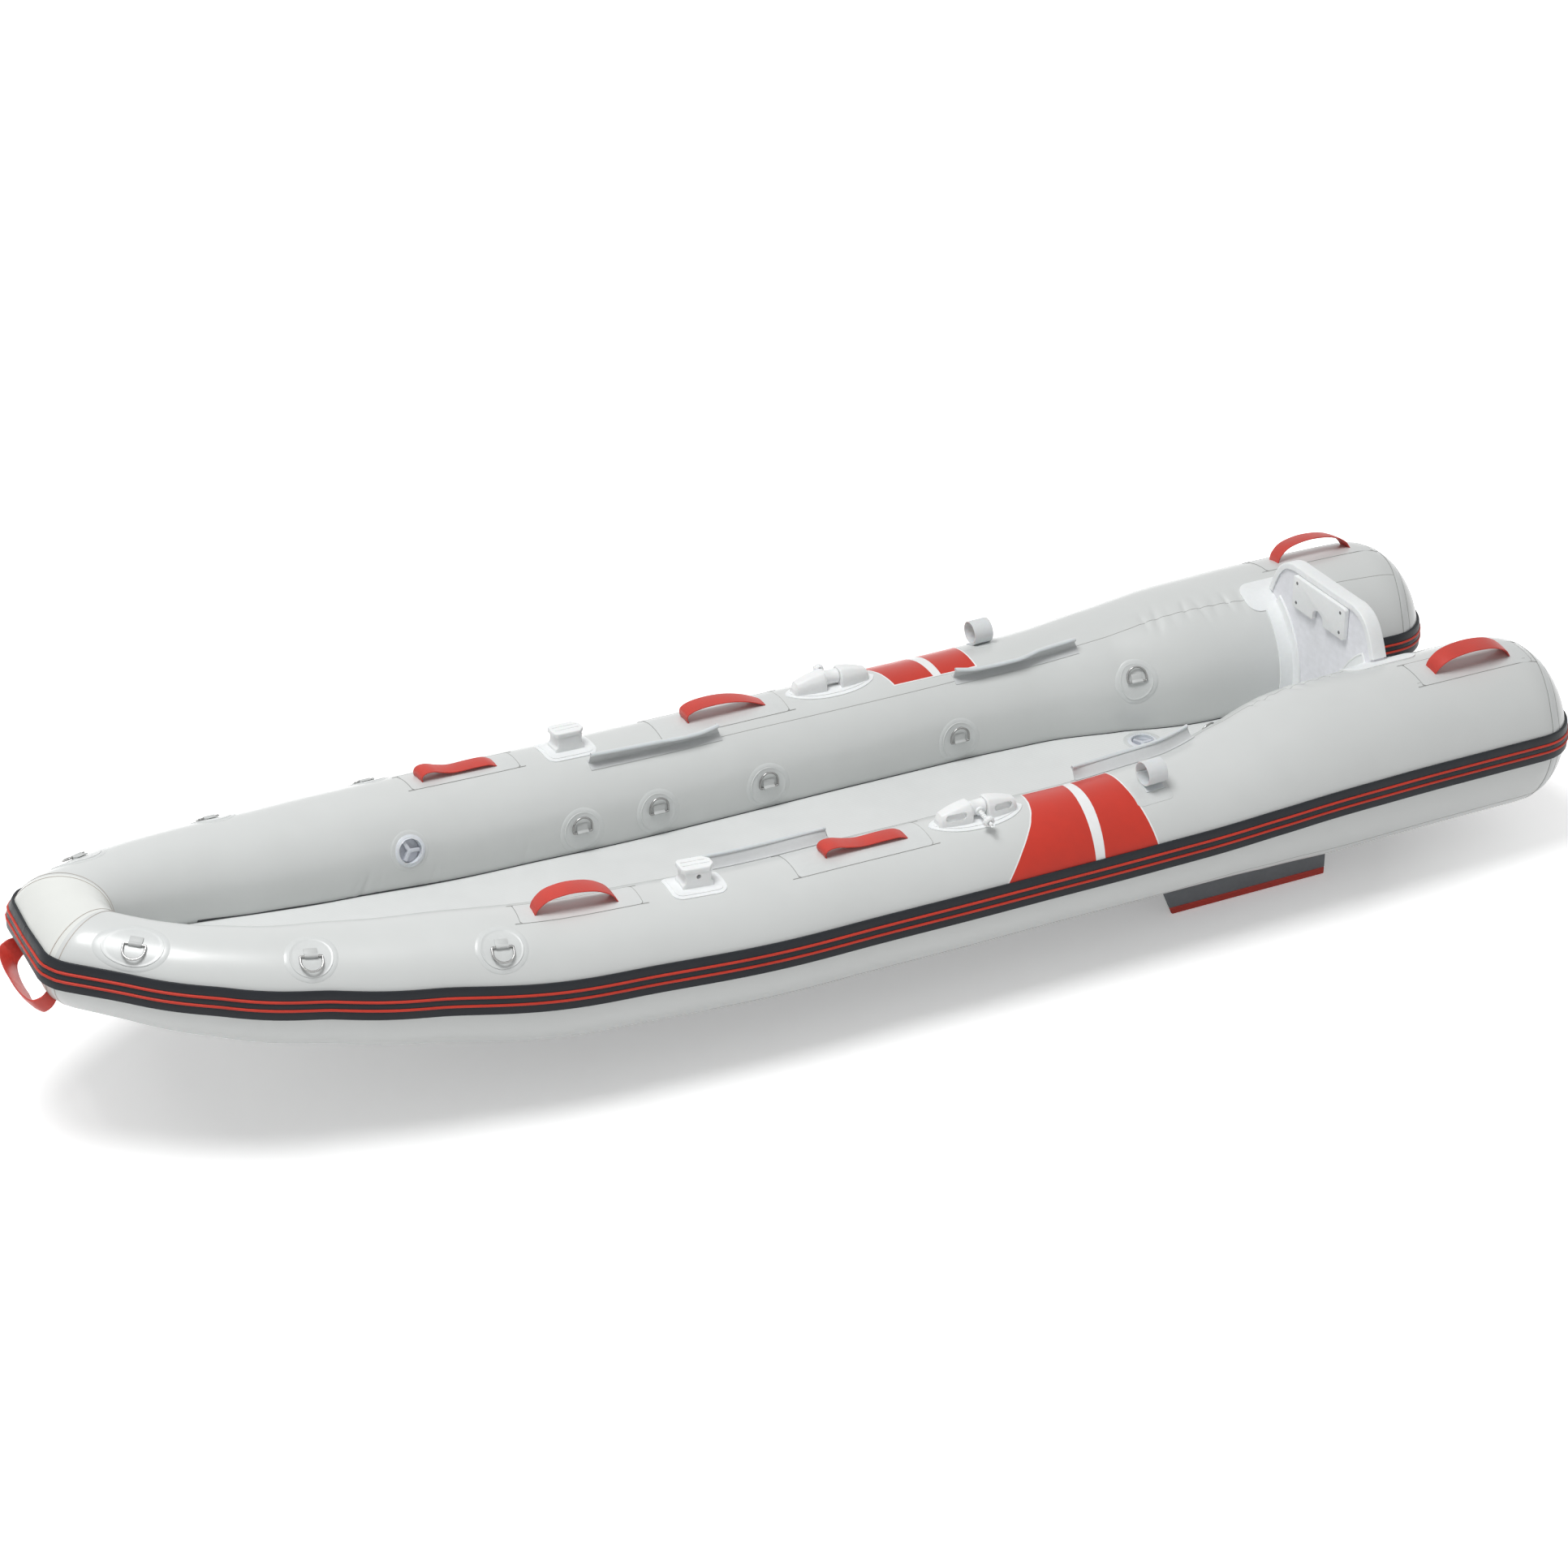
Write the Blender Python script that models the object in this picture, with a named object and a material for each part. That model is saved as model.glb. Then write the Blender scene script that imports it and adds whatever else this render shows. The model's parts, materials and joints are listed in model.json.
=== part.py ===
"""Inflatable boat: two side tubes and a bow tube round an air deck, with transom and fittings.

Metres, +Z up. The bow points along -X, port is -Y and starboard is +Y. The origin lies under
the middle of the boat, level with the lower edges of the fins. Starboard is modelled, and port
is its mirror image. A station is a distance from the front of the bow tube, towards the stern.
"""

import math

import bmesh
import bpy
import numpy as np
from mathutils import Matrix, Vector

# Hull
HULL_LENGTH = 3.375
TUBE_RADIUS = 0.140
STERN_TUBE_RADIUS = 0.190
STERN_HALF_GAP = 0.092
AXIS_HEIGHT = 0.250
BOW_RISE = 0.166
STERN_LIFT = 0.020
TAIL_CAP_LENGTH = 0.140
TAIL_ROUNDNESS = 2.4
TUBE_SIDES = 20
SEAT_GAP = 0.0003
WELD_DISTANCE = 0.00001

# Place along the hull, outboard half breadth, taper of the tube, swell of the aft tube,
# bow rise and stern lift
OFFSET_SHARES = (
    (0.0203, 0.379, 0.66, 0.0, 1.0, 0.0),
    (0.0890, 0.6525, 0.77, 0.0, 0.669, 0.0),
    (0.1486, 0.767, 0.85, 0.0, 0.458, 0.0),
    (0.2073, 0.855, 0.92, 0.0, 0.30, 0.0),
    (0.3256, 0.964, 0.99, 0.0, 0.078, 0.0),
    (0.4742, 0.996, 1.00, 0.0, 0.0, 0.0),
    (0.6000, 1.0, 1.00, 0.0, 0.0, 0.0),
    (0.6850, 1.0, 1.00, 0.07, 0.0, 0.04),
    (0.7580, 1.0, 1.00, 0.50, 0.0, 0.42),
    (0.8292, 1.0, 1.00, 0.97, 0.0, 0.85),
    (0.9035, 1.0, 1.00, 1.00, 0.0, 1.00),
    (1.0, 0.990, 1.00, 0.96, 0.0, 0.85),
)
RING_SHARES = (
    0.0203, 0.0500, 0.0830, 0.1170, 0.1520, 0.1910, 0.2350, 0.2840, 0.3420, 0.4200, 0.5180, 0.6160,
    0.6840, 0.7235, 0.7580, 0.7920, 0.8260, 0.8605, 0.9045,
)
TAIL_SHARES = (0.0, 0.42, 0.68, 0.85, 0.95, 0.99)

# Rubbing strake
STRAKE_BREADTH = 0.058
STRAKE_THICKNESS = 0.006
STRAKE_LIFT = 0.018
STRAKE_SEAT = 0.0009
RIB_HEIGHT = 0.0025
RIB_BREADTH = 0.0065
RIB_PLACE_SHARE = 0.165
STRAKE_INNER_STEPS = 4
STRAKE_STERN_SHARE = 0.900
TAIL_ACROSS_SHARES = (0.5, 0.0, -0.5)

# Deck and hull skin
DECK_DROP = 0.042
DECK_THICKNESS = 0.070
KEEL_DROP = 0.020
HULL_SKIN = 0.004
DECK_RING_SHARES = (0.0520, 0.0880, 0.1222, 0.1565, 0.1956, 0.2445, 0.3030, 0.3910, 0.4742, 0.6840)

# Transom
BOARD_FRONT = 2.965
BOARD_THICKNESS = 0.027
BOARD_RISE = 0.081
BOARD_OVERLAP = 0.028
BOARD_SHOULDER_WIDTH = 0.084
BOARD_SHOULDER_DROP = 0.090
BOARD_SHOULDER_SHARES = ((0.0, 0.0), (0.357, 0.10), (0.629, 0.32), (0.829, 0.64), (1.0, 1.0), (2.0, 2.0))
CAP_WALL = 0.0045
CAP_TOP = 0.006
CAP_LIP = 0.008
PAD_WIDTH = 0.205
PAD_HEIGHT = 0.078
PAD_THICKNESS = 0.013
PAD_CORNER = 0.006
PAD_TOP_GAP = 0.0015
PAD_NOTCH_WIDTH = 0.042
PAD_NOTCH_HEIGHT = 0.028
OUTER_PAD_HEIGHT = 0.110
OUTER_PAD_THICKNESS = 0.010
HOLDER_FLANGE = 0.034
HOLDER_FLANGE_THICKNESS = 0.003
HOLDER_WALL = 0.004
HOLDER_WALL_HEIGHT = 0.026
HOLDER_TOP_ANGLE = -33.0
HOLDER_BOTTOM_ANGLE = -122.0

# Fins
FIN_STERN = 2.804
FIN_LENGTH = 0.395
FIN_OUTSET = 0.018
FIN_RAKE = 0.030
FIN_THICKNESS = 0.008
FIN_FOOT_WIDTH = 0.050
FIN_FOOT_THICKNESS = 0.003

# Strap handles
STRAP_WIDTH = 0.038
STRAP_THICKNESS = 0.0028
STRAP_FOOT = 0.016
STRAP_SEAT = 0.0006
STRAP_STEPS = 9
HANDLE_RISE = 0.040
SLACK_RISE = 0.026
SLACK_SWAY_SHARE = 0.42
FRONT_HANDLE_STATION = 0.988
FRONT_HANDLE_SPAN = 0.178
MIDDLE_HANDLE_STATION = 1.633
MIDDLE_HANDLE_SPAN = 0.182
STERN_HANDLE_STATION = 3.139
STERN_HANDLE_SPAN = 0.193
STERN_HANDLE_ANGLE = 9.0
TOW_HANDLE_SPAN = 0.172
TOW_HANDLE_RISE = 0.048
TOW_HANDLE_ANGLE = 126.0

# Rings on their patches
WIRE_RADIUS = 0.0023
RING_WIDTH = 0.0434
RING_LEG = 0.012
RING_CORNER = 0.003
RING_ARC_STEPS = 5
BAR_CLEARANCE = 0.0004
PATCH_RADIUS = 0.0425
PATCH_THICKNESS = 0.0018
PATCH_SINK = 0.003
PATCH_SIDES = 12
PATCH_MIDDLE_SHARE = 0.55
TAB_WIDTH = 0.026
TAB_WALL = 0.0016
TAB_TAIL = 0.018
TAB_TAIL_THICKNESS = 0.0030
BORE_SIDES = 6
# Name, station, angle round the tube from its top (outboard positive) and the side of the bar
# that the webbing's tail lies on
OUTER, INNER = -1, 1
RING_PLACES = (
    ("outer_front", 0.155, 30.0, OUTER),
    ("outer_middle", 0.450, 34.0, OUTER),
    ("outer_aft", 0.815, 38.0, OUTER),
    ("inner_1", 1.220, -87.0, INNER),
    ("inner_2", 1.404, -85.0, INNER),
    ("inner_3", 1.670, -86.0, INNER),
    ("inner_4", 2.147, -87.0, INNER),
    ("inner_5", 2.598, -67.0, INNER),
)

# Accessory blocks
BLOCK_STATION = 1.247
BLOCK_PLATE_LENGTH = 0.135
BLOCK_PLATE_WIDTH = 0.100
BLOCK_PLATE_CORNER = 0.024
BLOCK_PLATE_THICKNESS = 0.003
BLOCK_HEIGHT = 0.050
BLOCK_TOP_LENGTH = 0.082
BLOCK_TOP_THICKNESS = 0.011
BLOCK_WAIST_LENGTH = 0.066
BLOCK_FOOT_LENGTH = 0.080
BLOCK_FOOT_HEIGHT = 0.014
BLOCK_WIDTH = 0.048
BLOCK_CHAMFER = 0.006
BLOCK_HOLE_RADIUS = 0.005
BLOCK_HOLE_HEIGHT = 0.027
BLOCK_GROOVE_WIDTH = 0.004
BLOCK_GROOVE_DEPTH = 0.0015
BLOCK_GROOVE_PITCH = 0.014
PIECE_DEPTH = 0.030
PLATE_SINK = 0.004

# Oarlocks
OARLOCK_STATION = 1.893
OARLOCK_PLATE_LENGTH = 0.218
OARLOCK_PLATE_WIDTH = 0.086
OARLOCK_PLATE_THICKNESS = 0.003
HUMP_LENGTH = 0.074
HUMP_WIDTH = 0.050
HUMP_HEIGHT = 0.042
HUMP_TAPER_SHARE = 0.62
HUMP_GAP = 0.036
HUMP_BEVEL = 0.004
POCKET_LENGTH = 0.046
POCKET_WIDTH = 0.014
POCKET_DEPTH = 0.012
POCKET_HEIGHT = 0.022
BARREL_RADIUS = 0.0165
BARREL_HEIGHT = 0.022
BARREL_CLEARANCE = 0.0006
TRUNNION_RADIUS = 0.006
TRUNNION_LENGTH = 0.007
BARREL_SIDES = 14
SOCKET_SIDES = 8
STUD_RADIUS = 0.0050
STUD_LENGTH = 0.060
STUD_DEPTH = 0.009
STUD_TIP_RADIUS = 0.0036
STUD_DROOP = 7.0
STUD_SIDES = 10
NUT_RADIUS = 0.0125
NUT_LENGTH = 0.014
NUT_PLACE = 0.032
NUT_SIDES = 10

# Oar clips
CLIP_STATION = 2.293
CLIP_ANGLE = 15.0
CLIP_RADIUS = 0.0255
CLIP_LENGTH = 0.046
CLIP_THICKNESS = 0.0026
CLIP_OVERLAP = 62.0
CLIP_LAP_START = 250.0
CLIP_STEPS = 18
CLIP_FOOT = 0.026
CLIP_LAYER_GAP = 0.0010

# Bolt-rope rails
RAIL_RISE = 0.030
RAIL_WEB = 0.0026
RAIL_BEAD_RADIUS = 0.0048
RAIL_FOOT = 0.022
RAIL_FOOT_THICKNESS = 0.0018
RAIL_WAVE = 0.0045
RAIL_STEPS = 6
RAIL_BEAD_SIDES = 6
FRONT_RAIL = (1.270, 1.590)
FRONT_RAIL_ANGLE = -27.0
AFT_RAIL = (2.170, 2.490)
AFT_RAIL_ANGLE = -27.0

# Valves
VALVE_RADIUS = 0.0345
VALVE_CUP_RADIUS = 0.0290
VALVE_DISH_RADIUS = 0.0260
VALVE_FLANGE = 0.0030
VALVE_DEPTH = 0.020
VALVE_FLOOR = 0.003
VALVE_SIDES = 16
VALVE_CAP_RADIUS = 0.0250
VALVE_CAP_THICKNESS = 0.004
VALVE_ARM_WIDTH = 0.008
VALVE_ARM_HEIGHT = 0.011
VALVE_ARM_REACH = 0.0235
WALL_VALVE_STATION = 0.812
WALL_VALVE_ANGLE = -72.0
DECK_VALVE_STATION = 2.560
DECK_VALVE_Y = 0.085

SIDES = ((1, "starboard"), (-1, "port"))
PVC_GREY = ("pvc_grey", (0.74, 0.755, 0.75), 0.35, 0.0)
PVC_WHITE = ("pvc_white", (0.86, 0.87, 0.86), 0.35, 0.0)
DECK_GREY = ("deck_grey", (0.66, 0.68, 0.69), 0.55, 0.0)
MOULDED_WHITE = ("moulded_white", (0.88, 0.89, 0.89), 0.4, 0.0)
STRAKE_BLACK = ("strake_black", (0.02, 0.022, 0.026), 0.45, 0.0)
STRAP_RED = ("strap_red", (0.62, 0.06, 0.035), 0.45, 0.0)
BOARD_GREY = ("board_grey", (0.60, 0.61, 0.64), 0.5, 0.0)
FIN_GREY = ("fin_grey", (0.22, 0.24, 0.26), 0.5, 0.0)
STEEL = ("stainless_steel", (0.62, 0.62, 0.60), 0.2, 1.0)
VALVE_GREY = ("valve_grey", (0.62, 0.64, 0.68), 0.35, 0.0)


def clear_scene():
    for old in list(bpy.data.objects):
        bpy.data.objects.remove(old)
    for name in ("inflatable_boat", "cutters"):
        bpy.context.scene.collection.children.link(bpy.data.collections.new(name))


def material(finish):
    name, colour, roughness, metallic = finish
    made = bpy.data.materials.get(name)
    if made is None:
        made = bpy.data.materials.new(name)
        made.use_nodes = True
        shader = made.node_tree.nodes["Principled BSDF"]
        shader.inputs["Base Color"].default_value = (*colour, 1)
        shader.inputs["Roughness"].default_value = roughness
        shader.inputs["Metallic"].default_value = metallic
        made.diffuse_color = (*colour, 1)
    return made


def smooth_line(places, values):
    """A monotone cubic through the points of a table."""
    steps = [after - before for before, after in zip(places, places[1:])]
    slopes = [(after - before) / step for before, after, step in zip(values, values[1:], steps)]
    bends = [slopes[0]]
    for before, after in zip(slopes, slopes[1:]):
        bends.append(2 * before * after / (before + after) if before * after > 0 else 0.0)
    bends.append(slopes[-1])

    def at(place):
        k = min(max(int(np.searchsorted(places, place)) - 1, 0), len(steps) - 1)
        t = (place - places[k]) / steps[k]
        start = values[k] + t * steps[k] * bends[k]
        end = values[k + 1] - (1 - t) * steps[k] * bends[k + 1]
        weight = t * t * (3 - 2 * t)
        return start * (1 - weight) + end * weight

    return at


HALF_BEAM = 2 * STERN_TUBE_RADIUS + STERN_HALF_GAP
OFFSET_PLACES = [row[0] for row in OFFSET_SHARES]
BEAM, TAPER, SWELL, RISE, LIFT = (
    smooth_line(OFFSET_PLACES, [row[column] for row in OFFSET_SHARES]) for column in range(1, 6)
)


def tube_radius(share):
    return TUBE_RADIUS * TAPER(share) + (STERN_TUBE_RADIUS - TUBE_RADIUS) * SWELL(share)


def axis_point(share):
    """The starboard tube's axis, with X still as a station."""
    return Vector((
        HULL_LENGTH * share,
        HALF_BEAM * BEAM(share) - tube_radius(share),
        AXIS_HEIGHT + BOW_RISE * RISE(share) + STERN_LIFT * LIFT(share),
    ))


def tail_fall(share):
    return (1 - share**TAIL_ROUNDNESS) ** (1 / TAIL_ROUNDNESS)


def level_outboard(along):
    return Vector((0, 0, 1)).cross(along).normalized()


def ring_frames():
    """(axis point, outboard, up, radius) of each ring. The first lies in the bow's mitre."""
    cap_start = 1 - TAIL_CAP_LENGTH / HULL_LENGTH
    shares = list(RING_SHARES) + [cap_start + t * (1 - cap_start) for t in (*TAIL_SHARES, 1.0)]
    falls = [1.0] * len(RING_SHARES) + [tail_fall(t) for t in (*TAIL_SHARES, 1.0)]
    points = [axis_point(share) for share in shares]
    frames = []
    for k, (share, fall) in enumerate(zip(shares, falls)):
        ahead = (points[min(k + 1, len(points) - 1)] - points[k]).normalized()
        behind = (points[k] - points[max(k - 1, 0)]).normalized()
        along = (ahead + behind).normalized()
        outboard = level_outboard(along)
        up = along.cross(outboard)
        if k == 0:
            forward = Vector((-1, 0, 0))
            up = (up + Vector((0, 0, 1))).normalized()
            outboard = (outboard + forward) / (1 + outboard.dot(forward))
        radius = tube_radius(min(share, cap_start)) * fall
        frames.append((points[k], outboard, up, radius))
    return frames


FRAMES = ring_frames()
MIDDLE_FRAME = (Vector((FRAMES[0][0].x, 0, FRAMES[0][0].z)), Vector((-1, 0, 0)), Vector((0, 0, 1)), FRAMES[0][3])
TAIL_FRAME = FRAMES[-len(TAIL_SHARES) - 1]
TOW_EDGE_ANGLE = math.radians(TOW_HANDLE_ANGLE) - STRAP_WIDTH / 2 / MIDDLE_FRAME[3]
TOW_RADIUS = MIDDLE_FRAME[3] + STRAP_SEAT + TOW_HANDLE_RISE + STRAP_THICKNESS
FORWARD_REACH = TOW_RADIUS * math.sin(TOW_EDGE_ANGLE) - MIDDLE_FRAME[0].x
STERN_REACH = STRAKE_THICKNESS + STRAKE_SEAT + RIB_HEIGHT
BOARD_TOP = AXIS_HEIGHT + STERN_LIFT + STERN_TUBE_RADIUS + BOARD_RISE
BOARD_HALF_WIDTH = STERN_HALF_GAP + BOARD_OVERLAP


def in_row(point):
    """Moves a point from stations to the boat's own frame, whose origin is mid-length."""
    middle = (HULL_LENGTH + STERN_REACH - FORWARD_REACH) / 2
    return Vector((point.x - middle, point.y, point.z))


def ring_point(frame, degrees, lift, shape=1.0):
    centre, outboard, up, radius = frame
    turn = math.radians(degrees)
    return centre + (radius * shape + lift) * (math.cos(turn) * up + math.sin(turn) * outboard)


def facet_shape(degrees):
    """How far a facet of the tube lies from its axis, as a share of the tube's radius."""
    half = math.pi / TUBE_SIDES
    return math.cos(half) / math.cos(math.radians(degrees) % (2 * half) - half)


def skin_point(station, degrees, lift, shape=1.0):
    """A point over the starboard tube's skin, on the straight runs between its rings."""
    k = 1
    while k < len(FRAMES) - 1 and FRAMES[k][0].x < station:
        k += 1
    before, after = FRAMES[k - 1], FRAMES[k]
    share = (station - before[0].x) / (after[0].x - before[0].x)
    return ring_point(before, degrees, lift, shape).lerp(ring_point(after, degrees, lift, shape), share)


def glued_point(station, degrees, lift):
    """A point over the flat facets of the starboard tube, in the boat's frame."""
    return in_row(skin_point(station, degrees, lift, facet_shape(degrees)))


def bow_point(across, degrees, lift, shape=1.0):
    """A point over the bow tube, between its middle and the mitre at either end."""
    middle = ring_point(MIDDLE_FRAME, degrees, lift, shape)
    corner = ring_point(FRAMES[0], degrees, lift, shape)
    point = middle.lerp(corner, abs(across) / corner.y)
    return Vector((point.x, across, point.z))


def local_radius(station):
    return (skin_point(station, 0, 0) - skin_point(station, 180, 0)).length / 2


def seat_frame(station, degrees):
    """A frame on the starboard skin: X aft along the tube, Z outward, origin on the skin."""
    step = TUBE_RADIUS / TUBE_SIDES
    origin = skin_point(station, degrees, 0)
    along = (skin_point(station + step, degrees, 0) - skin_point(station - step, degrees, 0)).normalized()
    outward = skin_point(station, degrees, step) - origin
    outward = (outward - outward.dot(along) * along).normalized()
    frame = Matrix((along, outward.cross(along), outward)).transposed().to_4x4()
    frame.translation = in_row(origin)
    return frame


def loft(rings, split="FIXED"):
    """A closed skin laid through rings of points: a grid, its edge columns welded, its ends filled."""
    rows, columns = len(rings), len(rings[0])
    made = bmesh.new()
    bmesh.ops.create_grid(made, x_segments=columns, y_segments=rows - 1, size=1)
    made.verts.ensure_lookup_table()
    for row, ring in enumerate(rings):
        for column in range(columns + 1):
            made.verts[row * (columns + 1) + column].co = ring[column % columns]
    bmesh.ops.remove_doubles(made, verts=made.verts, dist=WELD_DISTANCE)
    quads = [face for face in made.faces if len(face.verts) == 4]
    bmesh.ops.triangulate(made, faces=quads, quad_method=split)
    bmesh.ops.holes_fill(made, edges=[edge for edge in made.edges if edge.is_boundary])
    bmesh.ops.recalc_face_normals(made, faces=made.faces)
    return made


def prism(outline, thickness):
    """An outline in XY, raised to its thickness along Z."""
    made = bmesh.new()
    corners = [made.verts.new((x, y, 0)) for x, y in outline]
    made.faces.new(corners)
    raised = bmesh.ops.extrude_face_region(made, geom=list(made.faces))["geom"]
    tops = [item for item in raised if isinstance(item, bmesh.types.BMVert)]
    bmesh.ops.translate(made, verts=tops, vec=(0, 0, thickness))
    bmesh.ops.recalc_face_normals(made, faces=made.faces)
    return made


def cylinder(radius, length, sides, top_radius=None):
    """A cylinder or cone along Z, standing on the origin."""
    made = bmesh.new()
    bmesh.ops.create_cone(
        made,
        cap_ends=True,
        segments=sides,
        radius1=radius,
        radius2=radius if top_radius is None else top_radius,
        depth=length,
        matrix=Matrix.Translation((0, 0, length / 2)),
    )
    return made


def turned(profile, sides):
    """A profile of (radius, height) points from axis to axis, spun about Z."""
    made = bmesh.new()
    points = [made.verts.new((radius, 0, height)) for radius, height in profile]
    edges = [made.edges.new(pair) for pair in zip(points, points[1:])]
    bmesh.ops.spin(made, geom=points + edges, axis=(0, 0, 1), angle=math.tau, steps=sides, use_merge=True)
    bmesh.ops.remove_doubles(made, verts=made.verts, dist=WELD_DISTANCE)
    bmesh.ops.recalc_face_normals(made, faces=made.faces)
    return made


def sliced(made, normal, places):
    """Cuts a mesh across at some distances along a direction, so that it can bend there."""
    for place in places:
        bmesh.ops.bisect_plane(
            made,
            geom=list(made.verts) + list(made.edges) + list(made.faces),
            dist=WELD_DISTANCE,
            plane_co=Vector(normal) * place,
            plane_no=normal,
        )
    return made


def wrapped(made, station, degrees, glued=True):
    """Lays a flat mesh on the starboard tube: X along it, Y round it, Z above its facets or its round."""
    for vert in made.verts:
        place = station + vert.co.x
        turn = degrees + math.degrees(vert.co.y / local_radius(place))
        shape = facet_shape(turn) if glued else 1.0
        vert.co = in_row(skin_point(place, turn, vert.co.z, shape))
    return made


def moved(made, matrix):
    bmesh.ops.transform(made, matrix=matrix, verts=made.verts)
    return made


def joined(pieces):
    """Puts several meshes into one."""
    whole = bmesh.new()
    for piece in pieces:
        mesh = bpy.data.meshes.new("piece")
        piece.to_mesh(mesh)
        piece.free()
        whole.from_mesh(mesh)
        bpy.data.meshes.remove(mesh)
    return whole


def add(name, made, finish, side=1, frame=None):
    """Adds a starboard mesh, or its port mirror image, with its origin at a starboard frame."""
    if side < 0:
        bmesh.ops.scale(made, vec=(1, -1, 1), verts=made.verts)
        bmesh.ops.reverse_faces(made, faces=made.faces)
    mesh = bpy.data.meshes.new(name)
    piece = bpy.data.objects.new(name, mesh)
    if frame is not None:
        place = mirrored(frame, side)
        moved(made, place.inverted())
        piece.matrix_world = place
    made.to_mesh(mesh)
    made.free()
    mesh.materials.append(material(finish))
    mesh.shade_smooth()
    mesh.set_sharp_from_angle(angle=math.radians(40))
    bpy.data.collections["inflatable_boat"].objects.link(piece)
    return piece


def mirrored(frame, side):
    """A frame on the port side keeps X along the tube and Z outward, and stays right-handed."""
    if side > 0:
        return frame
    flip = Matrix.Diagonal((1, -1, 1, 1))
    return flip @ frame @ flip


def cutter(name, made, side=1):
    if side < 0:
        bmesh.ops.scale(made, vec=(1, -1, 1), verts=made.verts)
        bmesh.ops.reverse_faces(made, faces=made.faces)
    mesh = bpy.data.meshes.new(name)
    made.to_mesh(mesh)
    made.free()
    piece = bpy.data.objects.new(name, mesh)
    piece.hide_render = True
    piece.display_type = "WIRE"
    bpy.data.collections["cutters"].objects.link(piece)
    return piece


def combine(piece, other, operation):
    step = piece.modifiers.new(operation.lower(), "BOOLEAN")
    step.operation = operation
    step.object = other
    step.solver = "EXACT"


def tube_rings(frames, lift=0.0):
    turns = [360 * k / TUBE_SIDES for k in range(TUBE_SIDES)]
    return [[in_row(ring_point(frame, turn, lift)) for turn in turns] for frame in frames]


def side_tube():
    """The starboard tube, from the mitre to the pole of its tail."""
    centre, outboard, up, radius = FRAMES[0]
    aft = (FRAMES[1][0] - centre).normalized()
    return loft(tube_rings([(centre + aft * SEAT_GAP * outboard.length, outboard, up, radius)] + FRAMES[1:]))


def lifted_tube(lift, first=0, last=None):
    return loft(tube_rings(FRAMES[first:last], lift))


def bow_tube():
    port_frame = []
    for part in FRAMES[0][:3]:
        port_frame.append(Vector((part.x, -part.y, part.z)))
    frames = [(*port_frame, FRAMES[0][3]), MIDDLE_FRAME, FRAMES[0]]
    add("bow_tube", loft(tube_rings(frames)), PVC_WHITE)


def bar_height():
    return PATCH_THICKNESS + bore_radius() + BAR_CLEARANCE


def bore_radius():
    return (WIRE_RADIUS + BAR_CLEARANCE) / math.cos(math.pi / BORE_SIDES)


def patch(station, degrees):
    """A round patch laid on the tube, sunk below its facets so that it joins them."""
    low, high, middle = -PATCH_SINK, PATCH_THICKNESS, PATCH_RADIUS * PATCH_MIDDLE_SHARE
    profile = [(0, low), (middle, low), (PATCH_RADIUS, low), (PATCH_RADIUS, high), (middle, high), (0, high)]
    return wrapped(turned(profile, PATCH_SIDES), station, degrees, glued=False)


def webbing_tab(station, degrees, tail_side):
    """The webbing sleeve round a ring's bar, with a tail glued to the patch."""
    height, outer = bar_height(), bore_radius() + TAB_WALL
    turns = [math.radians(90 - 30 * k) for k in range(4)]
    loop = [(outer * math.cos(turn), height + outer * math.sin(turn)) for turn in turns]
    outline = [(-TAB_TAIL, -PATCH_SINK / 2), (-TAB_TAIL, PATCH_THICKNESS + TAB_TAIL_THICKNESS / 2)]
    outline += [(-TAB_TAIL / 2, PATCH_THICKNESS + TAB_TAIL_THICKNESS)] + loop + [(outer, -PATCH_SINK / 2)]
    tab = prism([(-tail_side * y, z) for y, z in outline], TAB_WIDTH)
    turn = Matrix(((0, 0, 1, -TAB_WIDTH / 2), (1, 0, 0, 0), (0, 1, 0, 0), (0, 0, 0, 1)))
    return moved(tab, seat_frame(station, degrees) @ turn)


def bar_bore(station, degrees):
    length = TAB_WIDTH * 2
    bore = cylinder(bore_radius(), length, BORE_SIDES)
    lying = Matrix.Rotation(math.pi / 2, 4, "Y") @ Matrix.Translation((0, 0, -length / 2))
    lying = lying @ Matrix.Rotation(math.pi / BORE_SIDES, 4, "Z")
    return moved(bore, seat_frame(station, degrees) @ Matrix.Translation((0, 0, bar_height())) @ lying)


def ring_frame(station, degrees):
    """A ring's frame lies on its bar's axis, which is also its hinge."""
    return seat_frame(station, degrees) @ Matrix.Translation((0, 0, bar_height()))


def ring_path():
    """The wire's centre line: bar on X, arc towards +Y."""
    half = RING_WIDTH / 2
    right = [(half - RING_CORNER, 0), (half, RING_CORNER)]
    arc = [math.pi * k / RING_ARC_STEPS for k in range(RING_ARC_STEPS + 1)]
    top = [(half * math.cos(turn), RING_LEG + half * math.sin(turn)) for turn in arc]
    return right + top + [(-x, y) for x, y in reversed(right)]


def steel_ring(name, side, station, degrees):
    """A D-shaped wire ring lying against the tube."""
    curve = bpy.data.curves.new(name, "CURVE")
    curve.dimensions = "3D"
    curve.bevel_depth = WIRE_RADIUS
    curve.bevel_resolution = 1
    wire = curve.splines.new("POLY")
    points = ring_path()
    wire.points.add(len(points) - 1)
    for point, (x, y) in zip(wire.points, points):
        point.co = (x, side * y, 0, 1)
    wire.use_cyclic_u = True
    curve.materials.append(material(STEEL))
    ring = bpy.data.objects.new(name, curve)
    ring.matrix_world = mirrored(ring_frame(station, degrees), side)
    bpy.data.collections["inflatable_boat"].objects.link(ring)


def valve_frame():
    return seat_frame(WALL_VALVE_STATION, WALL_VALVE_ANGLE)


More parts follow.
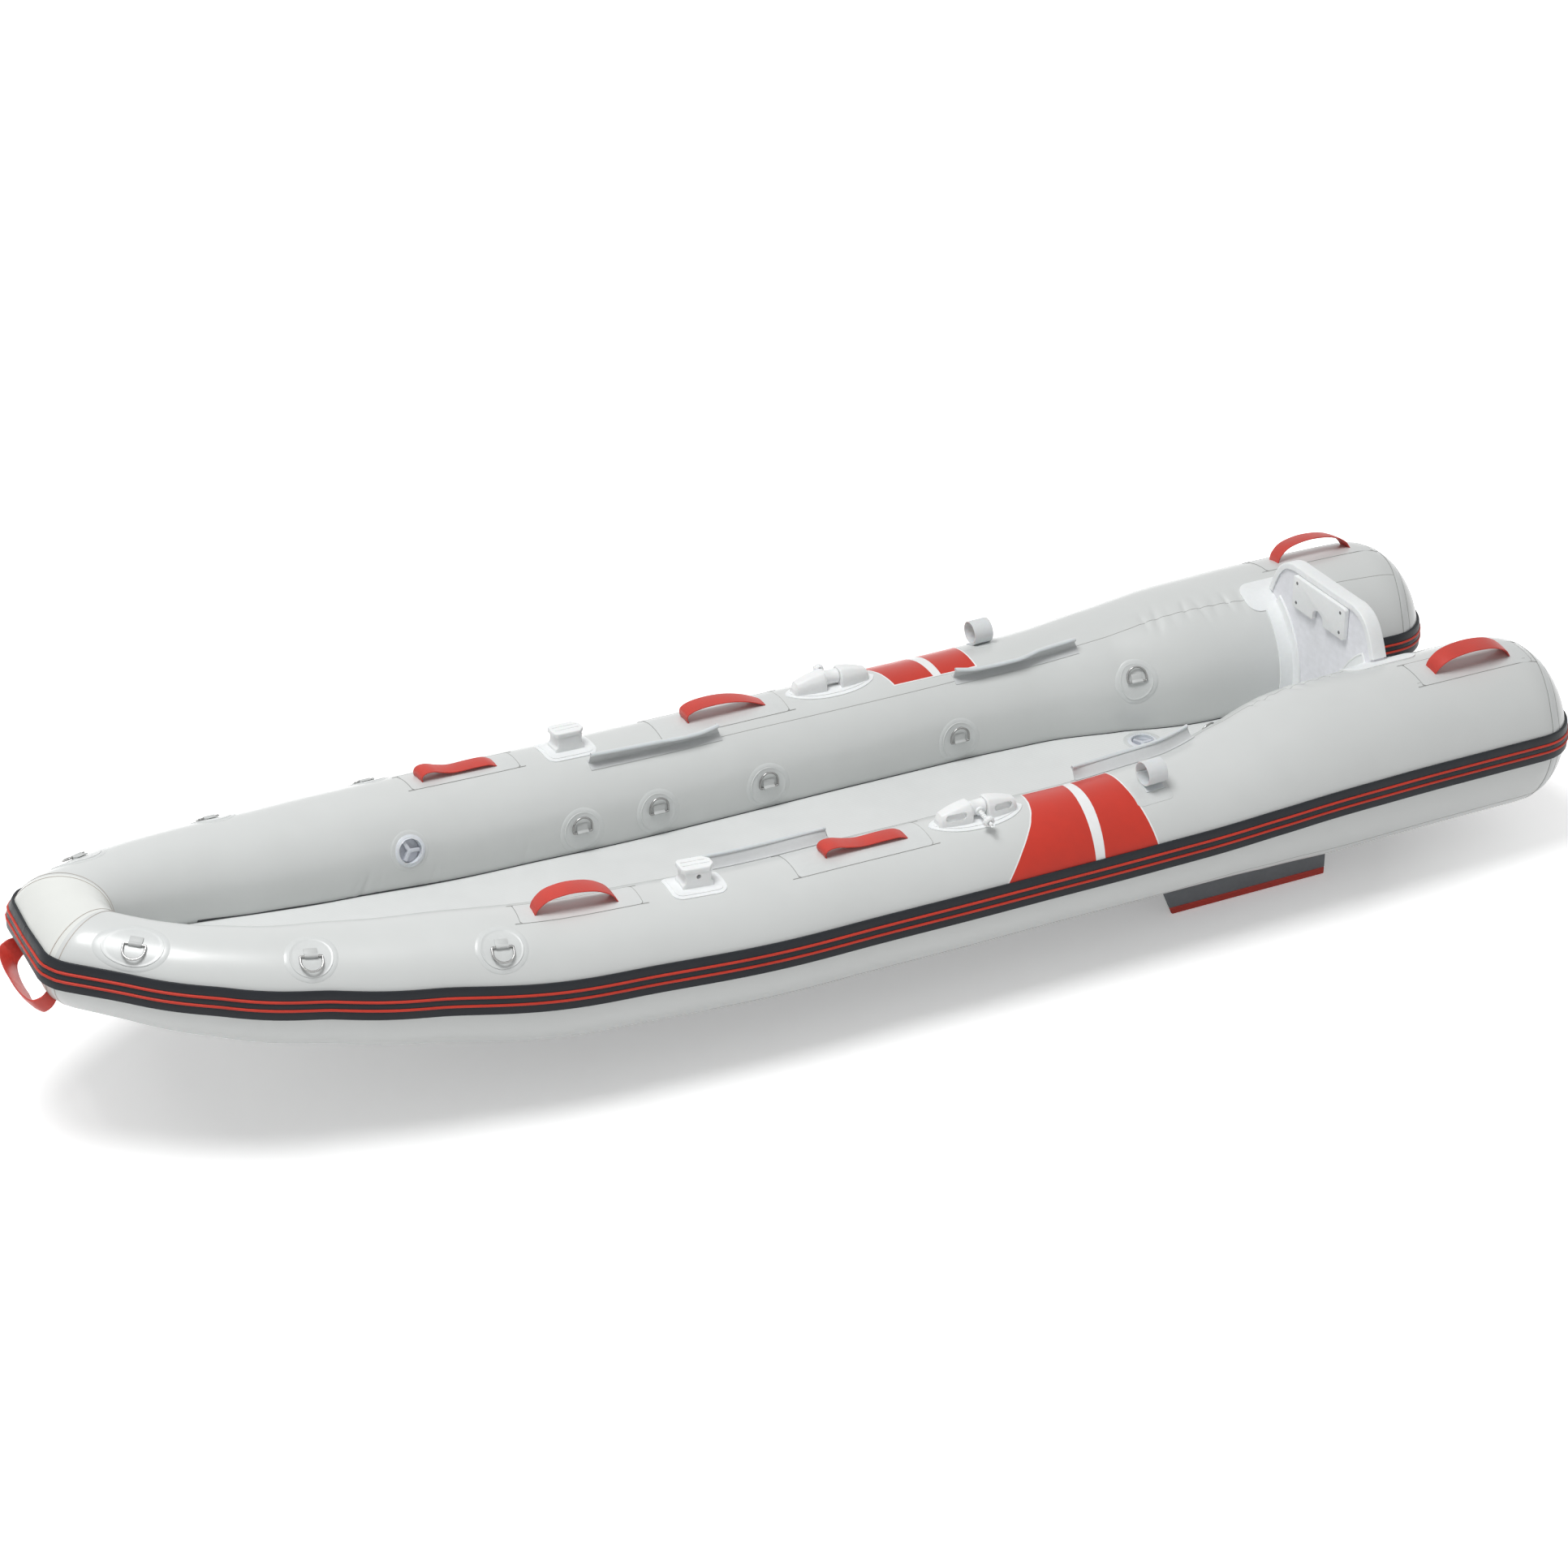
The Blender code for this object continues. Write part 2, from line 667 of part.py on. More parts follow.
def deck_valve_frame():
    level = deck_top(DECK_VALVE_STATION / HULL_LENGTH)
    return Matrix.Translation(in_row(Vector((DECK_VALVE_STATION, DECK_VALVE_Y, level))))


def valve_pocket(frame):
    length = VALVE_DEPTH * 2
    well = cylinder(VALVE_CUP_RADIUS + SEAT_GAP, length, VALVE_SIDES)
    return moved(well, frame @ Matrix.Translation((0, 0, -VALVE_DEPTH - SEAT_GAP)))


def side_tubes():
    for side, word in SIDES:
        tube = add(f"{word}_tube", side_tube(), PVC_GREY, side)
        places = [place[1:] for place in RING_PLACES]
        patches = cutter(f"{word}_patches", joined([patch(*place[:2]) for place in places]), side)
        tabs = cutter(f"{word}_tabs", joined([webbing_tab(*place) for place in places]), side)
        bores = joined([bar_bore(*place[:2]) for place in places] + [valve_pocket(valve_frame())])
        combine(tube, patches, "UNION")
        combine(tube, tabs, "UNION")
        combine(tube, cutter(f"{word}_bores", bores, side), "DIFFERENCE")
        for name, station, degrees, _ in RING_PLACES:
            steel_ring(f"{word}_ring_{name}", side, station, degrees)


def strake_section():
    """(arc, lift) round the strake: up its inner face, then down its outer face over two ribs."""
    low = STRAKE_LIFT - STRAKE_BREADTH / 2
    inner = [(low + STRAKE_BREADTH * k / STRAKE_INNER_STEPS, STRAKE_SEAT) for k in range(STRAKE_INNER_STEPS + 1)]
    outer = [(low + STRAKE_BREADTH, STRAKE_THICKNESS)]
    for place in (RIB_PLACE_SHARE, -RIB_PLACE_SHARE):
        middle = STRAKE_LIFT + STRAKE_BREADTH * place
        outer.append((middle + RIB_BREADTH / 2, STRAKE_THICKNESS))
        outer.append((middle, STRAKE_THICKNESS + RIB_HEIGHT))
        outer.append((middle - RIB_BREADTH / 2, STRAKE_THICKNESS))
    return inner + outer + [(low, STRAKE_THICKNESS)]


def strake_point(frame, arc, lift, way=1):
    """A point of the strake in a ring's plane, at an arc above the tube's middle; way -1 is inboard."""
    centre, outboard, up, radius = frame
    full = TAIL_FRAME[3] if centre.x > TAIL_FRAME[0].x else radius
    height = full * math.sin(arc / full)
    grown = 1 + lift / radius
    return in_row(centre + outboard * way * grown * math.sqrt(radius**2 - height**2) + up * grown * height)


def tail_point(arc, lift, across):
    """A point of the strake behind the tail, at a share of its reach to either side of the axis."""
    centre, outboard, up, _ = FRAMES[-1]
    radius = TAIL_FRAME[3]
    height = radius * math.sin(arc / radius)
    reach = across * math.sqrt(FRAMES[-3][3] ** 2 - height**2)
    short = TAIL_CAP_LENGTH * (1 - tail_fall(math.hypot(reach, height) / radius))
    return in_row(centre + outboard * reach * (1 + lift / radius) + Vector((lift - short, 0, 0)) + up * height)


def strakes():
    butt = (MIDDLE_FRAME[0] + Vector((0, SEAT_GAP, 0)), *MIDDLE_FRAME[1:])
    going = [butt] + FRAMES[:-2]
    returning = [frame for frame in FRAMES[:-2] if frame[0].x > HULL_LENGTH * STRAKE_STERN_SHARE][::-1]
    section = strake_section()
    rings = [[strake_point(frame, *spot) for spot in section] for frame in going]
    rings += [[tail_point(*spot, across) for spot in section] for across in TAIL_ACROSS_SHARES]
    rings += [[strake_point(frame, *spot, way=-1) for spot in section] for frame in returning]
    for side, word in SIDES:
        add(f"strake_{word}", loft(rings), STRAKE_BLACK, side)


def deck_top(share):
    return AXIS_HEIGHT + BOW_RISE * RISE(share) - DECK_DROP * TAPER(share)


def deck_floor(share):
    return deck_top(share) - DECK_THICKNESS * TAPER(share)


def deck_section(share, top, bottom, half, keel):
    """A slab's cross-section: a level top, or a keeled one, over a keeled bottom."""
    station = HULL_LENGTH * share
    spots = [(-half, top), (0, top - keel[0]), (half, top), (half, bottom), (0, bottom - keel[1]), (-half, bottom)]
    return [in_row(Vector((station, y, z))) for y, z in spots]


def keel_drop(share):
    return KEEL_DROP * TAPER(share)


def tube_cutters(name, lift, first=0, last=None):
    return [cutter(f"{name}_{word}", lifted_tube(lift, first, last), side) for side, word in SIDES]


def deck_and_skin(seats):
    """The air deck and the hull skin under it, both cut to the tubes that hold them."""
    board_share = (BOARD_FRONT - HOLDER_WALL - 3 * SEAT_GAP) / HULL_LENGTH
    shares = [*DECK_RING_SHARES, board_share]
    rings = []
    for share in shares:
        half = axis_point(share).y
        rings.append(deck_section(share, deck_top(share), deck_floor(share), half, (0, keel_drop(share))))
    deck = add("air_deck", loft(rings, "SHORT_EDGE"), DECK_GREY)
    rings = []
    for share in [*shares, (BOARD_FRONT + BOARD_THICKNESS) / HULL_LENGTH]:
        half, top = axis_point(share).y, deck_floor(share) - SEAT_GAP
        rings.append(deck_section(share, top, top - HULL_SKIN, half, (keel_drop(share), keel_drop(share))))
    skin = add("hull_skin", loft(rings, "SHORT_EDGE"), PVC_GREY)
    for seat in seats:
        combine(deck, seat, "DIFFERENCE")
        combine(skin, seat, "DIFFERENCE")
    holders = joined([holder_room(side) for side, _ in SIDES])
    combine(deck, cutter("holder_room", holders), "DIFFERENCE")
    combine(deck, cutter("deck_pocket", valve_pocket(deck_valve_frame())), "DIFFERENCE")


def holder_room(side):
    """The space that a transom holder's front flange takes from the deck's edge."""
    start = BOARD_FRONT - HOLDER_FLANGE - HOLDER_WALL - 3 * SEAT_GAP
    lift = HOLDER_FLANGE_THICKNESS + 2 * SEAT_GAP
    turns = [360 * k / TUBE_SIDES for k in range(TUBE_SIDES)]
    room = loft([[in_row(skin_point(x, turn, lift)) for turn in turns] for x in (start, BOARD_FRONT + HOLDER_FLANGE)])
    if side < 0:
        bmesh.ops.scale(room, vec=(1, -1, 1), verts=room.verts)
        bmesh.ops.reverse_faces(room, faces=room.faces)
    return room


def board_outline(grow=0.0):
    """The starboard half of the board's top edge, from the middle to inside the tube."""
    half = [
        (BOARD_HALF_WIDTH + BOARD_SHOULDER_WIDTH * across, BOARD_TOP - BOARD_SHOULDER_DROP * down)
        for across, down in BOARD_SHOULDER_SHARES
    ]
    line = [Vector(point) for point in [(0, BOARD_TOP), *half]]
    grown = []
    for k, point in enumerate(line):
        ahead = (line[min(k + 1, len(line) - 1)] - point).normalized()
        behind = (point - line[k - 1]).normalized() if k else ahead
        normal = (Vector((-ahead.y, ahead.x)) + Vector((-behind.y, behind.x))).normalized()
        grown.append(point + normal * grow)
    return grown


def across_boat(outline, start, thickness):
    """A plate in the YZ plane: outline points (y, z), from a station aft."""
    turn = Matrix(((0, 0, 1, 0), (1, 0, 0, 0), (0, 1, 0, 0), (0, 0, 0, 1)))
    plate = moved(prism(outline, thickness), turn)
    return moved(plate, Matrix.Translation(in_row(Vector((start, 0, 0)))))


def transom(skin_share):
    low = deck_floor(skin_share)
    half = board_outline()
    foot = [(half[-1].x, low), (0, low - keel_drop(skin_share)), (-half[-1].x, low)]
    edge = [(point.x, point.y) for point in half]
    outline = [(-y, z) for y, z in reversed(edge[1:])] + edge + foot
    board = add("transom_board", across_boat(outline, BOARD_FRONT, BOARD_THICKNESS), BOARD_GREY)
    lift = HOLDER_FLANGE_THICKNESS + 2 * SEAT_GAP
    for seat in tube_cutters("board_seat", lift, len(RING_SHARES) - 4):
        combine(board, seat, "DIFFERENCE")
    edge_cap()
    transom_holders()
    motor_pads()


def edge_cap():
    """White moulding in a channel over the board's top and shoulders."""
    outer = [(point.x, point.y) for point in board_outline(CAP_TOP + SEAT_GAP)[:-1]]
    inner = [(point.x, point.y) for point in board_outline(-CAP_LIP)[:-1]]
    outline = [(-y, z) for y, z in reversed(outer[1:])] + outer
    outline += list(reversed(inner)) + [(-y, z) for y, z in inner[1:]]
    breadth = BOARD_THICKNESS + 2 * (CAP_WALL + SEAT_GAP)
    cap = add("transom_edge_cap", across_boat(outline, BOARD_FRONT - CAP_WALL - SEAT_GAP, breadth), MOULDED_WHITE)
    top = [(point.x, point.y) for point in board_outline(SEAT_GAP)]
    floor = BOARD_TOP - BOARD_SHOULDER_DROP * 3
    slot = [(-y, z) for y, z in reversed(top[1:])] + top + [(top[-1][0], floor), (-top[-1][0], floor)]
    room = across_boat(slot, BOARD_FRONT - SEAT_GAP, BOARD_THICKNESS + 2 * SEAT_GAP)
    combine(cap, cutter("edge_cap_slot", room), "DIFFERENCE")


def holder_section():
    """(X from the board's front, lift) round the channel that grips the board's edge."""
    low, high = SEAT_GAP, SEAT_GAP + HOLDER_FLANGE_THICKNESS
    front, back = -SEAT_GAP, BOARD_THICKNESS + SEAT_GAP
    tip = HOLDER_WALL_HEIGHT
    return [
        (front - HOLDER_WALL - HOLDER_FLANGE, low),
        (back + HOLDER_WALL + HOLDER_FLANGE, low),
        (back + HOLDER_WALL + HOLDER_FLANGE, high),
        (back + HOLDER_WALL, high),
        (back + HOLDER_WALL, tip),
        (back, tip),
        (back, high),
        (front, high),
        (front, tip),
        (front - HOLDER_WALL, tip),
        (front - HOLDER_WALL, high),
        (front - HOLDER_WALL - HOLDER_FLANGE, high),
    ]


def transom_holders():
    step = 180 / TUBE_SIDES
    first, last = math.ceil(-HOLDER_TOP_ANGLE / step), math.floor(-HOLDER_BOTTOM_ANGLE / step)
    turns = [HOLDER_TOP_ANGLE] + [-step * k for k in range(first, last + 1)]
    rings = []
    for turn in turns:
        ring = [glued_point(BOARD_FRONT + x, turn, lift) for x, lift in holder_section()]
        for point, (x, _) in zip(ring, holder_section()):
            point.x = in_row(Vector((BOARD_FRONT + x, 0, 0))).x
        rings.append(ring)
    for side, word in SIDES:
        add(f"transom_holder_{word}", loft(rings), MOULDED_WHITE, side)


def rounded(width, height, corner, steps=3):
    """A rectangle about the origin with round corners."""
    outline = []
    for quarter, (x, y) in enumerate(((1, 1), (-1, 1), (-1, -1), (1, -1))):
        for k in range(steps + 1):
            turn = math.radians(90 * (quarter + k / steps))
            outline.append((
                x * (width / 2 - corner) + corner * math.cos(turn),
                y * (height / 2 - corner) + corner * math.sin(turn),
            ))
    return outline


def motor_pads():
    """The inner pad has a notch at its foot; the outer pad is plain and lies behind the board."""
    top = BOARD_TOP - CAP_LIP - PAD_TOP_GAP
    inner = rounded(PAD_WIDTH, PAD_HEIGHT, PAD_CORNER)
    plate = across_boat(
        [(y, z + top - PAD_HEIGHT / 2) for y, z in inner], BOARD_FRONT - SEAT_GAP - PAD_THICKNESS, PAD_THICKNESS
    )
    pad = add("motor_pad_inner", plate, MOULDED_WHITE)
    low = top - PAD_HEIGHT
    notch = [(-PAD_NOTCH_WIDTH / 2, low - PAD_CORNER)]
    arc = [math.radians(180 - 30 * k) for k in range(7)]
    reach = PAD_NOTCH_WIDTH / 2
    notch += [(reach * math.cos(turn), low + PAD_NOTCH_HEIGHT - reach + reach * math.sin(turn)) for turn in arc]
    notch.append((PAD_NOTCH_WIDTH / 2, low - PAD_CORNER))
    room = across_boat(notch, BOARD_FRONT - 2 * PAD_THICKNESS, 3 * PAD_THICKNESS)
    combine(pad, cutter("pad_notch", room), "DIFFERENCE")
    outer = [(y, z + top - OUTER_PAD_HEIGHT / 2) for y, z in rounded(PAD_WIDTH, OUTER_PAD_HEIGHT, PAD_CORNER)]
    behind = BOARD_FRONT + BOARD_THICKNESS + SEAT_GAP
    add("motor_pad_outer", across_boat(outer, behind, OUTER_PAD_THICKNESS), MOULDED_WHITE)


def fins(seats):
    """Blades under the tubes, each with a foot glued to the tube."""
    for (side, word), seat in zip(SIDES, seats):
        share = (FIN_STERN - FIN_LENGTH / 2) / HULL_LENGTH
        axis = axis_point(share)
        top = axis.z - STERN_TUBE_RADIUS / 2
        fin_y = HALF_BEAM - STERN_TUBE_RADIUS + FIN_OUTSET
        lean = FIN_RAKE * top / (axis.z - STERN_TUBE_RADIUS)
        outline = [(FIN_STERN, 0), (FIN_STERN, top), (FIN_STERN - FIN_LENGTH - lean, top), (FIN_STERN - FIN_LENGTH, 0)]
        stand = Matrix(((1, 0, 0, 0), (0, 0, 1, fin_y - FIN_THICKNESS / 2), (0, 1, 0, 0), (0, 0, 0, 1)))
        blade = moved(prism(outline, FIN_THICKNESS), Matrix.Translation(in_row(Vector())) @ stand)
        fin = add(f"fin_{word}", blade, FIN_GREY, side)
        foot = rounded(FIN_LENGTH + lean, FIN_FOOT_WIDTH, FIN_FOOT_WIDTH / 4, 2)
        foot = prism(foot, FIN_FOOT_THICKNESS + PLATE_SINK)
        middle = FIN_STERN - (FIN_LENGTH + lean) / 2
        foot = sliced(foot, (1, 0, 0), [frame[0].x - middle for frame in FRAMES[len(RING_SHARES) // 2:]])
        foot = sliced(foot, (0, 1, 0), [0])
        foot = wrapped(moved(foot, Matrix.Translation((0, 0, -PLATE_SINK))), middle, 180)
        combine(fin, cutter(f"fin_foot_{word}", foot, side), "UNION")
        combine(fin, seat, "DIFFERENCE")


def strap_line(span, rise, sway):
    """The underside of a strap handle, (along, height): flat feet and an arch that may lean."""
    half = span / 2 - STRAP_FOOT
    line = [(-half - STRAP_FOOT, 0.0), (-half, 0.0)]
    for k in range(1, STRAP_STEPS):
        turn = math.pi * k / STRAP_STEPS
        lean = sway * half * math.sin(turn) ** 2
        line.append((-half * math.cos(turn) + lean, rise * math.sin(turn) ** 0.75))
    return line + [(half, 0.0), (half + STRAP_FOOT, 0.0)]


def strap_rings(line, place):
    """Cross-sections of a strap along its line, each four corners put in place by a function."""
    rings = []
    for k, (x, z) in enumerate(line):
        before, after = line[max(k - 1, 0)], line[min(k + 1, len(line) - 1)]
        slope = Vector((after[0] - before[0], after[1] - before[1])).normalized()
        top = (x - slope.y * STRAP_THICKNESS, z + slope.x * STRAP_THICKNESS)
        half = STRAP_WIDTH / 2
        rings.append([
            place(x, -half, z),
            place(x, 0, z),
            place(x, half, z),
            place(top[0], half, top[1]),
            place(top[0], 0, top[1]),
            place(top[0], -half, top[1]),
        ])
    return rings


def handles():
    """Red straps: six on the side tubes and the tow handle under the bow strake."""
    taut, slack = (HANDLE_RISE, 0.0), (SLACK_RISE, SLACK_SWAY_SHARE)
    places = (
        ("front", FRONT_HANDLE_STATION, FRONT_HANDLE_SPAN, 0.0, {1: slack, -1: taut}),
        ("middle", MIDDLE_HANDLE_STATION, MIDDLE_HANDLE_SPAN, 0.0, {1: slack, -1: slack}),
        ("stern", STERN_HANDLE_STATION, STERN_HANDLE_SPAN, STERN_HANDLE_ANGLE, {1: taut, -1: taut}),
    )
    for name, station, span, degrees, shapes in places:
        for side, word in SIDES:

            def place(along, across, height):
                at = station + along
                turn = degrees + math.degrees(across / local_radius(at))
                return glued_point(at, turn, STRAP_SEAT + height)

            add(f"handle_{name}_{word}", loft(strap_rings(strap_line(span, *shapes[side]), place)), STRAP_RED, side)

    def bow_place(along, across, height):
        turn = TOW_HANDLE_ANGLE + math.degrees(across / MIDDLE_FRAME[3])
        return in_row(bow_point(along, turn, STRAP_SEAT + height, facet_shape(turn)))

    add("bow_tow_handle", loft(strap_rings(strap_line(TOW_HANDLE_SPAN, TOW_HANDLE_RISE, 0), bow_place)), STRAP_RED)


def accessory_blocks(seats):
    """An I-shaped block on a rounded base plate, drilled across, with a grooved top."""
    foot, waist, top = BLOCK_FOOT_LENGTH / 2, BLOCK_WAIST_LENGTH / 2, BLOCK_TOP_LENGTH / 2
    neck, head = BLOCK_HEIGHT - BLOCK_TOP_THICKNESS, BLOCK_HEIGHT
    half = [
        (foot, -PIECE_DEPTH),
        (foot, BLOCK_FOOT_HEIGHT - BLOCK_CHAMFER),
        (waist, BLOCK_FOOT_HEIGHT),
        (waist, neck - BLOCK_CHAMFER),
        (top, neck),
        (top, head - BLOCK_CHAMFER / 2),
        (top - BLOCK_CHAMFER / 2, head),
    ]
    outline = half + [(-x, z) for x, z in reversed(half)]
    frame = seat_frame(BLOCK_STATION, 0)
    stand = Matrix(((1, 0, 0, 0), (0, 0, -1, BLOCK_WIDTH / 2), (0, 1, 0, 0), (0, 0, 0, 1)))
    for (side, word), seat in zip(SIDES, seats):
        block = add(f"accessory_block_{word}", moved(prism(outline, BLOCK_WIDTH), frame @ stand), MOULDED_WHITE, side)
        plate = rounded(BLOCK_PLATE_LENGTH, BLOCK_PLATE_WIDTH, BLOCK_PLATE_CORNER)
        plate = base_plate(plate, BLOCK_PLATE_THICKNESS, BLOCK_STATION)
        combine(block, cutter(f"block_plate_{word}", plate, side), "UNION")
        hole = cylinder(BLOCK_HOLE_RADIUS, 2 * BLOCK_WIDTH, 12)
        lying = Matrix.Rotation(math.pi / 2, 4, "X") @ Matrix.Translation((0, 0, -BLOCK_WIDTH))
        tools = [moved(hole, frame @ Matrix.Translation((0, 0, BLOCK_HOLE_HEIGHT)) @ lying)]
        for place in (-BLOCK_GROOVE_PITCH / 2, BLOCK_GROOVE_PITCH / 2):
            groove = box(2 * BLOCK_TOP_LENGTH, BLOCK_GROOVE_WIDTH, 2 * BLOCK_GROOVE_DEPTH)
            tools.append(moved(groove, frame @ Matrix.Translation((0, place, BLOCK_HEIGHT))))
        combine(block, cutter(f"block_tools_{word}", joined(tools), side), "DIFFERENCE")
        combine(block, seat, "DIFFERENCE")


def box(length, width, height):
    made = bmesh.new()
    bmesh.ops.create_cube(made, size=1, matrix=Matrix.Diagonal((length, width, height, 1)))
    return made


def base_plate(outline, thickness, station):
    """A plate bent over the top of the tube; its underside is cut off later at the skin."""
    corner = math.tau / TUBE_SIDES * local_radius(station)
    plate = sliced(prism(outline, thickness + PLATE_SINK), (0, 1, 0), [-corner, 0, corner])
    return wrapped(moved(plate, Matrix.Translation((0, 0, -PLATE_SINK))), station, 0)


def pointed_oval(length, width, steps=6):
    """A leaf shape whose ends are blunt points."""
    right = []
    for k in range(steps + 1):
        share = 1 - 2 * k / steps
        right.append((length / 2 * share, width / 2 * math.cos(share * math.pi / 2) ** 0.6))
    right[0] = (length / 2, width / 12)
    right[-1] = (-length / 2, width / 12)
    return right + [(x, -y) for x, y in reversed(right)]


def oarlocks(seats):
    """A base with two humps that carry a barrel between them; the barrel holds a stud and a nut."""
    frame = seat_frame(OARLOCK_STATION, 0)
    axis = frame @ Matrix.Translation((0, 0, BARREL_HEIGHT))
    for (side, word), seat in zip(SIDES, seats):
        plate = pointed_oval(OARLOCK_PLATE_LENGTH, OARLOCK_PLATE_WIDTH)
        plate = base_plate(plate, OARLOCK_PLATE_THICKNESS, OARLOCK_STATION)
        base = add(f"oarlock_base_{word}", plate, MOULDED_WHITE, side)
        for way, part in ((1, "aft"), (-1, "front")):
            combine(base, cutter(f"hump_{part}_{word}", moved(hump(way), frame), side), "UNION")
        reach = HUMP_GAP + 2 * (TRUNNION_LENGTH + BARREL_CLEARANCE)
        bore = (TRUNNION_RADIUS + BARREL_CLEARANCE) / math.cos(math.pi / SOCKET_SIDES)
        socket = cylinder(bore, reach, SOCKET_SIDES)
        lying = Matrix.Rotation(math.pi / 2, 4, "Y") @ Matrix.Translation((0, 0, -reach / 2))
        pockets = [moved(socket, axis @ lying)] + [moved(pocket(way), frame) for way in (1, -1)]
        combine(base, cutter(f"oarlock_tools_{word}", joined(pockets), side), "DIFFERENCE")
        combine(base, seat, "DIFFERENCE")
        swivel(side, word, axis)


def hump(way):
    """One raised end of an oarlock base, high at the barrel and lower at the tip."""
    start, end = way * HUMP_GAP / 2, way * (HUMP_GAP / 2 + HUMP_LENGTH)
    rings = []
    for share in (0.0, 0.45, 0.85, 1.0):
        x = start + (end - start) * share
        narrow = 1 - (1 - HUMP_TAPER_SHARE) * share**2
        tall = HUMP_HEIGHT * (1 - (1 - HUMP_TAPER_SHARE) * share**2)
        half, crown = HUMP_WIDTH / 2 * narrow, HUMP_WIDTH / 2 * narrow * HUMP_TAPER_SHARE
        rings.append([
            Vector((x, -half, -PIECE_DEPTH)),
            Vector((x, half, -PIECE_DEPTH)),
            Vector((x, half, tall * HUMP_TAPER_SHARE)),
            Vector((x, crown, tall - HUMP_BEVEL / 2)),
            Vector((x, crown - HUMP_BEVEL, tall)),
            Vector((x, HUMP_BEVEL - crown, tall)),
            Vector((x, -crown, tall - HUMP_BEVEL / 2)),
            Vector((x, -half, tall * HUMP_TAPER_SHARE)),
        ])
    return loft(rings)


def pocket(way):
    """The long recess in the outboard face of a hump."""
    middle = way * (HUMP_GAP + HUMP_LENGTH) / 2
    tool = prism(rounded(POCKET_LENGTH, POCKET_WIDTH, POCKET_WIDTH / 2.1, 2), 2 * POCKET_DEPTH)
    lean = Matrix.Rotation(math.radians(-60), 4, "X")
    depth = Matrix.Translation((0, 0, -POCKET_DEPTH))
    return moved(tool, Matrix.Translation((middle, HUMP_WIDTH / 2, POCKET_HEIGHT)) @ lean @ depth)


def stud_frame(axis):
    """Z along the stud, pointing outboard and a little down from the barrel's axis."""
    return axis @ Matrix.Rotation(math.radians(-90 - STUD_DROOP), 4, "X")


def swivel(side, word, axis):
    half = HUMP_GAP / 2 - BARREL_CLEARANCE
    end = half + TRUNNION_LENGTH
    profile = [
        (0, -end),
        (TRUNNION_RADIUS, -end),
        (TRUNNION_RADIUS, -half),
        (BARREL_RADIUS, -half),
        (BARREL_RADIUS, half),
        (TRUNNION_RADIUS, half),
        (TRUNNION_RADIUS, end),
        (0, end),
    ]
    barrel = moved(turned(profile, BARREL_SIDES), axis @ Matrix.Rotation(math.pi / 2, 4, "Y"))
    barrel = add(f"oarlock_barrel_{word}", barrel, MOULDED_WHITE, side, axis)
    along = stud_frame(axis)
    inner = BARREL_RADIUS - STUD_DEPTH
    hole = moved(cylinder(STUD_RADIUS + SEAT_GAP, BARREL_RADIUS, STUD_SIDES), along @ Matrix.Translation((0, 0, inner)))
    combine(barrel, cutter(f"barrel_hole_{word}", hole, side), "DIFFERENCE")
    tip = BARREL_RADIUS + STUD_LENGTH
    spine = [
        (0, inner + SEAT_GAP),
        (STUD_RADIUS, inner + SEAT_GAP),
        (STUD_RADIUS, tip - STUD_RADIUS),
        (STUD_TIP_RADIUS, tip - STUD_RADIUS / 2),
        (STUD_TIP_RADIUS, tip),
        (0, tip),
    ]
    add(f"oarlock_stud_{word}", moved(turned(spine, STUD_SIDES), along), MOULDED_WHITE, side, along)
    start = BARREL_RADIUS + NUT_PLACE
    bore = (STUD_RADIUS + BARREL_CLEARANCE) / math.cos(math.pi / NUT_SIDES)
    rings = []
    for radius, height in (
        (bore, start),
        (NUT_RADIUS * HUMP_TAPER_SHARE, start),
        (NUT_RADIUS, start + NUT_LENGTH / 3),
        (NUT_RADIUS, start + NUT_LENGTH * 2 / 3),
        (NUT_RADIUS * HUMP_TAPER_SHARE, start + NUT_LENGTH),
        (bore, start + NUT_LENGTH),
        (bore, start),
    ):
        turns = [math.tau * k / NUT_SIDES for k in range(NUT_SIDES)]
        rings.append([Vector((radius * math.cos(turn), radius * math.sin(turn), height)) for turn in turns])
    nut = moved(loft(rings), along)
    add(f"oarlock_nut_{word}", nut, MOULDED_WHITE, side, along)


